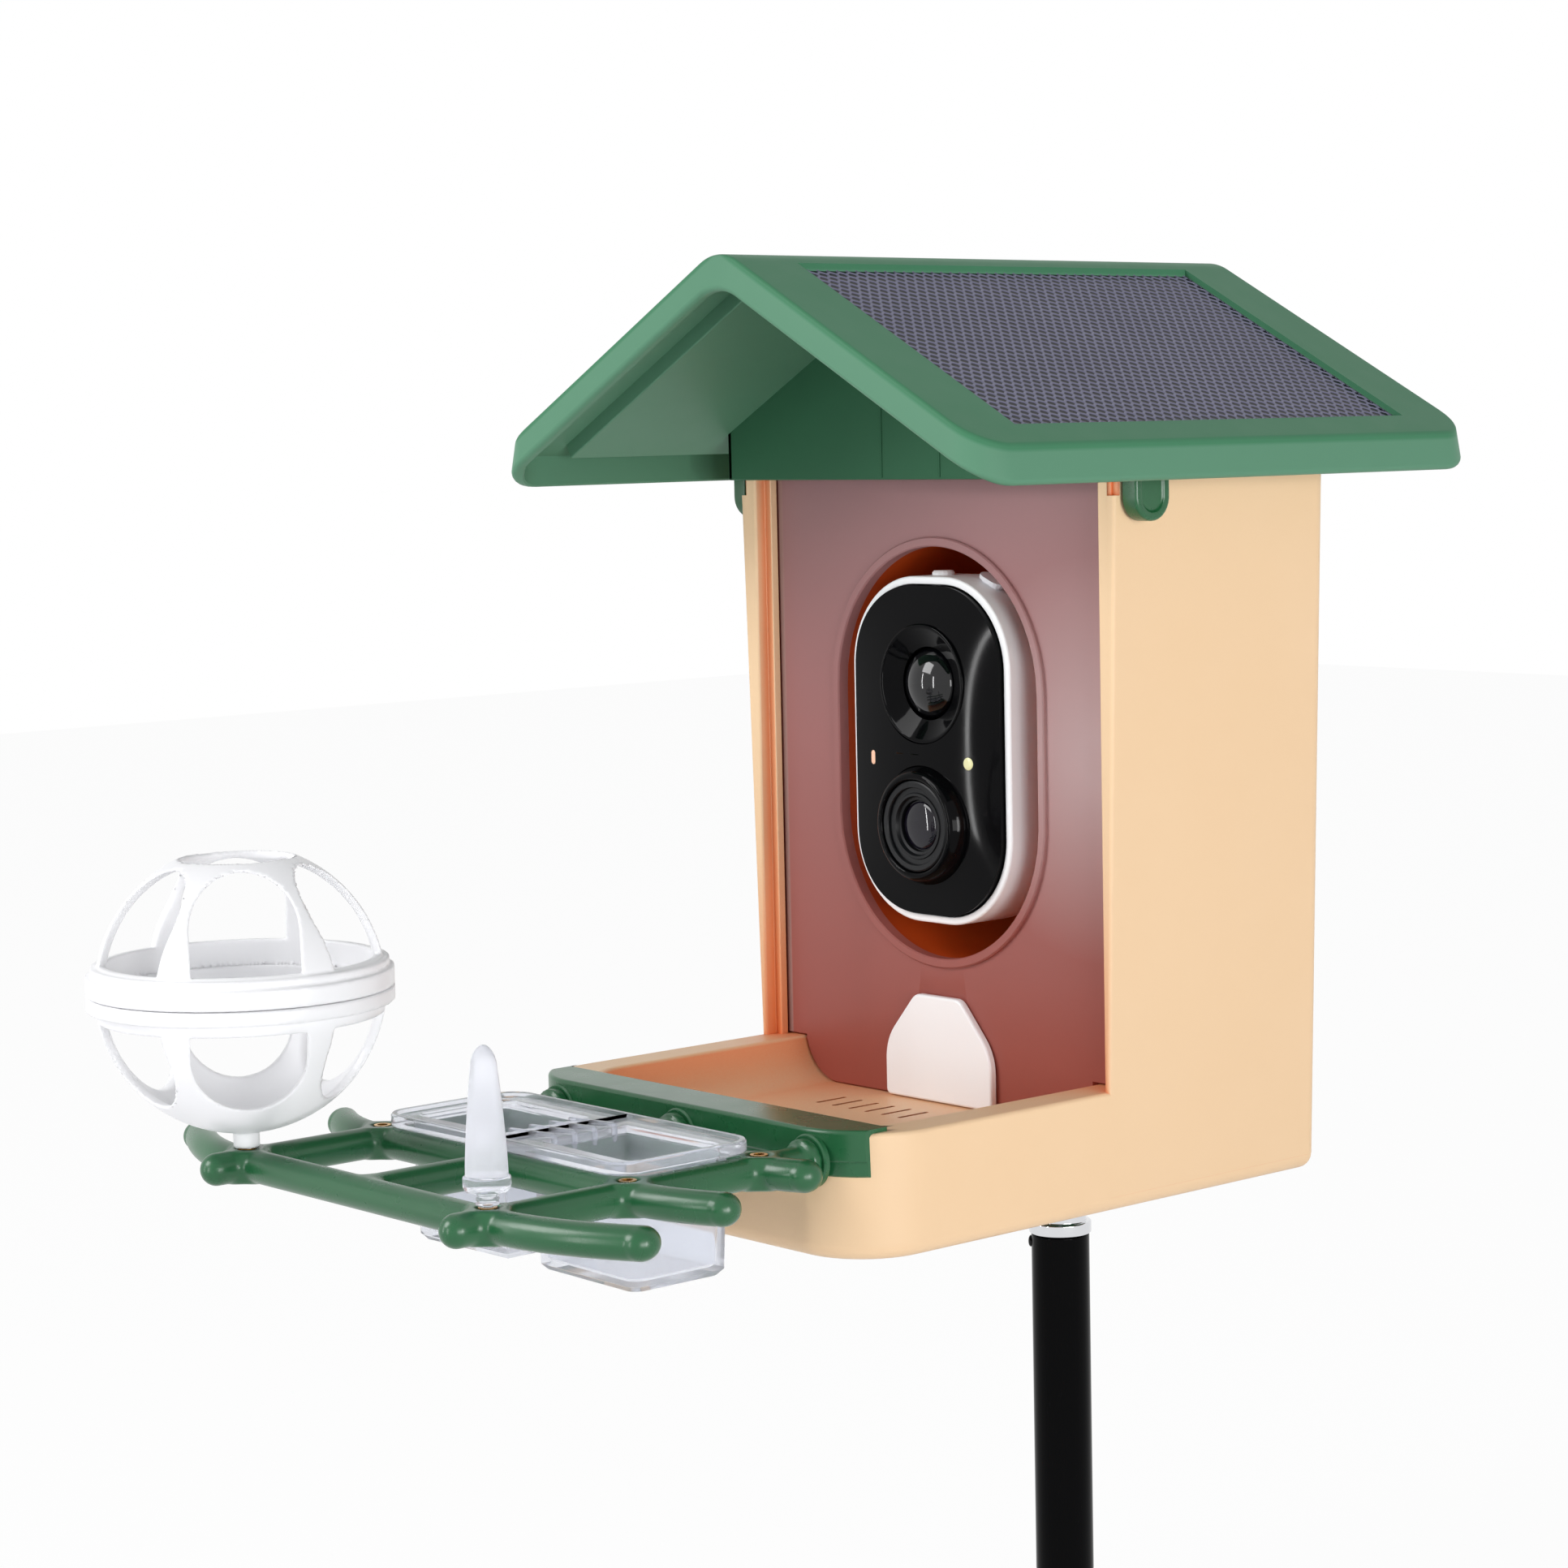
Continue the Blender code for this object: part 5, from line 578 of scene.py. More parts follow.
def carve(item, cutter):
    """Cuts one object out of another and applies the cut."""
    cut = item.modifiers.new("cut", "BOOLEAN")
    cut.operation = "DIFFERENCE"
    cut.solver = "EXACT"
    cut.object = cutter
    merge(item.name, [item])
    bpy.data.objects.remove(cutter)
    return item


def merge(name, items):
    """Applies the modifiers of several objects and gathers their meshes in the first one."""
    graph = bpy.context.evaluated_depsgraph_get()
    graph.update()
    bm = bmesh.new()
    for item in items:
        shape = bpy.data.meshes.new_from_object(item.evaluated_get(graph), depsgraph=graph)
        bm.from_mesh(shape)
        bpy.data.meshes.remove(shape)
    first = items[0]
    first.modifiers.clear()
    bm.to_mesh(first.data)
    bm.free()
    for item in items[1:]:
        bpy.data.objects.remove(item)
    first.name = name
    return first


def seat(item, body, slot, *replaced):
    """Puts a finished piece on its body and hides the CAD nodes that it stands for; the slot is not used."""
    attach(item, body)
    if replaced:
        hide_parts(*replaced)
    print(item.name, "faces:", len(item.data.polygons))
    return item


# %% [markdown]
# ## Pole section
#
# A lacquered steel tube, closed by a chromed collar in two steps. All are turned shapes, so each is a
# profile of radius and height. The rivet is a small dome on the tube's side.


# %% Pole pieces
def pole():
    """Three turned profiles: a tube of 16 mm, a collar in two steps and a rivet of quarter circle section."""
    radius = 8 * MM
    top = tube_high.z
    foot = tube_low.z
    profile = rounded([(6.3 * MM, foot), (radius, foot), (radius, top), (6.8 * MM, top)],
                      [0, 0.5 * MM, 0.4 * MM, 0], 4)
    seat(soften(solid("pole_skin", turned(profile, (0, 0, 0), steps=128, closed=True), POLE_BLACK), 0),
         "pole", "gloss_black_paint", "pole_tube")
    low, high = top + GAP, top + GAP + 7 * MM
    step = low + 3.4 * MM
    edge = 0.5 * MM
    corners = [(4 * MM, low), (8.6 * MM, low), (8.6 * MM, step), (7.3 * MM, step), (7.3 * MM, high),
               (3.6 * MM, high)]
    profile = rounded(corners, [0, edge, edge, edge * 0.6, edge, 0], 4)
    seat(soften(solid("collar_skin", turned(profile, (0, 0, 0), closed=True), CHROME), 0),
         "pole", "chrome_plate", "pole_collar")
    turn = math.radians(221)
    rise = np.radians(np.linspace(0, 90, 7))
    dome = np.column_stack([1.6 * MM * np.cos(rise), radius + GAP / 2 + 0.7 * MM * np.sin(rise)])
    points, faces = turned(np.vstack([[0, radius - GAP], [1.6 * MM, radius - GAP], dome]), (0, 0, 0), "X", 24)
    spun = points @ np.array([[math.cos(turn), math.sin(turn), 0], [-math.sin(turn), math.cos(turn), 0],
                              [0, 0, 1]])
    spun[:, 2] += top - 2.4 * MM
    seat(solid("rivet_skin", (spun, faces), SATIN_BLACK), "pole", "black_plastic", "pole_rivet")


pole()

# %% [markdown]
# ## Housing
#
# The housing is one cream moulding. Its tray is a skin that starts under the floor, turns round the foot,
# goes up the outer wall, over the rim and down the basin to the floor: one loft through outlines at each
# height. The walls above the tray are a second loft, a U-shaped outline with guide rails for the clear
# front.


# %% Tray
def half_width(z):
    """Half the housing's width at a height: the side walls lean out as they rise."""
    return HALF_BASE + FLARE * (z - BASE)


def quarter(count):
    """Turns of a quarter circle, from 0 to 90 degrees."""
    return np.radians(np.linspace(0, 90, count))


def tray():
    """One loft through plan outlines: round foot and rim are quarter circles of inset against height."""
    step = WALL_FRONT + POST_DEPTH
    steps = 12

    def outer(z, inset, radius=21 * MM):
        """The plan of the outer wall at a height, drawn in by an inset."""
        half = half_width(z) - inset - 0.02 * MM
        corners = [(-half, TRAY_FRONT + inset), (half, TRAY_FRONT + inset), (half, step), (half, step + MM),
                   (half, WALL_BACK - inset - 0.02 * MM), (-half, WALL_BACK - inset - 0.02 * MM),
                   (-half, step + MM), (-half, step)]
        back = max(3.5 * MM - inset, 0.4 * MM)
        radii = [radius - inset, radius - inset, 0, 0, back, back, 0, 0]
        return place(rounded(corners, radii, steps), "Z", z)

    def inner(z, inset):
        """The plan of the basin at a height, drawn in by an inset, with the hopper's room behind it."""
        side = half_width(RIM_Z) - BASIN_SIDE - inset
        front = TRAY_FRONT + BASIN_FRONT + inset
        room = half_width(z) - WALL + 0.8 * MM
        back = WALL_BACK - WALL + 0.8 * MM
        corners = [(-side, front), (side, front), (side, step), (room, step), (room, back), (-room, back),
                   (-room, step), (-side, step)]
        corner = max(12 * MM - inset * 0.3, MM)
        return place(rounded(corners, [corner, corner, 0, 0, 2 * MM, 2 * MM, 0, 0], steps), "Z", z)

    foot, edge, lip = 4.2 * MM, 1.1 * MM, 1.3 * MM
    turns = quarter(7)
    rings = [outer(SLAB_FOOT, 4.4 * MM), outer(BASE + 0.4 * MM, 4.4 * MM)]
    rings += [outer(BASE + foot * (1 - math.sin(a)), foot * (1 - math.cos(a))) for a in turns[::-1]]
    rings += [outer(RIM_Z - edge * (1 - math.sin(a)), edge * (1 - math.cos(a))) for a in turns]
    rings += [inner(RIM_Z - lip * (1 - math.cos(a)), -lip * (1 - math.sin(a))) for a in turns]
    drop, reach = RIM_Z - lip - FLOOR_Z, 11.8 * MM
    for a in quarter(10)[1:]:
        share = a / (math.pi / 2)
        inset = reach * (0.6 * (1 - math.cos(a)) + 0.4 * share)
        rings.append(inner(RIM_Z - lip - drop * math.sin(a), inset))
    return solid("tray_skin", loft(rings), CREAM)


# %% Walls with their guide rails
def walls():
    """One loft of a U-shaped plan that widens with height; each front post has two rails across it."""
    reach = 2.5 * MM
    stops = np.array([3.6, 5.9, 8.7, 11.0]) * MM

    def plan(z, inset=0.0):
        """The U-shaped plan at a height, its outside drawn in by an inset."""
        half = half_width(z) - inset
        back = WALL_BACK - inset
        inside = half_width(z) - WALL
        clear_x, rail_x = POST_CLEAR, POST_CLEAR - reach
        ys = WALL_FRONT + stops
        post = [(clear_x, WALL_FRONT), (clear_x, ys[0]), (rail_x, ys[0]), (rail_x, ys[1]), (clear_x, ys[1]),
                (clear_x, ys[2]), (rail_x, ys[2]), (rail_x, ys[3]), (clear_x, ys[3]),
                (clear_x, WALL_FRONT + POST_DEPTH), (inside, WALL_FRONT + POST_DEPTH),
                (inside, WALL_BACK - WALL)]
        tiny = 0.3 * MM
        post_radii = [0.8 * MM, tiny, tiny, tiny, tiny, tiny, tiny, tiny, tiny, 0, tiny, 1.5 * MM]
        outer = [(half, back), (half, WALL_FRONT)]
        corners = outer + post + [(-x, y) for x, y in reversed(outer + post)]
        radii = [3.5 * MM - inset * 0.5, 0.9 * MM] + post_radii
        return place(rounded(corners, radii + radii[::-1], 5), "Z", z)

    heights = (BASE + 4.2 * MM, RIM_Z, (RIM_Z + BODY_TOP) / 2, BODY_TOP - 0.4 * MM)
    rings = [plan(z) for z in heights]
    rings.append(plan(BODY_TOP, 0.4 * MM))
    return solid("walls_skin", loft(rings), CREAM)


# %% Slots, ribs and lugs
def slots():
    """Drain slots in front of the gate, as one cutter of round-ended bars."""
    pitch, count, width, length = 6.4 * MM, 9, 1.3 * MM, 10.8 * MM
    middle = WALL_FRONT - 16.8 * MM + length / 2
    xs = (np.arange(count) - (count - 1) / 2) * pitch
    bars = [prism(oval(width / 2, length / 2, width / 2, (x, middle), 4), "Z", SLAB_FOOT - MM, FLOOR_Z + MM)
            for x in xs]
    return solid("slot_cutter", bars, CREAM)


def knuckle_arc(start, end, count):
    """An arc of the hinge's knuckle seen from the side: centre + radius * (cos, sin), turns in degrees."""
    turns = np.radians(np.linspace(start, end, count))
    return np.column_stack([HINGE_Y + KNUCKLE * np.cos(turns), HINGE_Z + KNUCKLE * np.sin(turns)])


def underside():
    """Ribs and the round boss under the tray, and the two pairs of hinge lugs behind."""
    half = half_width(BASE) - 4.6 * MM
    low, high = BASE + 4 * MM, SLAB_FOOT + MM
    rib = 0.8 * MM
    parts = [block((x - rib, TRAY_FRONT + 4.6 * MM, low), (x + rib, WALL_BACK - 4.6 * MM, high))
             for x in (-half / 2, half / 2)]
    ys = (TRAY_FRONT + 42.5 * MM, WALL_FRONT)
    parts += [block((-half, y - rib, low), (half, y + rib, high)) for y in ys]
    parts.append(block((-rib, TRAY_FRONT + 4.6 * MM, low), (rib, -18 * MM, high)))
    boss_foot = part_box("mount_adapter")[1].z + GAP
    parts.append(turned([(19.6 * MM, boss_foot), (20 * MM, boss_foot + 0.4 * MM), (20 * MM, high),
                         (3.6 * MM, high), (3.6 * MM, boss_foot)], (0, 0, 0), closed=True))
    start = WALL_BACK - WALL / 2
    outline = np.vstack([[start, HINGE_Z - KNUCKLE * 2.6], [HINGE_Y, HINGE_Z - KNUCKLE],
                         knuckle_arc(-60, 120, 13), [start, HINGE_Z + KNUCKLE * 0.8]])
    inner, outer = 6.3 * MM, 9.8 * MM
    for centre in (-HINGE_X, HINGE_X):
        for near in (-1, 1):
            ends = sorted((centre + near * inner, centre + near * outer))
            parts.append(prism(outline, "X", ends[0], ends[1]))
    return solid("underside_skin", parts, CREAM)


def catch_cutters():
    """The notch that each latch's catch needs in the wall's front edge."""
    edge = half_width(CATCH_TOP)
    shells = []
    for side in (-1, 1):
        xs = sorted((side * (edge - 2.6 * MM), side * (edge + 2 * MM)))
        shells.append(block((xs[0], WALL_FRONT - MM, CATCH_TOP - 4.2 * MM),
                            (xs[1], WALL_FRONT + 2 * MM, CATCH_TOP)))
    return solid("catch_cutter", shells, CREAM)


# %% The housing as one piece
basin = carve(tray(), slots())
upper = carve(walls(), catch_cutters())
housing = merge("housing_skin", [soften(basin, 0), soften(upper, 0), soften(underside(), 0.25 * MM, 2)])
seat(housing, "housing", "cream_plastic", "housing_shell")

# %% [markdown]
# ## Roof
#
# The roof is a saddle: a rounded ridge, two flat slopes with a sunk field for the solar panels, a rim
# that turns down all round, and a hollow underside. The top is a grid of x and y lines whose corners are
# pulled round, and the rim is a loft down from the grid's own border, so the two meet point for point.


# %% Roof surface
RIDGE_R = 15 * MM
DRAFT = 1.1 * MM
RECESS = dict(inner=8 * MM, outer=84 * MM, front=WALL_FRONT - 47.1 * MM, back=WALL_BACK + 15.2 * MM)
PANEL_DEPTH = 1.7 * MM
RECESS_DEPTH = 2.6 * MM


def roof_height(x):
    """Height of the outer slopes: two planes, joined over the middle by an arc that touches both."""
    touch = RIDGE_R * math.sin(SLOPE)
    plane = RIDGE_Z - math.tan(SLOPE) * np.abs(x)
    crown = RIDGE_Z - RIDGE_R / math.cos(SLOPE) + np.sqrt(np.maximum(RIDGE_R ** 2 - x ** 2, 0))
    return np.where(np.abs(x) < touch, crown, plane)


def pull_corners(x, y, half, front, back, radius):
    """Rounds a rectangle's corners: inside each corner square a point moves in along its own ray."""
    centre_y = np.where(y < (front + back) / 2, front + radius, back - radius)
    a = np.maximum(np.abs(x) - (half - radius), 0) / radius
    b = np.maximum(np.abs(y - centre_y), 0) / radius
    beyond = (a > 0) & (b > 0) & (((y < centre_y) & (centre_y < (front + back) / 2))
                                  | ((y > centre_y) & (centre_y > (front + back) / 2)))
    size = np.hypot(a, b)
    pull = np.where(beyond & (size > 0), np.maximum(a, b) / np.where(size > 0, size, 1), 1)
    new_x = np.sign(x) * np.where(beyond, half - radius + a * pull * radius, np.abs(x))
    new_y = np.where(beyond, centre_y + np.sign(y - centre_y) * b * pull * radius, y)
    return new_x, new_y


def roof_grid(inset, sunk):
    """Points of one roof face, drawn in from the outline: x lines close up at the ridge and the corners."""
    half, front, back = ROOF_HALF - inset, ROOF_FRONT + inset, ROOF_BACK - inset
    radius = 12 * MM - inset
    ridge = np.linspace(0, RIDGE_R * math.sin(SLOPE), 9)
    rise = np.linspace(RECESS["outer"], half, 6)
    right = np.concatenate([ridge, [RECESS["inner"]] * 2, [40 * MM], [half - radius],
                            [RECESS["outer"]], rise])
    right = np.sort(right)
    xs = np.concatenate([-right[:0:-1], right])
    ys = np.concatenate([np.linspace(front, front + radius, 7), [RECESS["front"]] * 2,
                         np.linspace(RECESS["front"], RECESS["back"], 5)[1:-1], [RECESS["back"]] * 2,
                         np.linspace(back - radius, back, 7)])
    x, y = np.meshgrid(xs, ys, indexing="ij")
    col, row = np.meshgrid(np.arange(len(xs)), np.arange(len(ys)), indexing="ij")
    x, y = pull_corners(x, y, half, front, back, radius)
    z = roof_height(x)
    if sunk:
        mirror = len(xs) - 1 - col
        out = np.maximum(col, mirror) - (len(right) - 1)
        in_x = (out >= 10) & (np.abs(x) <= RECESS["outer"] + 1e-6) & (out < len(right) - 6)
        in_y = (row >= 8) & (row <= len(ys) - 9)
        z = np.where(in_x & in_y, z - sunk / math.cos(SLOPE), z)
    return np.stack([x, y, z], -1)


def border(grid):
    """The grid's outer points in order, once round."""
    return np.concatenate([grid[:-1, 0], grid[-1, :-1], grid[:0:-1, -1], grid[0, :0:-1]])


print("slopes fall", round(math.degrees(SLOPE), 1), "degrees from the ridge")


# %% The roof's skin
def roof():
    """Top grid, a rim that goes down from its border in two quarter circles, and an inner grid under it."""
    edge, foot, lip = 0.9 * MM, 1.6 * MM, 3.4 * MM
    top = roof_grid(DRAFT + edge, RECESS_DEPTH)
    rows, cols = top.shape[:2]
    shells = [(top.reshape(-1, 3), grid_faces(rows, cols, False).tolist())]
    under = roof_grid(lip, 0)
    under[..., 2] -= 2.4 * MM / math.cos(SLOPE)
    shells.append((under.reshape(-1, 3), grid_faces(rows, cols, False).tolist()))

    def outline(inset):
        """The border of the roof's plan, drawn in by an inset, at the slopes' height."""
        return border(roof_grid(inset, 0))

    outer = outline(0)
    low = np.maximum(roof_height(outer[:, 0]) - 8 * MM / math.cos(SLOPE), EAVE_FOOT_Z)
    rings = [outline(DRAFT + edge)]
    for a in quarter(5)[1:]:
        ring = outline(DRAFT + edge * (1 - math.sin(a)))
        ring[:, 2] -= edge * (1 - math.cos(a))
        rings.append(ring)
    for a in quarter(5):
        ring = outline(foot * (1 - math.cos(a)))
        ring[:, 2] = low + foot * (1 - math.sin(a))
        rings.append(ring)
    for inset, rise in ((lip - 0.5 * MM, 0), (lip, 0.5 * MM)):
        ring = outline(inset)
        ring[:, 2] = low + rise
        rings.append(ring)
    rings.append(border(under))
    shells.append(loft(rings, False, False))
    return soften(solid("roof_skin", joined(shells), ROOF_GREEN, 30), 0)


# %% Under the roof
def slope_outline(x_low, x_high, deep_low, deep_high, side):
    """The cut end of a slab that lies along a slope, between two depths square to it."""
    def at(x, depth):
        """A point at a distance from the ridge and a depth square to the slope."""
        return (side * (x - depth * math.sin(SLOPE)),
                RIDGE_Z - math.tan(SLOPE) * x - depth * math.cos(SLOPE))
    return [at(x_low, deep_low), at(x_high, deep_low), at(x_high, deep_high), at(x_low, deep_high)]


def roof_pockets():
    """Pockets behind the panels."""
    margin = 2.4 * MM
    parts = [prism(slope_outline(RECESS["inner"] - margin, RECESS["outer"] + margin, 2 * MM, 6.4 * MM, side),
                   "Y", RECESS["front"] - margin, RECESS["back"] + margin) for side in (-1, 1)]
    return soften(solid("roof_pockets", parts, ROOF_GREEN), 0.45 * MM, 3)


def roof_inside():
    """The gable wall, the collar round the housing and the hinge knuckles."""
    parts = []
    collar = half_width(BODY_TOP) + GAP + 1.9 * MM
    foot = CATCH_TOP
    deep = (RECESS_DEPTH + 0.8 * MM) / math.cos(SLOPE)
    shoulder = RIDGE_Z - deep - math.tan(SLOPE) * collar
    front, back = GABLE_FRONT, WALL_BACK + GAP + 1.9 * MM

    def gable(bottom):
        """The five-cornered plan of a gable wall, from a bottom height up to just under the ridge."""
        return [(-collar, bottom), (collar, bottom), (collar, shoulder), (0, RIDGE_Z - 3.4 * MM),
                (-collar, shoulder)]

    parts.append(prism(gable(foot), "Y", front, WALL_FRONT - GAP))
    parts.append(prism(gable(HINGE_Z + 4.6 * MM), "Y", WALL_BACK + GAP, back))
    window = (WALL_FRONT + 1.7 * MM, WALL_FRONT + 14.7 * MM)
    for side in (-1, 1):
        xs = sorted((side * (collar - 1.9 * MM), side * collar))
        parts.append(block((xs[0], window[1], foot), (xs[1], back, shoulder)))
        parts.append(block((xs[0], front, foot), (xs[1], window[0], shoulder)))
    outline = np.vstack([[back - 0.4 * MM, HINGE_Z + 8.2 * MM], [back - 0.4 * MM, HINGE_Z + 4.6 * MM],
                         knuckle_arc(165, 390, 16)])
    parts += [prism(outline, "X", x - 6 * MM, x + 6 * MM) for x in (-HINGE_X, HINGE_X)]
    # The gable wall, collar and knuckles take the darker green of painted shade.
    return soften(solid("roof_inside", parts, SHADED_GABLE_GREEN), 0.45 * MM, 3)


def gable_lines():
    """Two fine upright mould lines on the front gable."""
    front, foot = GABLE_FRONT, BODY_TOP - 4.6 * MM
    half, top = 0.2 * MM, RIDGE_Z - 14 * MM
    bars = [block((x - half, front - 0.15 * MM, foot), (x + half, front + half, top))
            for x in (-11 * MM, 11 * MM)]
    return soften(solid("gable_lines", bars, SHADED_GABLE_GREEN), 0)


# %% The roof in two pieces
seat(merge("roof_skin", [roof(), roof_pockets()]), "roof", "roof_green_plastic", "roof_shell")
seat(merge("gable_skin", [roof_inside(), gable_lines()]), "roof", "roof_green_plastic")


# %% [markdown]
# ## Solar panels
#
# Seen close, each panel carries a net of stretched hexagons. One hexagon is two rings of six small quads
# between its outline and the same outline drawn in, so the whole net is one array of centres and one array
# of corners.


# %% The net of hexagons
def net(side):
    """Stretched hexagons, a pitch apart along the eave and a row apart down it; each strand is a ridge."""
    pitch, row = 3.3 * MM, 2.26 * MM
    length = (RECESS["outer"] - RECESS["inner"]) / math.cos(SLOPE)
    depth = RECESS["back"] - RECESS["front"]
    count_s, count_y = int(length / row) + 1, int(depth / pitch) + 1
    i, j = np.meshgrid(np.arange(count_s), np.arange(count_y), indexing="ij")
    s = (i.ravel() + 0.5) * row
    y = (j.ravel() + 0.5 + 0.5 * (i.ravel() % 2)) * pitch
    corners = np.array([(0, -0.76), (0.5, -0.24), (0.5, 0.24), (0, 0.76), (-0.5, 0.24), (-0.5, -0.24)])
    shares, lifts = np.array([1.0, 0.87, 0.74]), np.array([0.30, 0.24, 0.02]) * MM
    ring = shares[:, None, None] * (corners * (pitch, row))[None]
    flat = np.stack([y, s], -1)[:, None, None] + ring[None]
    margin = 0.4 * MM
    along = np.clip(flat[..., 0], margin, depth - margin)
    down = np.clip(flat[..., 1], margin, length - margin)
    x = RECESS["inner"] + down * math.cos(SLOPE)
    deep = PANEL_DEPTH - lifts[None, :, None]
    points = np.stack([side * (x - deep * math.sin(SLOPE)), RECESS["front"] + along,
                       RIDGE_Z - math.tan(SLOPE) * x - deep * math.cos(SLOPE)], -1).reshape(-1, 3)
    base = np.arange(len(s))[:, None] * 18
    k, k2 = np.arange(6)[None], (np.arange(6)[None] + 1) % 6
    bands = [np.stack([base + o + k, base + o + k2, base + o + 6 + k2, base + o + 6 + k], -1).reshape(-1, 4)
             for o in (0, 6)]
    return points, np.concatenate(bands)


for net_side, net_tag in ((1, "right"), (-1, "left")):
    strands = from_arrays(f"solar_net_{net_tag}", *net(net_side), NET, 0.01 * MM)
    seat(strands, "roof", "solar_panel")
    nodes[f"solar_panel_{net_tag}"].data.materials.clear()
    nodes[f"solar_panel_{net_tag}"].data.materials.append(CELLS)


# %% [markdown]
# ## Latches
#
# Each latch is a tongue with a round foot. Its outer face is dished, so a thumb can pull it.


# %% Latch tongues
def latch(side):
    """Outlines with a round foot, lofted outwards; the edge is a quarter circle and the face is dished."""
    low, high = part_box("roof_latch_right" if side > 0 else "roof_latch_left")
    middle, half = (low.y + high.y) / 2, (high.y - low.y) / 2
    inner = low.x if side > 0 else high.x
    thick = high.x - low.x

    def ring(x, inset):
        """The tongue's outline at a distance x, drawn in by an inset."""
        foot, head = low.z + inset, high.z - inset * 0.2
        corners = [(middle - half + inset, foot), (middle + half - inset, foot),
                   (middle + half - inset, head), (middle - half + inset, head)]
        radius = (half - inset) * 0.98
        return place(rounded(corners, [radius, radius, 0.3 * MM, 0.3 * MM], 10), "X", x)

    edge, rim, dish = 0.9 * MM, 2.0 * MM, 0.8 * MM
    outer = inner + side * thick
    rings = [ring(inner, 0.4 * MM), ring(inner + side * 0.4 * MM, 0)]
    rings += [ring(outer - side * edge * (1 - math.sin(a)), edge * (1 - math.cos(a))) for a in quarter(6)]
    rings += [ring(outer, rim), ring(outer - side * dish * 0.4, rim + 0.3 * MM),
              ring(outer - side * dish, rim + 0.9 * MM)]
    return solid("latch_skin_" + ("right" if side > 0 else "left"), loft(rings), GREEN, 50)


for latch_side, latch_tag in ((1, "right"), (-1, "left")):
    seat(soften(latch(latch_side), 0), f"latch_{latch_tag}", "green_plastic", f"roof_latch_{latch_tag}")


# %% [markdown]
# ## Clear front
#
# The clear front is a plate with a rimmed oval hole. It is a ring-shaped skin: it runs from the hole's
# edge over the rim, out to the border, round to the back and home again, closing on itself both ways.


# %% The clear front's outline
def panel_border(inset, count_side):
    """The plate's outline from the foot's middle round: ears over the tray's rim, then the basin's curve."""
    side = half_width(RIM_Z) - BASIN_SIDE - 0.7 * MM
    reach, drop = 11.8 * MM, RIM_Z - FLOOR_Z - 1.3 * MM
    a = quarter(count_side)
    curve = reach * (0.6 * (1 - np.cos(a)) + 0.4 * a / (np.pi / 2))
    xs = side - curve - inset
    zs = RIM_Z - 1.3 * MM - drop * np.sin(a) + GAP + inset
    half = POST_CLEAR - GAP - inset
    ear = RIM_Z + GAP + inset
    return np.vstack([np.column_stack([xs, zs])[::-1],
                      [[side - inset, ear], [half, ear], [half, OVAL_CENTRE_Z],
                       [half, BODY_TOP - 1.5 * MM - inset]]])


print("corners of the border on one side:", len(panel_border(0, 10)))


# %% Front panel
def front_panel():
    """Ten rings: hole, rim, border, back and home. Each hole point lies on the ray to its border point."""
    border_right = panel_border(0, 10)
    top = border_right[-1]
    extra = np.column_stack([np.linspace(top[0], 0, 5)[1:], np.full(4, top[1])])
    right = np.vstack([border_right, extra])
    left = right[::-1][1:] * (-1, 1)
    foot = np.column_stack([np.linspace(left[-1, 0], right[0, 0], 6)[1:-1], np.full(4, right[0, 1])])
    loop = np.vstack([right, left, foot])
    spans = np.linspace(0, 1, 9)[:-1, None]
    loop = np.vstack([p + (q - p) * spans for p, q in zip(loop, np.roll(loop, -1, 0))])

    def hole(inset):
        """The oval on each ray: reach = half / |cos| on a straight side, the root of the circle on a cap."""
        half, tall = OVAL_HALF - inset, OVAL_HEIGHT - inset
        straight = tall - half
        angle = np.arctan2(loop[:, 1] - OVAL_CENTRE_Z, loop[:, 0])
        c, s = np.cos(angle), np.sin(angle)
        side_t = half / np.maximum(np.abs(c), 1e-9)
        on_side = side_t * np.abs(s) <= straight
        b = straight * np.abs(s)
        cap_t = b + np.sqrt(np.maximum(b * b - straight ** 2 + half ** 2, 0))
        t = np.where(on_side, side_t, cap_t)
        return np.column_stack([t * c, OVAL_CENTRE_Z + t * s])

    def edge_in(inset):
        """The border drawn towards the oval's centre by an inset."""
        centre = np.array([0, OVAL_CENTRE_Z])
        away = loop - centre
        return centre + away * (1 - inset / np.linalg.norm(away, axis=1, keepdims=True))

    front, back = PANEL_FRONT, PANEL_BACK
    proud, rim, r = 1.2 * MM, 2.5 * MM, 0.35 * MM
    rings = [place(hole(rim - r), "Y", front - proud), place(hole(r), "Y", front - proud),
             place(hole(0), "Y", front - proud + r), place(hole(0), "Y", front),
             place(edge_in(r), "Y", front), place(loop, "Y", front + r), place(loop, "Y", back - r),
             place(edge_in(r), "Y", back), place(hole(rim), "Y", back),
             place(hole(rim), "Y", front - proud + r)]
    plate = solid("front_panel_skin", loft(rings, closed=True), SMOKE, 40)
    slot_half, slot_top = 11.8 * MM, FLOOR_Z + 14.4 * MM
    corners = [(-slot_half, FLOOR_Z - MM), (slot_half, FLOOR_Z - MM), (slot_half, slot_top),
               (-slot_half, slot_top)]
    slot = prism(rounded(corners, [0, 0, GAP, GAP]), "Y", front - 3 * MM, back + 2 * MM)
    return soften(carve(plate, solid("slot_cutter", slot, SMOKE)), 0)


seat(front_panel(), "housing", "smoky_clear", "front_panel")

# %% [markdown]
# ## Camera bay and seed gate
#
# The bay is an oval tunnel with a closed back, and its wall turns into the back by a quarter circle. The
# gate is a small shield in front of the clear front. A neck joins it through a slot to a tail behind.


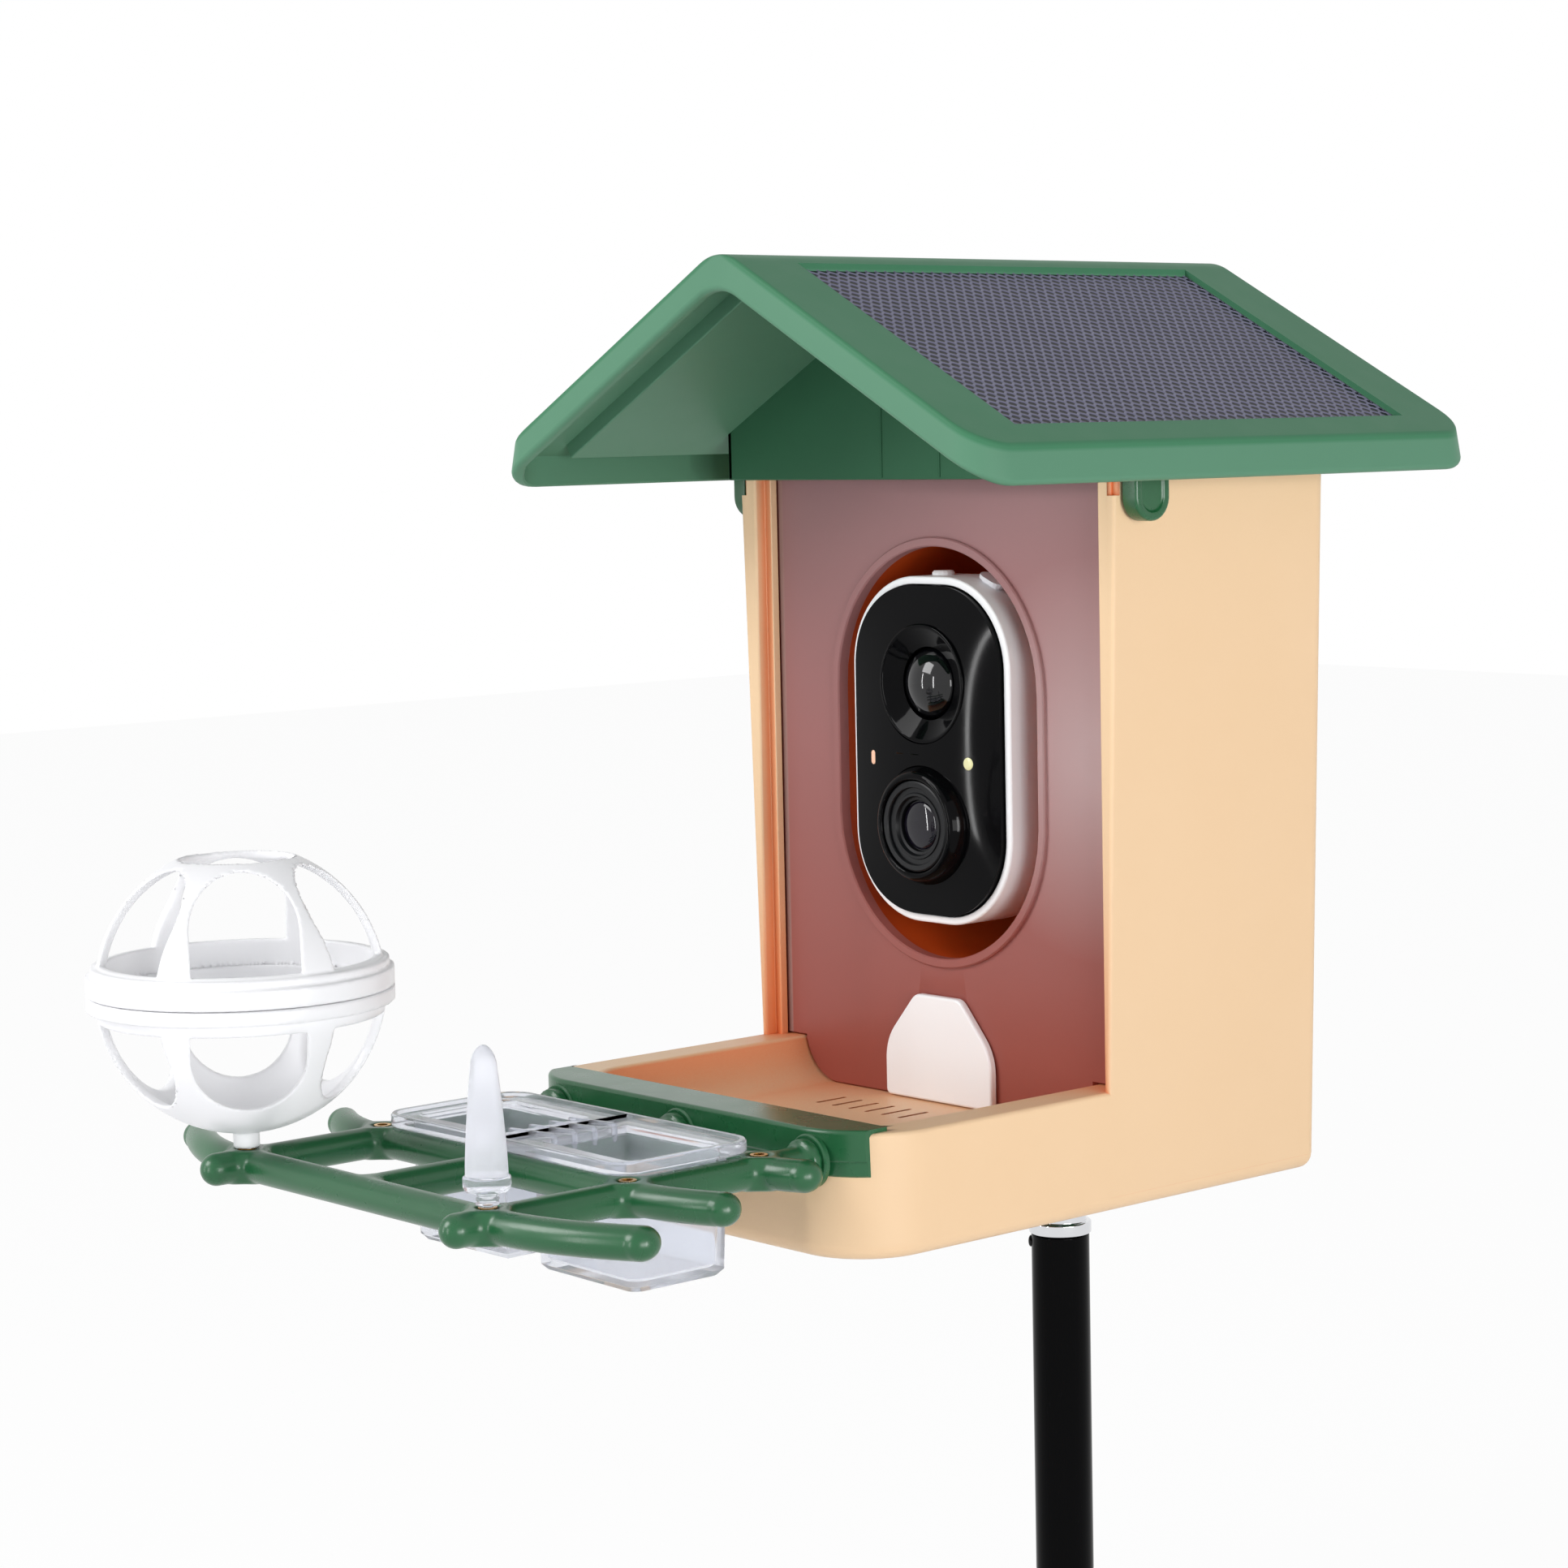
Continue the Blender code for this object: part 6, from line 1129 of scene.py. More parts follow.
# %% Camera bay and seed gate
def bay():
    """Oval tunnel with a closed back: the skin runs in, across the back and out again."""
    half, tall = OVAL_HALF + 1.2 * MM, OVAL_HEIGHT + 1.2 * MM
    front, back = PANEL_BACK + GAP, WALL_BACK - WALL - GAP
    wall, floor = 2 * MM, 2.4 * MM

    def ring(y, inset):
        """The tunnel's oval at a depth, drawn in by an inset."""
        return place(oval(half - inset, tall - inset, half - inset, (0, OVAL_CENTRE_Z), 24), "Y", y)

    r = 4 * MM
    rings = [ring(back, 0), ring(front, 0), ring(front, wall)]
    rings += [ring(back - floor - r + r * math.sin(a), wall + r * (1 - math.cos(a))) for a in quarter(6)]
    # The bay's burnt orange is painted shade.
    return solid("bay_skin", loft(rings), SHADED_BAY)


def gate():
    """A shield lofted back from its face, its edge a quarter circle, with two blocks for neck and tail."""
    half, foot, top = 20.3 * MM, gate_low.z, gate_high.z
    shoulder = foot + 15 * MM
    crown = 8.5 * MM
    front, back = gate_low.y, PANEL_FRONT - GAP

    def ring(y, inset):
        """The shield's outline at a depth, drawn in by an inset."""
        corners = [(-half + inset, foot + inset), (half - inset, foot + inset), (half - inset, shoulder),
                   (crown, top - inset), (-crown, top - inset), (-half + inset, shoulder)]
        radii = [1.5 * MM, 1.5 * MM, 14 * MM, 4 * MM, 4 * MM, 14 * MM]
        return place(rounded(corners, radii, 10), "Y", y)

    edge = 0.8 * MM
    rings = [ring(back, 0.3 * MM), ring(back - 0.3 * MM, 0)]
    rings += [ring(front + edge * (1 - math.sin(a)), edge * (1 - math.cos(a))) for a in quarter(6)]
    neck = block((-11.5 * MM, back - 0.4 * MM, foot), (11.5 * MM, PANEL_BACK + 0.7 * MM, foot + 6.5 * MM))
    tail = block((-15 * MM, PANEL_BACK + GAP, foot), (15 * MM, gate_high.y, foot + 10 * MM))
    return solid("gate_skin", [loft(rings), neck, tail], WHITE)


seat(soften(bay(), 0), "housing", "cream_plastic", "camera_bay")
seat(soften(gate(), 0), "gate", "white_plastic", "seed_gate")

# %% [markdown]
# ## The feeder's camera
#
# The camera is a white rounded shell with a piano-black domed front. The front is two patches, one round
# each eye: every patch runs from its eye's circle out to its half of the outline, so the holes are exact.


# %% Camera shell
CAM_HALF, CAM_TALL, CAM_CORNER = 29.8 * MM, 46 * MM, 24.2 * MM
EYE = 15.9 * MM
PIR_Z, LENS_Z = CAM_Z + 17.8 * MM, CAM_Z - 19.6 * MM


def camera_ring(y, inset):
    """The camera's outline at a depth, drawn in by an inset."""
    outline = oval(CAM_HALF - inset, CAM_TALL - inset, max(CAM_CORNER - inset, MM), (0, CAM_Z), 18)
    return place(outline, "Y", y)


def camera_shell():
    """One loft from the back to the front rim and down inside; its corners are quarter circles."""
    depth, rim, wall = 29 * MM, 2.1 * MM, 1.8 * MM
    back = CAM_Y + depth
    r, edge = 13 * MM, 0.7 * MM
    rings = [camera_ring(back - 0.2 * MM, 12.9 * MM)]
    rings += [camera_ring(back - r * (1 - math.sin(a)), r * (1 - math.cos(a))) for a in quarter(12)[::-1]]
    rings += [camera_ring(CAM_Y + edge * (1 - math.sin(a)), edge * (1 - math.cos(a))) for a in quarter(5)]
    rings += [camera_ring(CAM_Y + edge * 0.4 * (1 - math.cos(a)), rim - edge * 0.4 * (1 - math.sin(a)))
              for a in quarter(4)]
    rings += [camera_ring(CAM_Y + 8 * MM, rim)]
    inner = r - wall
    rings += [camera_ring(back - wall - inner * (1 - math.sin(a)),
                          wall + 0.3 * MM + inner * (1 - math.cos(a))) for a in quarter(6)]
    return solid("camera_skin", loft(rings), WHITE)


# %% Camera cover
def swell(x, z):
    """How far forward the black cover bulges: height * (1 - across ** 2.2) * (1 - up ** 2.6)."""
    across = np.minimum(1, np.abs(x) / CAM_HALF)
    up = np.minimum(1, np.abs(z - CAM_Z) / CAM_TALL)
    return CAM_Y - 1.0 * MM - 2.6 * MM * (1 - across ** 2.2) * (1 - up ** 2.6)


def cover_patch(sign, eye_z, middle):
    """One half of the cover: rings from the eye's circle out to half of the rounded outline."""
    half, tall, corner = CAM_HALF - 2.4 * MM, CAM_TALL - 2.4 * MM, CAM_CORNER - 2.4 * MM
    height = abs(CAM_Z + sign * tall - middle)
    flat = rounded([(-half, 0), (half, 0), (half, height), (-half, height)], [0, 0, corner, corner], 24)
    flat = flat * (1, sign) + (0, middle)
    pieces = []
    for p, q in zip(flat, np.roll(flat, -1, 0)):
        count = max(1, int(np.linalg.norm(q - p) / (1.5 * MM)))
        pieces.append(p + (q - p) * (np.arange(count) / count)[:, None])
    outline = np.vstack(pieces)
    angle = np.arctan2(outline[:, 1] - eye_z, outline[:, 0])
    circle = np.column_stack([EYE * np.cos(angle), eye_z + EYE * np.sin(angle)])
    t = np.linspace(0, 1, 13)[:, None, None]
    rings = circle + (outline - circle) * t
    front = np.stack([rings[..., 0], swell(rings[..., 0], rings[..., 1]), rings[..., 1]], -1)
    inside = place(circle, "Y", CAM_Y + 4 * MM)
    lip_in = front[-1].copy()
    lip_in[:, 1] = CAM_Y + 1.5 * MM
    return np.concatenate([inside[None], front, lip_in[None]])


def camera_cover():
    """The two patches, one round each eye, as one piece."""
    middle = (PIR_Z + LENS_Z) / 2
    shells = [loft(cover_patch(sign, eye_z, middle), False, False)
              for sign, eye_z in ((1, PIR_Z), (-1, LENS_Z))]
    return solid("camera_cover_skin", joined(shells), PIANO, 60)


# %% Motion sensor and lens
def front_profile(rows):
    """A profile of radius and forward reach from the rim's plane, as radius and height along Y."""
    return [(r * MM, CAM_Y - h * MM) for r, h in rows]


def arc_rows(radius, base, height, start, end, count):
    """Rows of radius and reach on an ellipse arc, from one turn to another, in degrees."""
    a = np.radians(np.linspace(start, end, count))
    return list(zip((radius * np.cos(a)).tolist(), (base + height * np.sin(a)).tolist()))


def eyes():
    """Motion sensor in its dished ring, and the lens in its raised stepped bezel."""
    ring = [(15.9, -3), (15.9, 3.1), (15.6, 3.35), (15.2, 3.35), (14.6, 3.1), (12.0, 1.5), (9.75, 0.4),
            (9.7, -3)]
    dome = [(0, -3), (9.6, -3)] + arc_rows(9.6, -2.4, 6.6, 0, 90, 16)
    swollen = [(12.3, -3), (15.9, -3), (15.9, 2.6), (15.7, 3.6), (15.0, 5.2), (14.6, 6.2), (14.0, 6.8),
               (13.2, 7.0), (12.6, 6.9), (12.3, 6.5)]
    barrel = [(0, -7.0), (12.0, -7.0), (12.0, 6.4), (11.6, 6.6), (10.4, 6.5), (10.2, 6.2), (10.2, 5.6),
              (8.9, 5.5), (8.7, 5.8), (8.0, 5.8), (7.8, 5.4), (7.6, 4.9), (6.9, 4.7), (6.8, 3.4), (0, 3.4)]
    glass = [(0, 3.5), (6.5, 3.5), (6.5, 3.9)] + arc_rows(6.4, 3.9, 1.1, 0, 90, 10)

    def spun(name, rows, z, finish, sharp=35, closed=False):
        """A profile turned round the eye at a height."""
        return solid(name, turned(front_profile(rows), (0, 0, z), "Y", closed=closed), finish, sharp)

    bezel = spun("sensor_ring_skin", ring, PIR_Z, PIANO, 60, True)
    sensor = spun("sensor_dome_skin", dome, PIR_Z, SENSOR)
    lens_ring = spun("lens_ring_skin", swollen, LENS_Z, PIANO, 60, True)
    tube = spun("lens_barrel_skin", barrel, LENS_Z, SATIN_BLACK, 30)
    lens = spun("lens_glass_skin", glass, LENS_Z, LENS_GLASS)
    return ((bezel, "gloss_black_plastic", "pir_bezel"), (sensor, "dark_glass", "pir_lens"),
            (lens_ring, "gloss_black_plastic", "lens_housing"), (tube, "black_plastic", "lens_barrel"),
            (lens, "dark_glass", "lens_glass"))


seat(soften(camera_shell(), 0), "camera", "white_plastic", "camera_shell")
seat(camera_cover(), "camera", "gloss_black_plastic", "camera_cover")
for eye_item, eye_slot, eye_node in eyes():
    seat(soften(eye_item, 0), "camera", eye_slot, eye_node)

# %% [markdown]
# ## Small camera fittings
#
# Two windows sit in the black cover between the eyes: the status light and the lamp. Each is an upright
# oval with a domed face that stands a quarter of a millimetre proud.


# %% Small camera fittings
def pill(name, x, z, half, tall, lift, finish):
    """A light's window: an upright oval with a domed face."""
    front = float(swell(np.array(x), np.array(z))) - lift
    r = half * 0.6

    def ring(y, inset):
        """The window's oval at a depth, drawn in by an inset."""
        return place(oval(half - inset, max(tall - inset, half - inset), half - inset, (x, z), 8), "Y", y)

    rings = [ring(front + 3 * MM, 0)] + [ring(front + r * (1 - math.sin(a)), r * (1 - math.cos(a)))
                                        for a in quarter(6)]
    return solid(name, loft(rings), finish)


seat(pill("status_light_skin", -19.6 * MM, CAM_Z - 2.6 * MM, 0.9 * MM, 2.0 * MM, 0.25 * MM, PEACH),
     "camera", "light_pipe", "status_light")
seat(pill("spot_light_skin", 16.8 * MM, CAM_Z - 2.4 * MM, 2.2 * MM, 2.2 * MM, 0.25 * MM, LAMP),
     "camera", "light_pipe", "spot_light")

# %% [markdown]
# ## Tray bracket
#
# The green bracket is one section carried along the tray's rounded front edge: over the rim, down the
# front with a small step, and back up inside. At each place along the edge the section's back stays on
# one line.


# %% Bracket
def edge_line(y, end, count=14):
    """A line that follows the tray's front edge through a given y: straight, then an arc at each end."""
    radius = 21 * MM + TRAY_FRONT - y
    centre = half_width(RIM_Z) - 21 * MM
    lean = math.asin(min(1.0, (end - centre) / radius))
    a = np.linspace(0, lean, count)
    right = np.column_stack([centre + radius * np.sin(a), TRAY_FRONT + 21 * MM - radius * np.cos(a)])
    return np.vstack([right[::-1] * (-1, 1), right])


def bracket():
    """The section carried along the tray's edge, with three bored bosses for the perch's bars."""
    top = RIM_Z + 1.0 * MM
    front = TRAY_FRONT - 0.8 * MM
    back = TRAY_FRONT + BASIN_FRONT - GAP
    end = 61.8 * MM
    r = 1.0 * MM
    rows = [(front + r * (1 - math.cos(a)), top - r * (1 - math.sin(a))) for a in quarter(5)]
    rows.append((front + 5 * MM, top))
    tail = [(None, top), (None, top - 1.9 * MM)]
    under = [(front + 2.4 * MM, top - 1.9 * MM), (front + 2.4 * MM, top - 11.5 * MM),
             (front + 0.9 * MM, top - 11.5 * MM), (front + 0.5 * MM, top - 11.1 * MM),
             (front + 0.5 * MM, top - 7.9 * MM), (front + 0.2 * MM, top - 7.6 * MM),
             (front, top - 7.3 * MM)]
    rings = []
    for y, z in rows + tail + under:
        line = edge_line(front if y is None else y, end)
        if y is None:
            line[:, 1] = back
        rings.append(place(line, "Z", z))
    section = np.array(rings).transpose(1, 0, 2)
    plate = solid("bracket_skin", loft(section), GREEN, 40)
    bosses = []
    for x in (-BAR_X, 0, BAR_X):
        disc = [(0, front + MM), (6.6 * MM, front + MM), (6.6 * MM, front - 0.1 * MM),
                (6.2 * MM, front - 0.5 * MM), (0, front - 0.5 * MM)]
        bosses.append(turned(disc, (x, 0, ROD_Z), "Y"))
    bore = [turned([(0, front - 3 * MM), (2.8 * MM, front - 3 * MM), (2.8 * MM, front + 3 * MM),
                    (0, front + 3 * MM)], (x, 0, ROD_Z), "Y", 32) for x in (-BAR_X, 0, BAR_X)]
    boss = carve(solid("boss_skin", bosses, GREEN), solid("bore_cutter", bore, GREEN))
    plate = carve(plate, solid("bore_cutter", bore, GREEN))
    return merge("bracket_skin", [soften(plate, 0), soften(boss, 0)])


seat(bracket(), "housing", "green_plastic", "tray_bracket")

# %% [markdown]
# ## Distance fields
#
# The rods of the perch are one moulding that melts together at each crossing. Lofts can't give that, so
# this piece is a distance field instead: every point of space knows its distance to each rod, the
# distances are joined with a soft minimum that fills the corners, and the skin is where the result is
# zero.


# %% Distance field helpers
def soft_min(a, b, k):
    """The smaller of two distances, with the corner between them filled to about the width k."""
    h = np.clip(0.5 + 0.5 * (b - a) / k, 0, 1)
    return b + (a - b) * h - k * h * (1 - h)


def soft_max(a, b, k):
    """The larger of two distances, filled in the same way: -soft_min(-a, -b, k)."""
    return -soft_min(-a, -b, k)


def net_of(field, low, high, cell):
    """The zero skin of a field: one point in each crossed cell, one quad round each crossed grid edge."""
    axes = [np.arange(a, b + cell, cell) for a, b in zip(low, high)]
    grid = np.stack(np.meshgrid(*axes, indexing="ij"), -1)
    f = field(grid[..., 0], grid[..., 1], grid[..., 2])
    inside = f < 0
    shape = np.array(f.shape) - 1
    total = np.zeros((*shape, 3))
    count = np.zeros(shape)
    steps = [(0, 0), (0, 1), (1, 0), (1, 1)]
    for axis in range(3):
        others = [k for k in range(3) if k != axis]
        for du, dv in steps:
            start = [0, 0, 0]
            start[others[0]], start[others[1]] = du, dv
            end = list(start)
            end[axis] = 1
            a = tuple(slice(s, s + n) for s, n in zip(start, shape))
            b = tuple(slice(s, s + n) for s, n in zip(end, shape))
            cross = inside[a] != inside[b]
            t = np.where(cross, f[a] / np.where(cross, f[a] - f[b], 1), 0)
            point = grid[a] + t[..., None] * (grid[b] - grid[a])
            total += np.where(cross[..., None], point, 0)
            count += cross
    index = -np.ones(shape, int)
    used = count > 0
    index[used] = np.arange(used.sum())
    points = total[used] / count[used][:, None]
    faces = []
    for axis in range(3):
        u, v = [k for k in range(3) if k != axis]
        lower = [slice(None)] * 3
        upper = [slice(None)] * 3
        lower[axis], upper[axis] = slice(0, -1), slice(1, None)
        cross = inside[tuple(lower)] != inside[tuple(upper)]
        where = np.argwhere(cross)
        keep = (where[:, u] > 0) & (where[:, v] > 0) & (where[:, u] < shape[u]) & (where[:, v] < shape[v])
        where = where[keep]
        quad = []
        for du, dv in ((1, 1), (0, 1), (0, 0), (1, 0)):
            at = where.copy()
            at[:, u] -= du
            at[:, v] -= dv
            quad.append(index[at[:, 0], at[:, 1], at[:, 2]])
        faces.append(np.stack(quad, -1))
    faces = np.concatenate(faces)
    tiny = 0.01 * MM
    for _ in range(3):
        d = field(*points.T)
        slope = np.stack([field(*(points + step).T) - field(*(points - step).T)
                          for step in np.eye(3) * tiny], -1) / (2 * tiny)
        size = np.maximum((slope ** 2).sum(1), 0.2)
        points = points - slope * (d / size)[:, None]
    return points, faces


def field_object(name, field, low, high, cell, finish):
    """The zero skin of a field as an object with smooth shading."""
    return from_arrays(name, *net_of(field, low, high, cell), finish)


print("two faces joined over 2 mm swell by", round(-soft_min(0.0, 0.0, 2 * MM) / MM, 2), "mm")

# %% [markdown]
# ## Perch frame
#
# Each of the three rows is a rod whose ends sweep back along a parabola. Three bars run straight to the
# bracket. A boss stands where a side bar crosses a row, with a blind hole for the insert that takes a
# holder's thread.


# %% Perch frame
SWEEP_OUT = np.array([43.7, 30.3, 16.5]) * MM
SWEEP_BACK = np.array([11.8, 6.4, 3.4]) * MM


def perch_field(x, y, z):
    """Rows that sweep back at their ends, three bars, a boss at each crossing and a hole in each boss."""
    result = None
    up = z - ROD_Z
    for row_y, out, back in zip(ROWS, SWEEP_OUT, SWEEP_BACK):
        reach = out - ROD
        end = BAR_X + reach
        inside_x = np.clip(np.abs(x), 0, end)
        share = np.clip((inside_x - BAR_X) / reach, 0, 1)
        path = row_y + back * share ** 2
        tilt = 1 / np.sqrt(1 + (2 * back * share / reach) ** 2)
        off = (y - path) * tilt
        past = np.maximum(np.abs(x) - end, 0)
        d = np.sqrt(past ** 2 + off ** 2 + up ** 2) - ROD
        result = d if result is None else soft_min(result, d, 2.2 * MM)
    stop = TRAY_FRONT - 0.8 * MM - GAP
    tip = FRONT_ROW - 12.8 * MM + ROD
    bars = ((-BAR_X, tip), (0.0, FRONT_ROW + ROD), (BAR_X, tip))
    for bar_x, start in bars:
        near = np.clip(y, start, stop)
        d = np.sqrt((x - bar_x) ** 2 + up ** 2 + (y - near) ** 2) - ROD
        result = soft_min(result, np.maximum(d, y - stop), 2.2 * MM)
    result = np.maximum(result, np.abs(up) - ROD)
    for bar_x, _ in bars:
        ray = np.sqrt((x - bar_x) ** 2 + up ** 2)
        flare = np.maximum(ray - 5.6 * MM, np.maximum(y - stop, stop - 2.6 * MM - y))
        result = soft_min(result, flare, 2.0 * MM)
        result = np.maximum(result, np.where(np.abs(x - bar_x) < 8 * MM, y - stop, result))
        plug = np.maximum(ray - 2.5 * MM, np.maximum(y - (stop + 9.2 * MM), stop - MM - y))
        result = np.minimum(result, plug)
    for hole_y in ROWS:
        for hole_x in (-BAR_X, BAR_X):
            ray = np.hypot(x - hole_x, y - hole_y)
            boss = soft_max(ray - 4.9 * MM, np.abs(up) - 3.9 * MM, 1.2 * MM)
            result = soft_min(result, boss, 1.6 * MM)
            result = np.maximum(result, np.where(ray < 9 * MM, up - ROD, result))
            bore = np.maximum(ray - 2.5 * MM, (ROD_TOP_Z - 6.5 * MM) - z)
            result = np.maximum(result, -bore)
    return result


perch_low, perch_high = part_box("perch_frame")
PERCH_SPARE, PERCH_CELL = 1.5 * MM, 0.65 * MM
perch = field_object("perch_skin", perch_field, np.array(perch_low) - PERCH_SPARE,
                     np.array(perch_high) + PERCH_SPARE, PERCH_CELL, GREEN)
seat(perch, "perch", "green_plastic", "perch_frame")

# %% [markdown]
# ## Ball feeder
#
# A ball of two thin shells with arched windows. The edges of the windows are softly rounded, which a
# distance field gives for free: the shell is the space between two spheres, and each window is taken away
# softly.


# %% Ball halves
BALL = np.array([-BAR_X, FRONT_ROW, ROD_TOP_Z + 39.2 * MM])
BALL_R = 35 * MM
FLANGE_IN, FLANGE_R = 33 * MM, 37.1 * MM
BALL_CELL = 0.62 * MM


def arch(across, up, half, low, high, arch_up):
    """Distance to an arched window: a box with one round end."""
    middle = high - half if arch_up else low + half
    beyond = (up - middle) if arch_up else (middle - up)
    cap = np.hypot(across, np.maximum(beyond, 0)) - half
    end = (low - up) if arch_up else (up - high)
    return np.maximum(cap, end)


def ball_field(part):
    """The shell between two spheres less six windows, joined to its flange, stub and pin."""
    def ring(flat, pz, outer, low, high):
        """Distance to a flange: |flat - mean radius| - half its width, within two heights."""
        band = np.abs(flat - (outer + FLANGE_IN) / 2) - (outer - FLANGE_IN) / 2
        return np.maximum(band, np.maximum(low - pz, pz - high))

    def field(x, y, z):
        """Distance to this half of the ball."""
        px, py, pz = x - BALL[0], y - BALL[1], z - BALL[2]
        size = np.sqrt(px ** 2 + py ** 2 + pz ** 2)
        flat = np.hypot(px, py)
        shell = np.maximum(size - BALL_R, BALL_R - 2 * MM - size)
        sector = np.arctan2(py, px) % (np.pi / 3) - np.pi / 6
        across = flat * np.sin(sector)
        if part == "base":
            window = arch(across, pz, 13.6 * MM, -25.6 * MM, -6.5 * MM, False)
            body = np.maximum(soft_max(shell, -window, 0.5 * MM), pz + GAP / 2)
            body = soft_min(body, ring(flat, pz, FLANGE_R, -3.6 * MM, -GAP / 2), 0.4 * MM)
            stub = np.maximum(flat - 3.2 * MM, np.maximum(-(39.2 - 0.3) * MM - pz, pz + 33 * MM))
            body = soft_min(body, stub, 1.0 * MM)
            pin = np.maximum(flat - 1.05 * MM, np.maximum(-(39.2 + 4.2) * MM - pz, pz + 38 * MM))
            return np.minimum(body, pin)
        window = arch(across, pz, 12.9 * MM, 7.5 * MM, 30.2 * MM, True)
        body = soft_max(shell, -window, 0.5 * MM)
        body = soft_max(body, 13.8 * MM - flat, 0.5 * MM)
        body = np.maximum(body, GAP / 2 - pz)
        body = soft_min(body, ring(flat, pz, FLANGE_R, GAP / 2, 4.7 * MM), 0.3 * MM)
        body = np.minimum(body, ring(flat, pz, 35.9 * MM, GAP / 2, 6.9 * MM))
        spigot = np.maximum(np.abs(flat - 31.9 * MM) - 0.5 * MM, np.maximum(-2.4 * MM - pz, pz - MM))
        return np.minimum(body, spigot)
    return field


for ball_part, ball_body, ball_span in (("base", "ball", (-44.5, 1.5)), ("dome", "dome", (-4, 36.5))):
    reach = 38.5 * MM
    span_low = BALL + np.array([-reach, -reach, ball_span[0] * MM])
    span_high = BALL + np.array([reach, reach, ball_span[1] * MM])
    ball = field_object(f"ball_{ball_part}_skin", ball_field(ball_part), span_low, span_high, BALL_CELL,
                        WHITE)
    seat(ball, ball_body, "white_plastic", f"ball_{ball_part}")

# %% [markdown]
# ## Clear double cup
#
# Clear parts show every wall twice, so the cup has to be one clean skin with an even wall. Each half runs
# from the flange's border to the cup's mouth, down the inside and across the floor; a second layer does
# the same outside, and the two layers meet round the border.


# %% Double cup
CUP_FOOT = ROD_TOP_Z + GAP
CUP_TOP = CUP_FOOT + 2.2 * MM
CUP_INNER, CUP_FRONT = ROD + 1.2 * MM, ROWS[1] + ROD + 0.6 * MM


def cup():
    """Shells of both halves: border outlines, then mouth outlines down to the floor, inside and outside."""
    low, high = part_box("double_cup")
    half, front, back = high.x, low.y, high.y
    top, foot, lip = CUP_TOP, CUP_FOOT, 1.0 * MM
    depth, wall, floor = 29.2 * MM, 1.7 * MM, 2.2 * MM
    inner_x, outer_x = CUP_INNER, BAR_X - ROD - 0.6 * MM
    y_low, y_high = CUP_FRONT, ROWS[2] - ROD - 0.6 * MM
    steps = 8

    def rim(side, inset, z):
        """The flange's border on one side at a height, from the middle round to the middle."""
        corners = [(0, front + inset), (half - inset, front + inset), (half - inset, back - inset),
                   (0, back - inset)]
        line = rounded(corners, [0, 7.5 * MM - inset, 7.5 * MM - inset, 0], steps)
        return place(line * (side, 1), "Z", z)

    def mouth(side, inset, z, corner=3 * MM):
        """A cup's opening on one side at a height, with its points ordered to pair with the border's."""
        corners = [(inner_x + inset, y_low + inset), (outer_x - inset, y_low + inset),
                   (outer_x - inset, y_high - inset), (inner_x + inset, y_high - inset)]
        line = rounded(corners, [corner] * 4, steps)
        ordered = np.vstack([line[steps // 2:steps // 2 + 1], line[steps + 1:3 * steps + 3],
                             line[3 * steps + 3 + steps // 2:3 * steps + 4 + steps // 2]])
        return place(ordered * (side, 1), "Z", z)

    shells = []
    for side in (-1, 1):
        layers = [rim(side, 0, foot + 0.5 * MM), rim(side, 0, top + lip - 0.5 * MM),
                  rim(side, 0.4 * MM, top + lip), rim(side, 1.6 * MM, top + lip),
                  rim(side, 1.9 * MM, top + 0.1 * MM)]
        inside = [mouth(side, wall - 0.5 * MM, top), mouth(side, wall, top - 0.5 * MM),
                  mouth(side, wall + 0.6 * MM, foot - depth + floor + 0.8 * MM),
                  mouth(side, wall + 1.4 * MM, foot - depth + floor)]
        outside = [mouth(side, 2.0 * MM, foot - depth), mouth(side, 0.8 * MM, foot - depth + 1.4 * MM),
                   mouth(side, 0, foot - 0.4 * MM), mouth(side, -0.4 * MM, foot)]
        below = [rim(side, 0, foot + 0.5 * MM), rim(side, 0.5 * MM, foot)]
        shells += [loft(layers + inside, False, True), loft(below + outside[::-1], False, True)]
    return shells


def cup_object():
    """The cup's skin, with four small teeth along one inner edge."""
    body = solid("cup_skin", joined(cup()), ACRYLIC, 30)
    top = CUP_TOP
    pitch = (40 * MM - 2 * ROD - 1.2 * MM) / 5
    x, lean = CUP_INNER + 1.7 * MM + 0.6 * MM, pitch * 0.45
    rows = [(0, top - 3.6 * MM), (0.5 * MM, top - 3.4 * MM), (0.8 * MM, top - 2.6 * MM),
            (0.8 * MM, top + 0.8 * MM), (0.5 * MM, top + 1.1 * MM), (0, top + 1.2 * MM)]
    teeth = []
    for i in range(4):
        y = CUP_FRONT + pitch * (i + 1)
        teeth.append(turned(rows, (x, y, 0), steps=16))
        teeth.append(prism([(-x + MM, y - 0.6 * MM - lean), (x, y - 0.6 * MM), (x, y + 0.6 * MM),
                            (-x + MM, y + 0.6 * MM - lean)], "Z", top + 0.02 * MM, top + 1.2 * MM))
    ribs = soften(solid("cup_teeth", teeth, ACRYLIC), 0.25 * MM, 2)
    return merge("cup_skin", [body, ribs])


seat(cup_object(), "cup", "clear_acrylic", "double_cup")


# %% [markdown]
# ## Fruit spike
#
# A clear blade with four flattened sides stands on a collar and a threaded neck. The blade is a loft of
# rounded diamonds that narrow to a blunt tip.


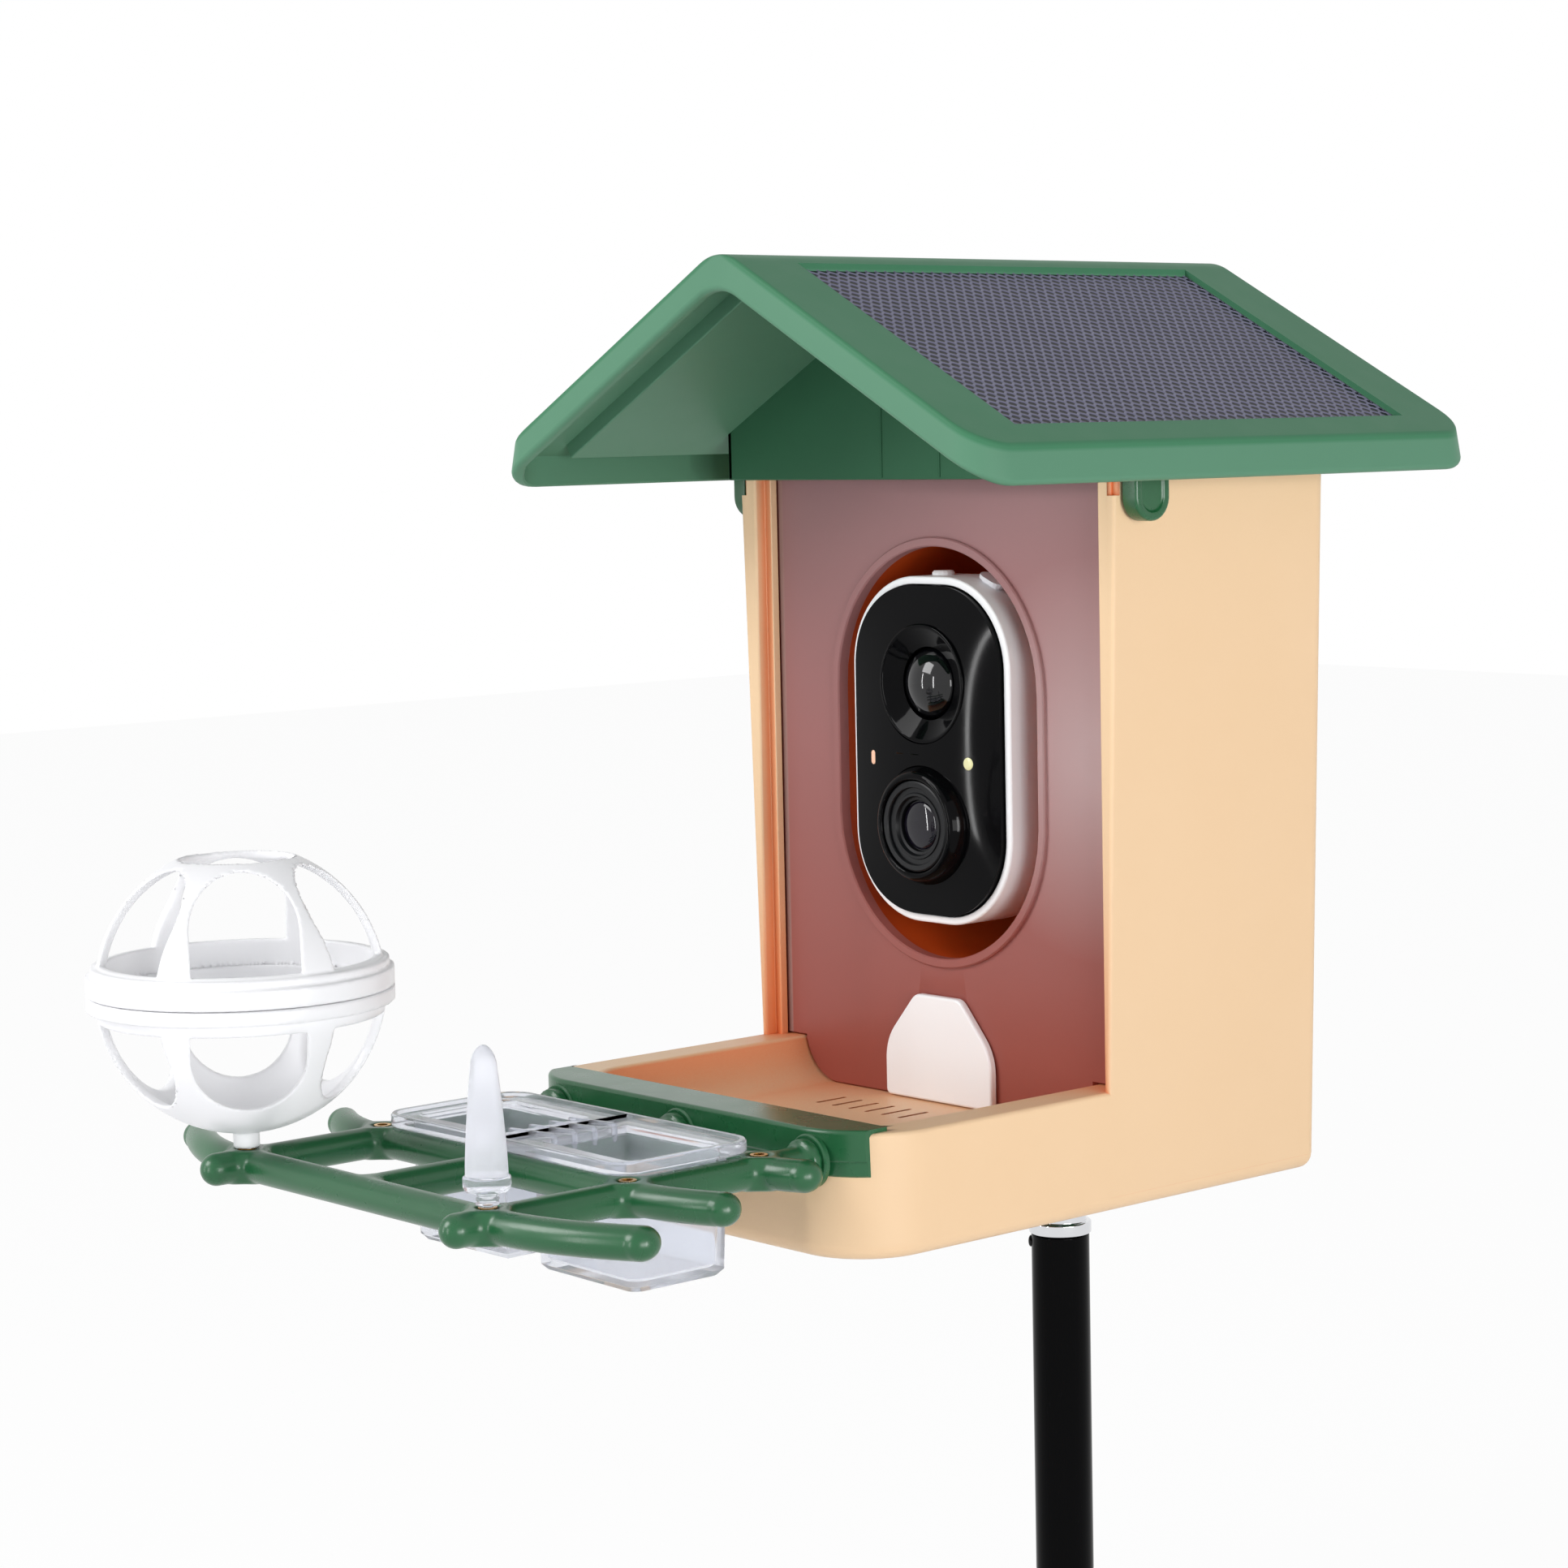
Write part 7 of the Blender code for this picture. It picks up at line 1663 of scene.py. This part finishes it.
# %% Spike
def spike():
    """A turned foot with thread and collar, and a blade that narrows by 1 - 0.5 * share ** 1.5."""
    x, y = BAR_X, FRONT_ROW
    base = ROD_TOP_Z + GAP
    collar_low, collar_top, tip = base + 3.4 * MM, base + 6.9 * MM, base + 36.4 * MM
    profile = [(0, base - 4.5 * MM), (1.0 * MM, base - 4.4 * MM), (1.05 * MM, base - 4.2 * MM),
               (1.05 * MM, base)]
    turns = 3
    for i in range(turns):
        z = base + 3.2 * MM * i / turns
        profile += [(2.4 * MM, z + 0.1 * MM), (2.8 * MM, z + 0.5 * MM)]
    profile += [(2.5 * MM, collar_low)]
    profile += rounded([(2.5 * MM, collar_low), (5.0 * MM, collar_low), (5.5 * MM, collar_low + 1.2 * MM),
                        (5.5 * MM, collar_top), (0, collar_top)], [0, 0.6 * MM, 0.5 * MM, 0.6 * MM, 0],
                       5)[1:].tolist()
    foot = solid("spike_foot", turned(profile, (x, y, 0), steps=64), ACRYLIC, 50)
    turn = math.radians(40)
    t = 2 * np.pi * np.arange(64) / 64
    power = 0.85
    across = np.sign(np.cos(t)) * np.abs(np.cos(t)) ** power
    deep = np.sign(np.sin(t)) * np.abs(np.sin(t)) ** power
    rings = []
    for share in 1 - (1 - np.linspace(0, 1, 33)) ** 1.6:
        width = (1 - 0.5 * share ** 1.5) * 4.9 * MM
        thick = (1 - 0.45 * share ** 1.5) * 3.4 * MM
        cap = math.sqrt(max(0.0, 1 - max(0.0, (share - 0.86) / 0.14) ** 2))
        px, py = across * width * max(cap, 0.01), deep * thick * max(cap, 0.01)
        z = collar_top - 0.3 * MM + (tip - collar_top + 0.3 * MM) * share
        rings.append(np.column_stack([x + px * math.cos(turn) - py * math.sin(turn),
                                      y + px * math.sin(turn) + py * math.cos(turn), np.full(64, z)]))
    blade = solid("spike_blade", loft(rings), FROST, 60)
    return foot, blade


spike_foot, spike_blade = spike()
seat(spike_foot, "spike", "clear_acrylic", "fruit_spike")
seat(spike_blade, "spike", "clear_acrylic")

# %% [markdown]
# ## Pieces that keep their CAD shape
#
# Screws, inserts, pins, small fittings and what sits inside keep the shape of the CAD model. Each one only
# gets its real finish.

# %% Finishes for the pieces kept
KEPT = {
    "pole_spigot": ZINC, "pole_stud": ZINC, "mount_adapter": GREEN, "adapter_insert": BRASS,
    "hinge_pin_right": ZINC, "hinge_pin_left": ZINC, "hopper_floor": CREAM, "camera_dock": SATIN_BLACK,
    "camera_board": BOARD, "camera_battery": WRAP, "power_button": WHITE, "port_plug": RUBBER,
}
KEPT.update({f"adapter_screw_{i}": ZINC for i in range(1, 5)})
KEPT.update({f"perch_insert_{i}": BRASS for i in range(1, 7)})
for kept_name, kept_finish in KEPT.items():
    nodes[kept_name].data.materials.clear()
    nodes[kept_name].data.materials.append(kept_finish)
print("pieces kept from the CAD model:", len(KEPT))

# %% [markdown]
# ## Stage
#
# The floor shows plain white to the camera and in mirrors, and still takes a faint shadow. It is white
# light and white paper at once: rays that the eye follows get the light, and the others meet the paper.


# %% Stage
def followed(tree):
    """Whether the eye follows a ray: the largest of the camera, glossy and transmission switches."""
    path = add_node(tree, "ShaderNodeLightPath")
    seen = path.outputs["Is Camera Ray"]
    for kind in ("Is Glossy Ray", "Is Transmission Ray"):
        either = add_node(tree, "ShaderNodeMath", {"operation": "MAXIMUM"}, {0: seen, 1: path.outputs[kind]})
        seen = either.outputs[0]
    return seen


def backdrop(name, corners):
    """A flat sheet: 0.96 of white light for rays that the eye follows, else white paper."""
    mesh = bpy.data.meshes.new(name)
    mesh.from_pydata(corners, [], [(0, 1, 2, 3)])
    item = bpy.data.objects.new(name, mesh)
    bpy.context.scene.collection.objects.link(item)
    made = bpy.data.materials.new(name)
    made.use_nodes = True
    tree = made.node_tree
    tree.nodes.clear()
    share = add_node(tree, "ShaderNodeMath", {"operation": "MULTIPLY", 1: 0.96}, {0: followed(tree)})
    paper = add_node(tree, "ShaderNodeBsdfDiffuse", {"Color": linear("#F6F6F8")})
    glow = add_node(tree, "ShaderNodeEmission", {"Color": (1, 1, 1, 1), "Strength": 1.0})
    mix = add_node(tree, "ShaderNodeMixShader", {}, {0: share.outputs[0], 1: paper.outputs[0],
                                                     2: glow.outputs[0]})
    add_node(tree, "ShaderNodeOutputMaterial", {}, {0: mix.outputs[0]})
    mesh.materials.append(made)
    return item


FAR, UNDER = 3.0, -0.0005
backdrop("floor", [(-FAR, -FAR, UNDER), (FAR, -FAR, UNDER), (FAR, FAR, UNDER), (-FAR, FAR, UNDER)])
print("floor", 2 * FAR, "m wide,", -UNDER / MM, "mm under the pole")

# %% [markdown]
# ## World and lamps
#
# The room is white to the eye and dim as a light. Two soft boxes do most of the work, and three narrow
# strips draw the bright lines in the black pieces.


# %% World and lamps
def soft_box(name, at, target, width, height, power):
    """A rectangular lamp that faces a target; sizes in metres, power in watts."""
    light = bpy.data.lights.new(name, "AREA")
    light.shape = "RECTANGLE"
    light.size, light.size_y = width, height
    light.energy = power
    item = bpy.data.objects.new(name, light)
    item.location = at
    item.rotation_euler = (Vector(target) - Vector(at)).to_track_quat("-Z", "Y").to_euler()
    bpy.context.scene.collection.objects.link(item)


world = bpy.data.worlds.new("studio")
bpy.context.scene.world = world
world.use_nodes = True
world_tree = world.node_tree
world_tree.nodes.clear()
white = add_node(world_tree, "ShaderNodeBackground", {"Color": (1, 1, 1, 1), "Strength": 1.0})
fill = add_node(world_tree, "ShaderNodeBackground", {"Color": (0.95, 0.97, 1, 1), "Strength": 0.24})
both = add_node(world_tree, "ShaderNodeMixShader", {}, {0: followed(world_tree), 1: fill.outputs[0],
                                                        2: white.outputs[0]})
add_node(world_tree, "ShaderNodeOutputWorld", {}, {0: both.outputs[0]})
middle = (0, -0.08, 0.22)
soft_box("key", (1.35, -0.35, 0.27), middle, 0.9, 0.45, 9)
soft_box("front", (-0.5, -1.1, 0.95), middle, 0.6, 0.6, 9.5)
soft_box("strip_right", (1.4, -0.07, 0.22), middle, 0.06, 0.8, 3.5)
soft_box("strip_front", (-0.05, -1.5, 0.22), middle, 0.06, 0.8, 3.5)
soft_box("cover_streak", (-0.80, -1.22, 0.2), middle, 0.025, 0.9, 2.6)
print("lamps:", len(bpy.data.lights))

# %% [markdown]
# ## Point of view
#
# The camera stands where the photograph's did. Its place, direction, roll and focal length come from a
# least squares fit of about forty matched points.

# %% Point of view
FOCAL_PIXELS, PICTURE_PIXELS, SENSOR_MM = 4480.5, 1932, 36
eye_at = Vector((0.69542, -0.70450, 0.33077))
forward = Vector((-0.74985, 0.65427, -0.09828)).normalized()
roll = math.radians(-1.23)
right = forward.cross(Vector((0, 0, 1))).normalized()
up = right.cross(forward)
right, up = right * math.cos(roll) + up * math.sin(roll), up * math.cos(roll) - right * math.sin(roll)
lens = bpy.data.cameras.new("camera")
lens.sensor_width = SENSOR_MM
lens.lens = FOCAL_PIXELS / PICTURE_PIXELS * SENSOR_MM
camera = bpy.data.objects.new("camera", lens)
turn = Matrix((right, up, -forward)).transposed().to_4x4()
camera.matrix_world = Matrix.Translation(eye_at) @ turn
bpy.context.scene.collection.objects.link(camera)
bpy.context.scene.camera = camera
bpy.context.scene.view_settings.view_transform = "Standard"
print("lens", round(lens.lens, 1), "mm,", round(eye_at.length, 2), "m from the pole's foot")

# %% [markdown]
# ## Last update
#
# The view layer is brought up to date at the end.

# %% Bring the view layer up to date
bpy.context.view_layer.update()
